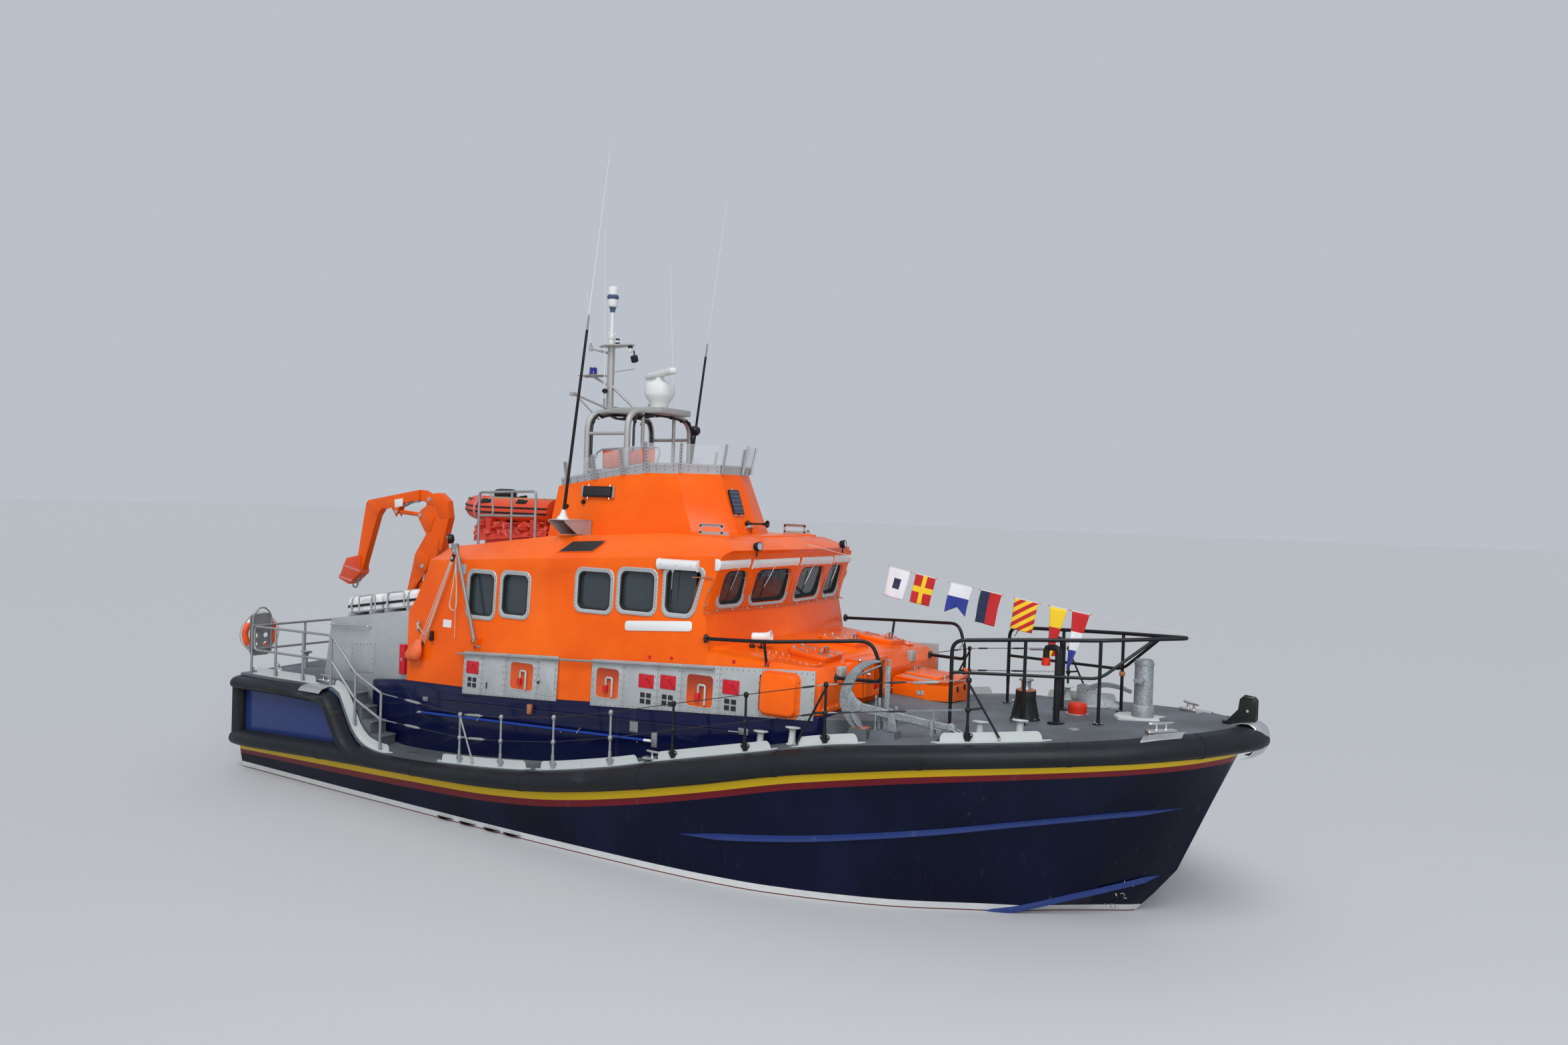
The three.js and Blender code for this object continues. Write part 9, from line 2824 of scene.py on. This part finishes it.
# Capstan
# A flared black drum with whelps down its sides, a bronze collar and an alloy head. It turns on its pad.
matt_black = sprayed("matt black enamel", (0.012, 0.013, 0.014), 0.62, grime=(0.08, 0.08, 0.08),
                     streaks=0.3)
drum = Shape(matt_black)
z = deck_z(*CAPSTAN) + 0.0255
drum.turned([(0.194, 0), (0.194, 0.022), (0.184, 0.030), (0.176, 0.040), (0.156, 0.12), (0.142, 0.20),
             (0.133, 0.262), (0.134, 0.275), (0.134, 0.370), (0.128, 0.380)], (*CAPSTAN, z), sides=48)
for turn in turns(8):
    way, across = Vector((math.cos(turn), math.sin(turn), 0)), Vector((-math.sin(turn), math.cos(turn), 0))
    centre = Vector((*CAPSTAN, z))
    outline = [centre + way * r + Vector((0, 0, h)) - across * 0.012 for r, h in (
        (0.10, 0.035), (0.190, 0.040), (0.176, 0.10), (0.158, 0.18), (0.147, 0.25), (0.10, 0.262))]
    drum.plate(outline, across * 0.024, 0.006)
    drum.paint(stainless).turned([(0.010, 0), (0.009, 0.008)],
                                 centre + way * 0.184 + across * 0.05 + Vector((0, 0, 0.024)), sides=8)
    drum.paint(matt_black)
drum.paint(copper).turned([(0.126, 0), (0.130, 0.004), (0.130, 0.016), (0.10, 0.022)],
                          (*CAPSTAN, z + 0.378), sides=40)
drum.paint(alloy).turned([(0.070, 0), (0.066, 0.015), (0.062, 0.06), (0.066, 0.105), (0.092, 0.112),
                          (0.097, 0.118), (0.095, 0.130), (0.05, 0.136)], (*CAPSTAN, z + 0.400), sides=36)
drum.make("capstan_drum", "capstan", replaces=["capstan"], slot="black_paint")

# Anchors
# To starboard a fisherman anchor stands in galvanised clamps on grey chocks, its stock upright; to
# port a plough anchor lies on a pad, its shank held at the pulpit's post.
ANCHOR = Vector((4.36, -2.05, deck_z(4.36, 2.05)))
fisherman = Shape(galvanised)
ARM_ROWS = [  # along, height, width of the bar, thickness
    (-0.010, 0.980, 0.018, 0.014), (-0.130, 0.962, 0.056, 0.030), (-0.260, 0.900, 0.096, 0.044),
    (-0.390, 0.770, 0.122, 0.050), (-0.475, 0.600, 0.138, 0.052), (-0.505, 0.440, 0.142, 0.052),
    (-0.475, 0.300, 0.118, 0.050), (-0.400, 0.170, 0.082, 0.040), (-0.320, 0.080, 0.048, 0.028),
    (-0.262, 0.035, 0.016, 0.014),
]


def bar_ring(centre, run, width, thick):
    """An eight-cornered section of a flat bar, across the run in the plane of X and Z."""
    across = Vector((-run.z, 0, run.x)).normalized()
    half, deep, cut = width / 2, thick / 2, min(width, thick) * 0.22
    return [centre + across * a + Vector((0, b, 0)) for a, b in (
        (-half + cut, -deep), (half - cut, -deep), (half, -deep + cut), (half, deep - cut),
        (half - cut, deep), (-half + cut, deep), (-half, deep - cut), (-half, -deep + cut))]


line = smooth_path([(u, 0, h) for u, h, _, _ in ARM_ROWS], 4)
sizes = smooth_path([(w, t, 0) for _, _, w, t in ARM_ROWS], 4)
arm_origin = ANCHOR + Vector((0, -0.06, 0))
fisherman.skin([bar_ring(arm_origin + p, run_at(line, i), s.x, s.y)
                for i, (p, s) in enumerate(zip(line, sizes))])
for tip, heel, half in (((-0.020, 0.968), (-0.330, 0.805), 0.085),
                        ((-0.275, 0.040), (-0.440, 0.280), 0.085)):
    run = Vector((tip[0] - heel[0], 0, tip[1] - heel[1]))
    start = arm_origin + Vector((heel[0], 0, heel[1]))
    inner = Vector((-run.z, 0, run.x)).normalized() * (0.03 if tip[1] > 0.5 else 0.045)
    crown = arm_origin + Vector((0, 0, 0.5))
    if (start + inner - crown).length > (start - crown).length:
        inner.negate()
    leaf = [start + inner + run * a + Vector((0, half * b, 0))
            for a, b in ((0, -0.45), (0.15, -0.8), (0.4, -1), (0.7, -0.75), (1, 0), (0.7, 0.75), (0.4, 1),
                         (0.15, 0.8), (0, 0.45))]
    fisherman.plate(leaf, inner.normalized() * 0.016, 0.005)
web = [(-0.455, 0.66), (-0.405, 0.560), (-0.35, 0.480), (-0.25, 0.425), (-0.25, 0.325), (-0.34, 0.310),
       (-0.415, 0.260), (-0.455, 0.20), (-0.52, 0.40)]
fisherman.plate([arm_origin + Vector((u, -0.020, h)) for u, h in web], (0, 0.040, 0), 0.006)
shank_rows = ((-0.50, -0.055, 0.380, 0.130), (-0.36, -0.046, 0.372, 0.120), (0.10, -0.020, 0.320, 0.110),
              (0.60, 0.015, 0.272, 0.086), (0.90, 0.034, 0.246, 0.078), (0.96, 0.038, 0.240, 0.070))
shank_run = Vector((1.62, 0, -0.152))
fisherman.skin([bar_ring(ANCHOR + Vector((u, v, h)), shank_run, w, 0.046) for u, v, h, w in shank_rows])
head = ANCHOR + Vector((0.93, 0.036, 0.243))
fisherman.turned([(0.050, -0.034), (0.060, -0.026), (0.060, 0.026), (0.050, 0.034)], head, (0, 1, 0), 24)
fisherman.turned([(0.036, -0.052), (0.038, -0.046), (0.038, 0.046), (0.036, 0.052)], head, (0, 1, 0), 6)
shackle = [head + Vector((u, v, h)) for u, v, h in (
    (0.00, -0.045, 0.0), (0.06, -0.048, -0.02), (0.13, -0.044, -0.05), (0.165, 0.0, -0.065),
    (0.13, 0.044, -0.05), (0.06, 0.048, -0.02), (0.00, 0.045, 0.0))]
fisherman.tube(smooth_path(shackle, 3), 0.014, 12)
fisherman.tube([head + Vector((0.13, 0, -0.06)), head + Vector((0.07, 0.02, -0.13))], 0.010, 10)
stock = ANCHOR + Vector((0.06, 0.02, 0))
fisherman.block(stock + Vector((0, 0, 0.49)), (0.072, 0.030, 0.86), edge=0.006)
link = [stock + Vector((u, 0, h)) for u, h in (
    (-0.036, 0.90), (-0.036, 0.96), (-0.02, 0.995), (0.02, 0.995), (0.036, 0.96), (0.036, 0.88),
    (0.02, 0.845), (-0.02, 0.845), (-0.036, 0.88))]
fisherman.tube(smooth_path(link, 3, True), 0.010, 10, closed=True)
fisherman.tube([ANCHOR + Vector(p) for p in ((-0.47, -0.050, 0.400), (-0.45, -0.05, 0.396),
                                             (0.78, 0.028, 0.197), (0.82, 0.03, 0.190))],
               [0.014, 0.022, 0.020, 0.012], 14)
for u, v, foot, head_z in ((-0.06, 0.055, 0.10, 0.50), (0.175, 0.05, 0.10, 0.42), (0.70, 0.065, 0.10, 0.33),
                           (0.70, -0.035, 0.10, 0.33)):
    fisherman.block(ANCHOR + Vector((u, v, (foot + head_z) / 2)), (0.042, 0.012, head_z - foot), edge=0.003)
for u, v in ((-0.06, -0.055), (0.06, 0.075), (0.70, 0.016)):
    top = 0.55 if u < 0.5 else 0.42
    fisherman.tube([ANCHOR + Vector((u, v, 0.10)), ANCHOR + Vector((u, v, top))], 0.010, 10)
    fisherman.turned([(0.020, 0), (0.020, 0.014)], ANCHOR + Vector((u, v, top - 0.035)), sides=6)
gusset = [(0.10, 0.11), (0.235, 0.11), (0.225, 0.20), (0.17, 0.40), (0.12, 0.40)]
fisherman.plate([ANCHOR + Vector((u, -0.045, h)) for u, h in gusset], (0, 0.010, 0), 0.003)
fisherman.turned([(0.020, 0), (0.018, 0.014)], ANCHOR + Vector((0.175, -0.045, 0.20)), (0, -1, 0), 6)
fisherman.paint(non_slip)
for u, half, foot_half, high in ((-0.29, 0.115, 0.150, 0.100), (0.06, 0.165, 0.180, 0.100),
                                 (0.70, 0.090, 0.100, 0.105)):
    low = [ANCHOR + Vector((u + a * foot_half, b * 0.125, -0.03))
           for a, b in ((-1, -1), (1, -1), (1, 1), (-1, 1))]
    high_ring = [ANCHOR + Vector((u + a * half, b * 0.100, high))
                 for a, b in ((-1, -1), (1, -1), (1, 1), (-1, 1))]
    fisherman.skin([low, high_ring])
fisherman.paint(copper).block(ANCHOR + Vector((-0.29, 0, 0.102)), (0.20, 0.18, 0.006), edge=0.002)
fisherman.make("fisherman_anchor", replaces=["stocked_anchor"], slot="galvanised", crease=40)

PLOUGH = Vector((6.25, 1.05, deck_z(6.25, 1.05)))
plough = Shape(galvanised)
share_rows = []
for share, wide, high, lift in ((0.0, 0.020, 0.215, 0.06), (0.12, 0.070, 0.275, 0.035),
                                (0.3, 0.105, 0.265, 0.028), (0.5, 0.105, 0.195, 0.026),
                                (0.75, 0.070, 0.105, 0.024), (0.92, 0.034, 0.050, 0.022),
                                (1.0, 0.006, 0.030, 0.020)):
    u = -0.30 + 0.62 * share
    spots = ((-wide, lift), (-wide * 0.55, lift + high * 0.30), (-wide * 0.12, lift + high * 0.82),
             (0, lift + high))
    outer = [(v, h) for v, h in spots] + [(-v, h) for v, h in spots[-2::-1]]
    inner = [(v * 0.88, h - 0.014) for v, h in outer[::-1]]
    share_rows.append([PLOUGH + Vector((u, v, h)) for v, h in outer + inner])
plough.skin(share_rows)
shank_path = smooth_path([(-0.16, 0, 0.22), (-0.02, 0, 0.295), (0.14, 0, 0.325), (0.32, 0, 0.305),
                          (0.47, 0, 0.262)], 4)
plough.skin([bar_ring(PLOUGH + p, run_at(shank_path, i), 0.085 - 0.0018 * i, 0.030)
             for i, p in enumerate(shank_path)])
plough.turned([(0.020, -0.03), (0.024, -0.02), (0.024, 0.02), (0.020, 0.03)],
              PLOUGH + Vector((-0.14, 0, 0.235)), (0, 1, 0), 16)
plough.paint(pale_green).plate([PLOUGH + Vector((u, v, -0.02)) for u, v in rounded(0.56, 0.22, 0.05)],
                               (0, 0, 0.045), 0.008)
plough.make("plough_anchor_body", replaces=["plough_anchor"], slot="galvanised", crease=40)

# Propellers, shafts and rudders
# Cast bronze propellers on stainless shafts, and bronze rudders under the same red anti-fouling
# as the hull's bottom.
bronze = bare_metal("cast bronze", (0.36, 0.21, 0.075), 0.34, 0.9, 0.4)
shaft_steel = bare_metal("shaft steel", (0.42, 0.43, 0.44), 0.32, 0.9, 0.35)
fouling_red = sprayed("anti-fouling", ANTIFOULING, 0.6, grime=(0.08, 0.07, 0.05), streaks=0.5)
for side in ("starboard", "port"):
    refined("propeller_" + side, bronze, "propeller_" + side, 0.006)
    refined("shaft_" + side, shaft_steel, "boat", 0.004)
    refined("rudder_" + side, fouling_red, "rudder_" + side, 0.008, 3)

# Dressing line
# Seven bunting flags of the signal code, sewn wool cloth with a rope heading, toggled to a thin
# line from the wheelhouse roof to the pulpit's tip. They hang from their hoists in light wind.
LINE_ENDS = ((2.02, 0.0, 4.545), (7.66, 0.0, 3.640))
FLAG_RED = (0.50, 0.006, 0.008)
FLAG_BLUE = (0.012, 0.030, 0.26)
FLAG_DARK = (0.008, 0.016, 0.060)
FLAG_YELLOW = (0.85, 0.56, 0.010)
FLAG_WHITE = (0.74, 0.75, 0.78)


def cut_axis(finish, letter):
    """How far across (X) or down (Y) the flag's cut a point lies, from 0 to 1."""
    spread = finish.node("ShaderNodeUVMap").outputs["UV"]
    return Value(finish.tree, finish.node("ShaderNodeSeparateXYZ", vector=spread).outputs[letter])


def bunting(name, ground, colour, mask):
    """Cloth whose second colour lies where mask(across, down) is 1; both run from 0 to 1."""
    made = Finish(name, ground, 0.85, sheen_weight=0.25)
    across, down = (cut_axis(made, letter) for letter in "XY")
    pattern = made.mixed(ground, colour, mask(across, down))
    soiled = made.mixed(pattern, (0.25, 0.24, 0.22), made.noise(9, 4).eased(0.55, 0.9) * 0.18)
    made.wear(soiled, "Base Color")
    weave = (across * 620).math("SINE") + (down * 760).math("SINE")
    return made.bumped(weave * 0.25 + made.noise(30, 3), 0.0015, 0.6)


def middle_square(across, down):
    return (across > 0.32) * (across < 0.68) * (down > 0.32) * (down < 0.68)


def cross(across, down):
    return ((across - 0.5).math("ABSOLUTE") < 0.10).math("MAXIMUM", (down - 0.5).math("ABSOLUTE") < 0.10)


def diagonals(across, down):
    return ((across * 0.62 + down) * 3.1).math("FRACT") < 0.5


def middle_third(across, down):
    return (down > 0.34) * (down < 0.66)


FLAGS = [  # start on the line, hoist, fly, taper, notch, ground, second colour, pattern
    ("flag_s", 3.42, 0.34, 0.43, 0.0, 0.0, FLAG_WHITE, FLAG_DARK, middle_square),
    ("flag_r", 3.84, 0.32, 0.42, 0.0, 0.0, FLAG_RED, FLAG_YELLOW, cross),
    ("flag_a", 4.39, 0.33, 0.43, 0.0, 0.24, FLAG_WHITE, FLAG_BLUE, lambda across, down: down > 0.42),
    ("flag_e", 4.85, 0.31, 0.46, 0.0, 0.0, FLAG_DARK, FLAG_RED, lambda across, down: across > 0.46),
    ("flag_y", 5.35, 0.34, 0.43, 0.0, 0.0, FLAG_RED, FLAG_YELLOW, diagonals),
    ("pennant_7", 5.85, 0.24, 0.80, 0.90, 0.0, FLAG_YELLOW, FLAG_RED, middle_third),
    ("pennant_3", 6.15, 0.24, 0.79, 0.84, 0.0, FLAG_RED, FLAG_WHITE, middle_third),
]
line_start, line_end = (Vector(p) for p in LINE_ENDS)
line_run = line_end - line_start
rope = Shape(rope_white)
rope.tube([line_start.lerp(line_end, k / 24) - Vector((0, 0, 0.05 * math.sin(math.pi * k / 24)))
           for k in range(25)], 0.0040, 8)


def on_line(x):
    share = (x - line_start.x) / line_run.x
    return line_start + line_run * share - Vector((0, 0, 0.05 * math.sin(math.pi * share)))


for order, (name, start, hoist, fly, taper, notch, ground, colour, pattern) in enumerate(FLAGS):
    columns, rows = 14, 20
    first = on_line(start)
    way = (on_line(start + hoist) - first).normalized()
    wool = bunting(name.replace("_", " ") + " bunting", ground, colour, pattern)
    spots = []
    for j in range(rows + 1):
        for i in range(columns + 1):
            across, down = i / columns, j / rows
            narrow = 0.5 + (across - 0.5) * (1 - taper * down)
            length = fly * down * (1 - notch * (1 - abs(2 * across - 1)))
            ripple = math.sin(across * 5.2 + order * 1.7 + down * 1.3) * 0.020 * down
            ripple += math.sin(across * 9.0 - down * 4.0 + order) * 0.006 * down
            spot = first + way * (hoist * narrow * (1 - 0.05 * down))
            spot += Vector((-0.16 * length + math.sin(down * 5 + order) * 0.006, ripple - 0.05 * length,
                            -length * 0.975))
            spots.append(spot + Vector((0, 0, -0.006)))
    cloth = grid_mesh(name, spots, columns, rows)
    layer = cloth.uv_layers.new(name="cut")
    for face in cloth.polygons:
        for corner, vertex in zip(face.loop_indices, face.vertices):
            across, down = (vertex % (columns + 1)) / columns, (vertex // (columns + 1)) / rows
            layer.data[corner].uv = (across, down * (1 - notch * (1 - abs(2 * across - 1))))
    if name == "pennant_3":
        foot_blue = cut_axis(wool, "Y") > 0.66
        wool.wear(wool.mixed(wool.shader.inputs["Base Color"].links[0].from_socket, FLAG_BLUE, foot_blue),
                  "Base Color")
    made = fitted(name, cloth, [wool])
    solid = made.modifiers.new("cloth", "SOLIDIFY")
    solid.thickness = 0.0016
    rope.paint(white_box).tube([first + way * (hoist * s) + Vector((0, 0, -0.004)) for s in (0, 0.5, 1)],
                               0.0055, 8)
    for knot in (first - way * 0.018, first + way * (hoist + 0.018)):
        rope.paint(copper).tube([knot - way * 0.014, knot, knot + way * 0.014], [0.004, 0.008, 0.004], 10)
        rope.paint(rope_white)
rope.paint(stainless).tube(smooth_path([line_start + Vector((-0.02, 0, -0.06)),
                                        line_start + Vector((0.0, 0, -0.03)),
                                        line_start + Vector((0.012, 0, 0))], 3), 0.006, 8)
rope.tube([line_end, Vector((7.70, 0, 3.625))], 0.006, 8)
rope.make("dressing_line", slot="stainless")
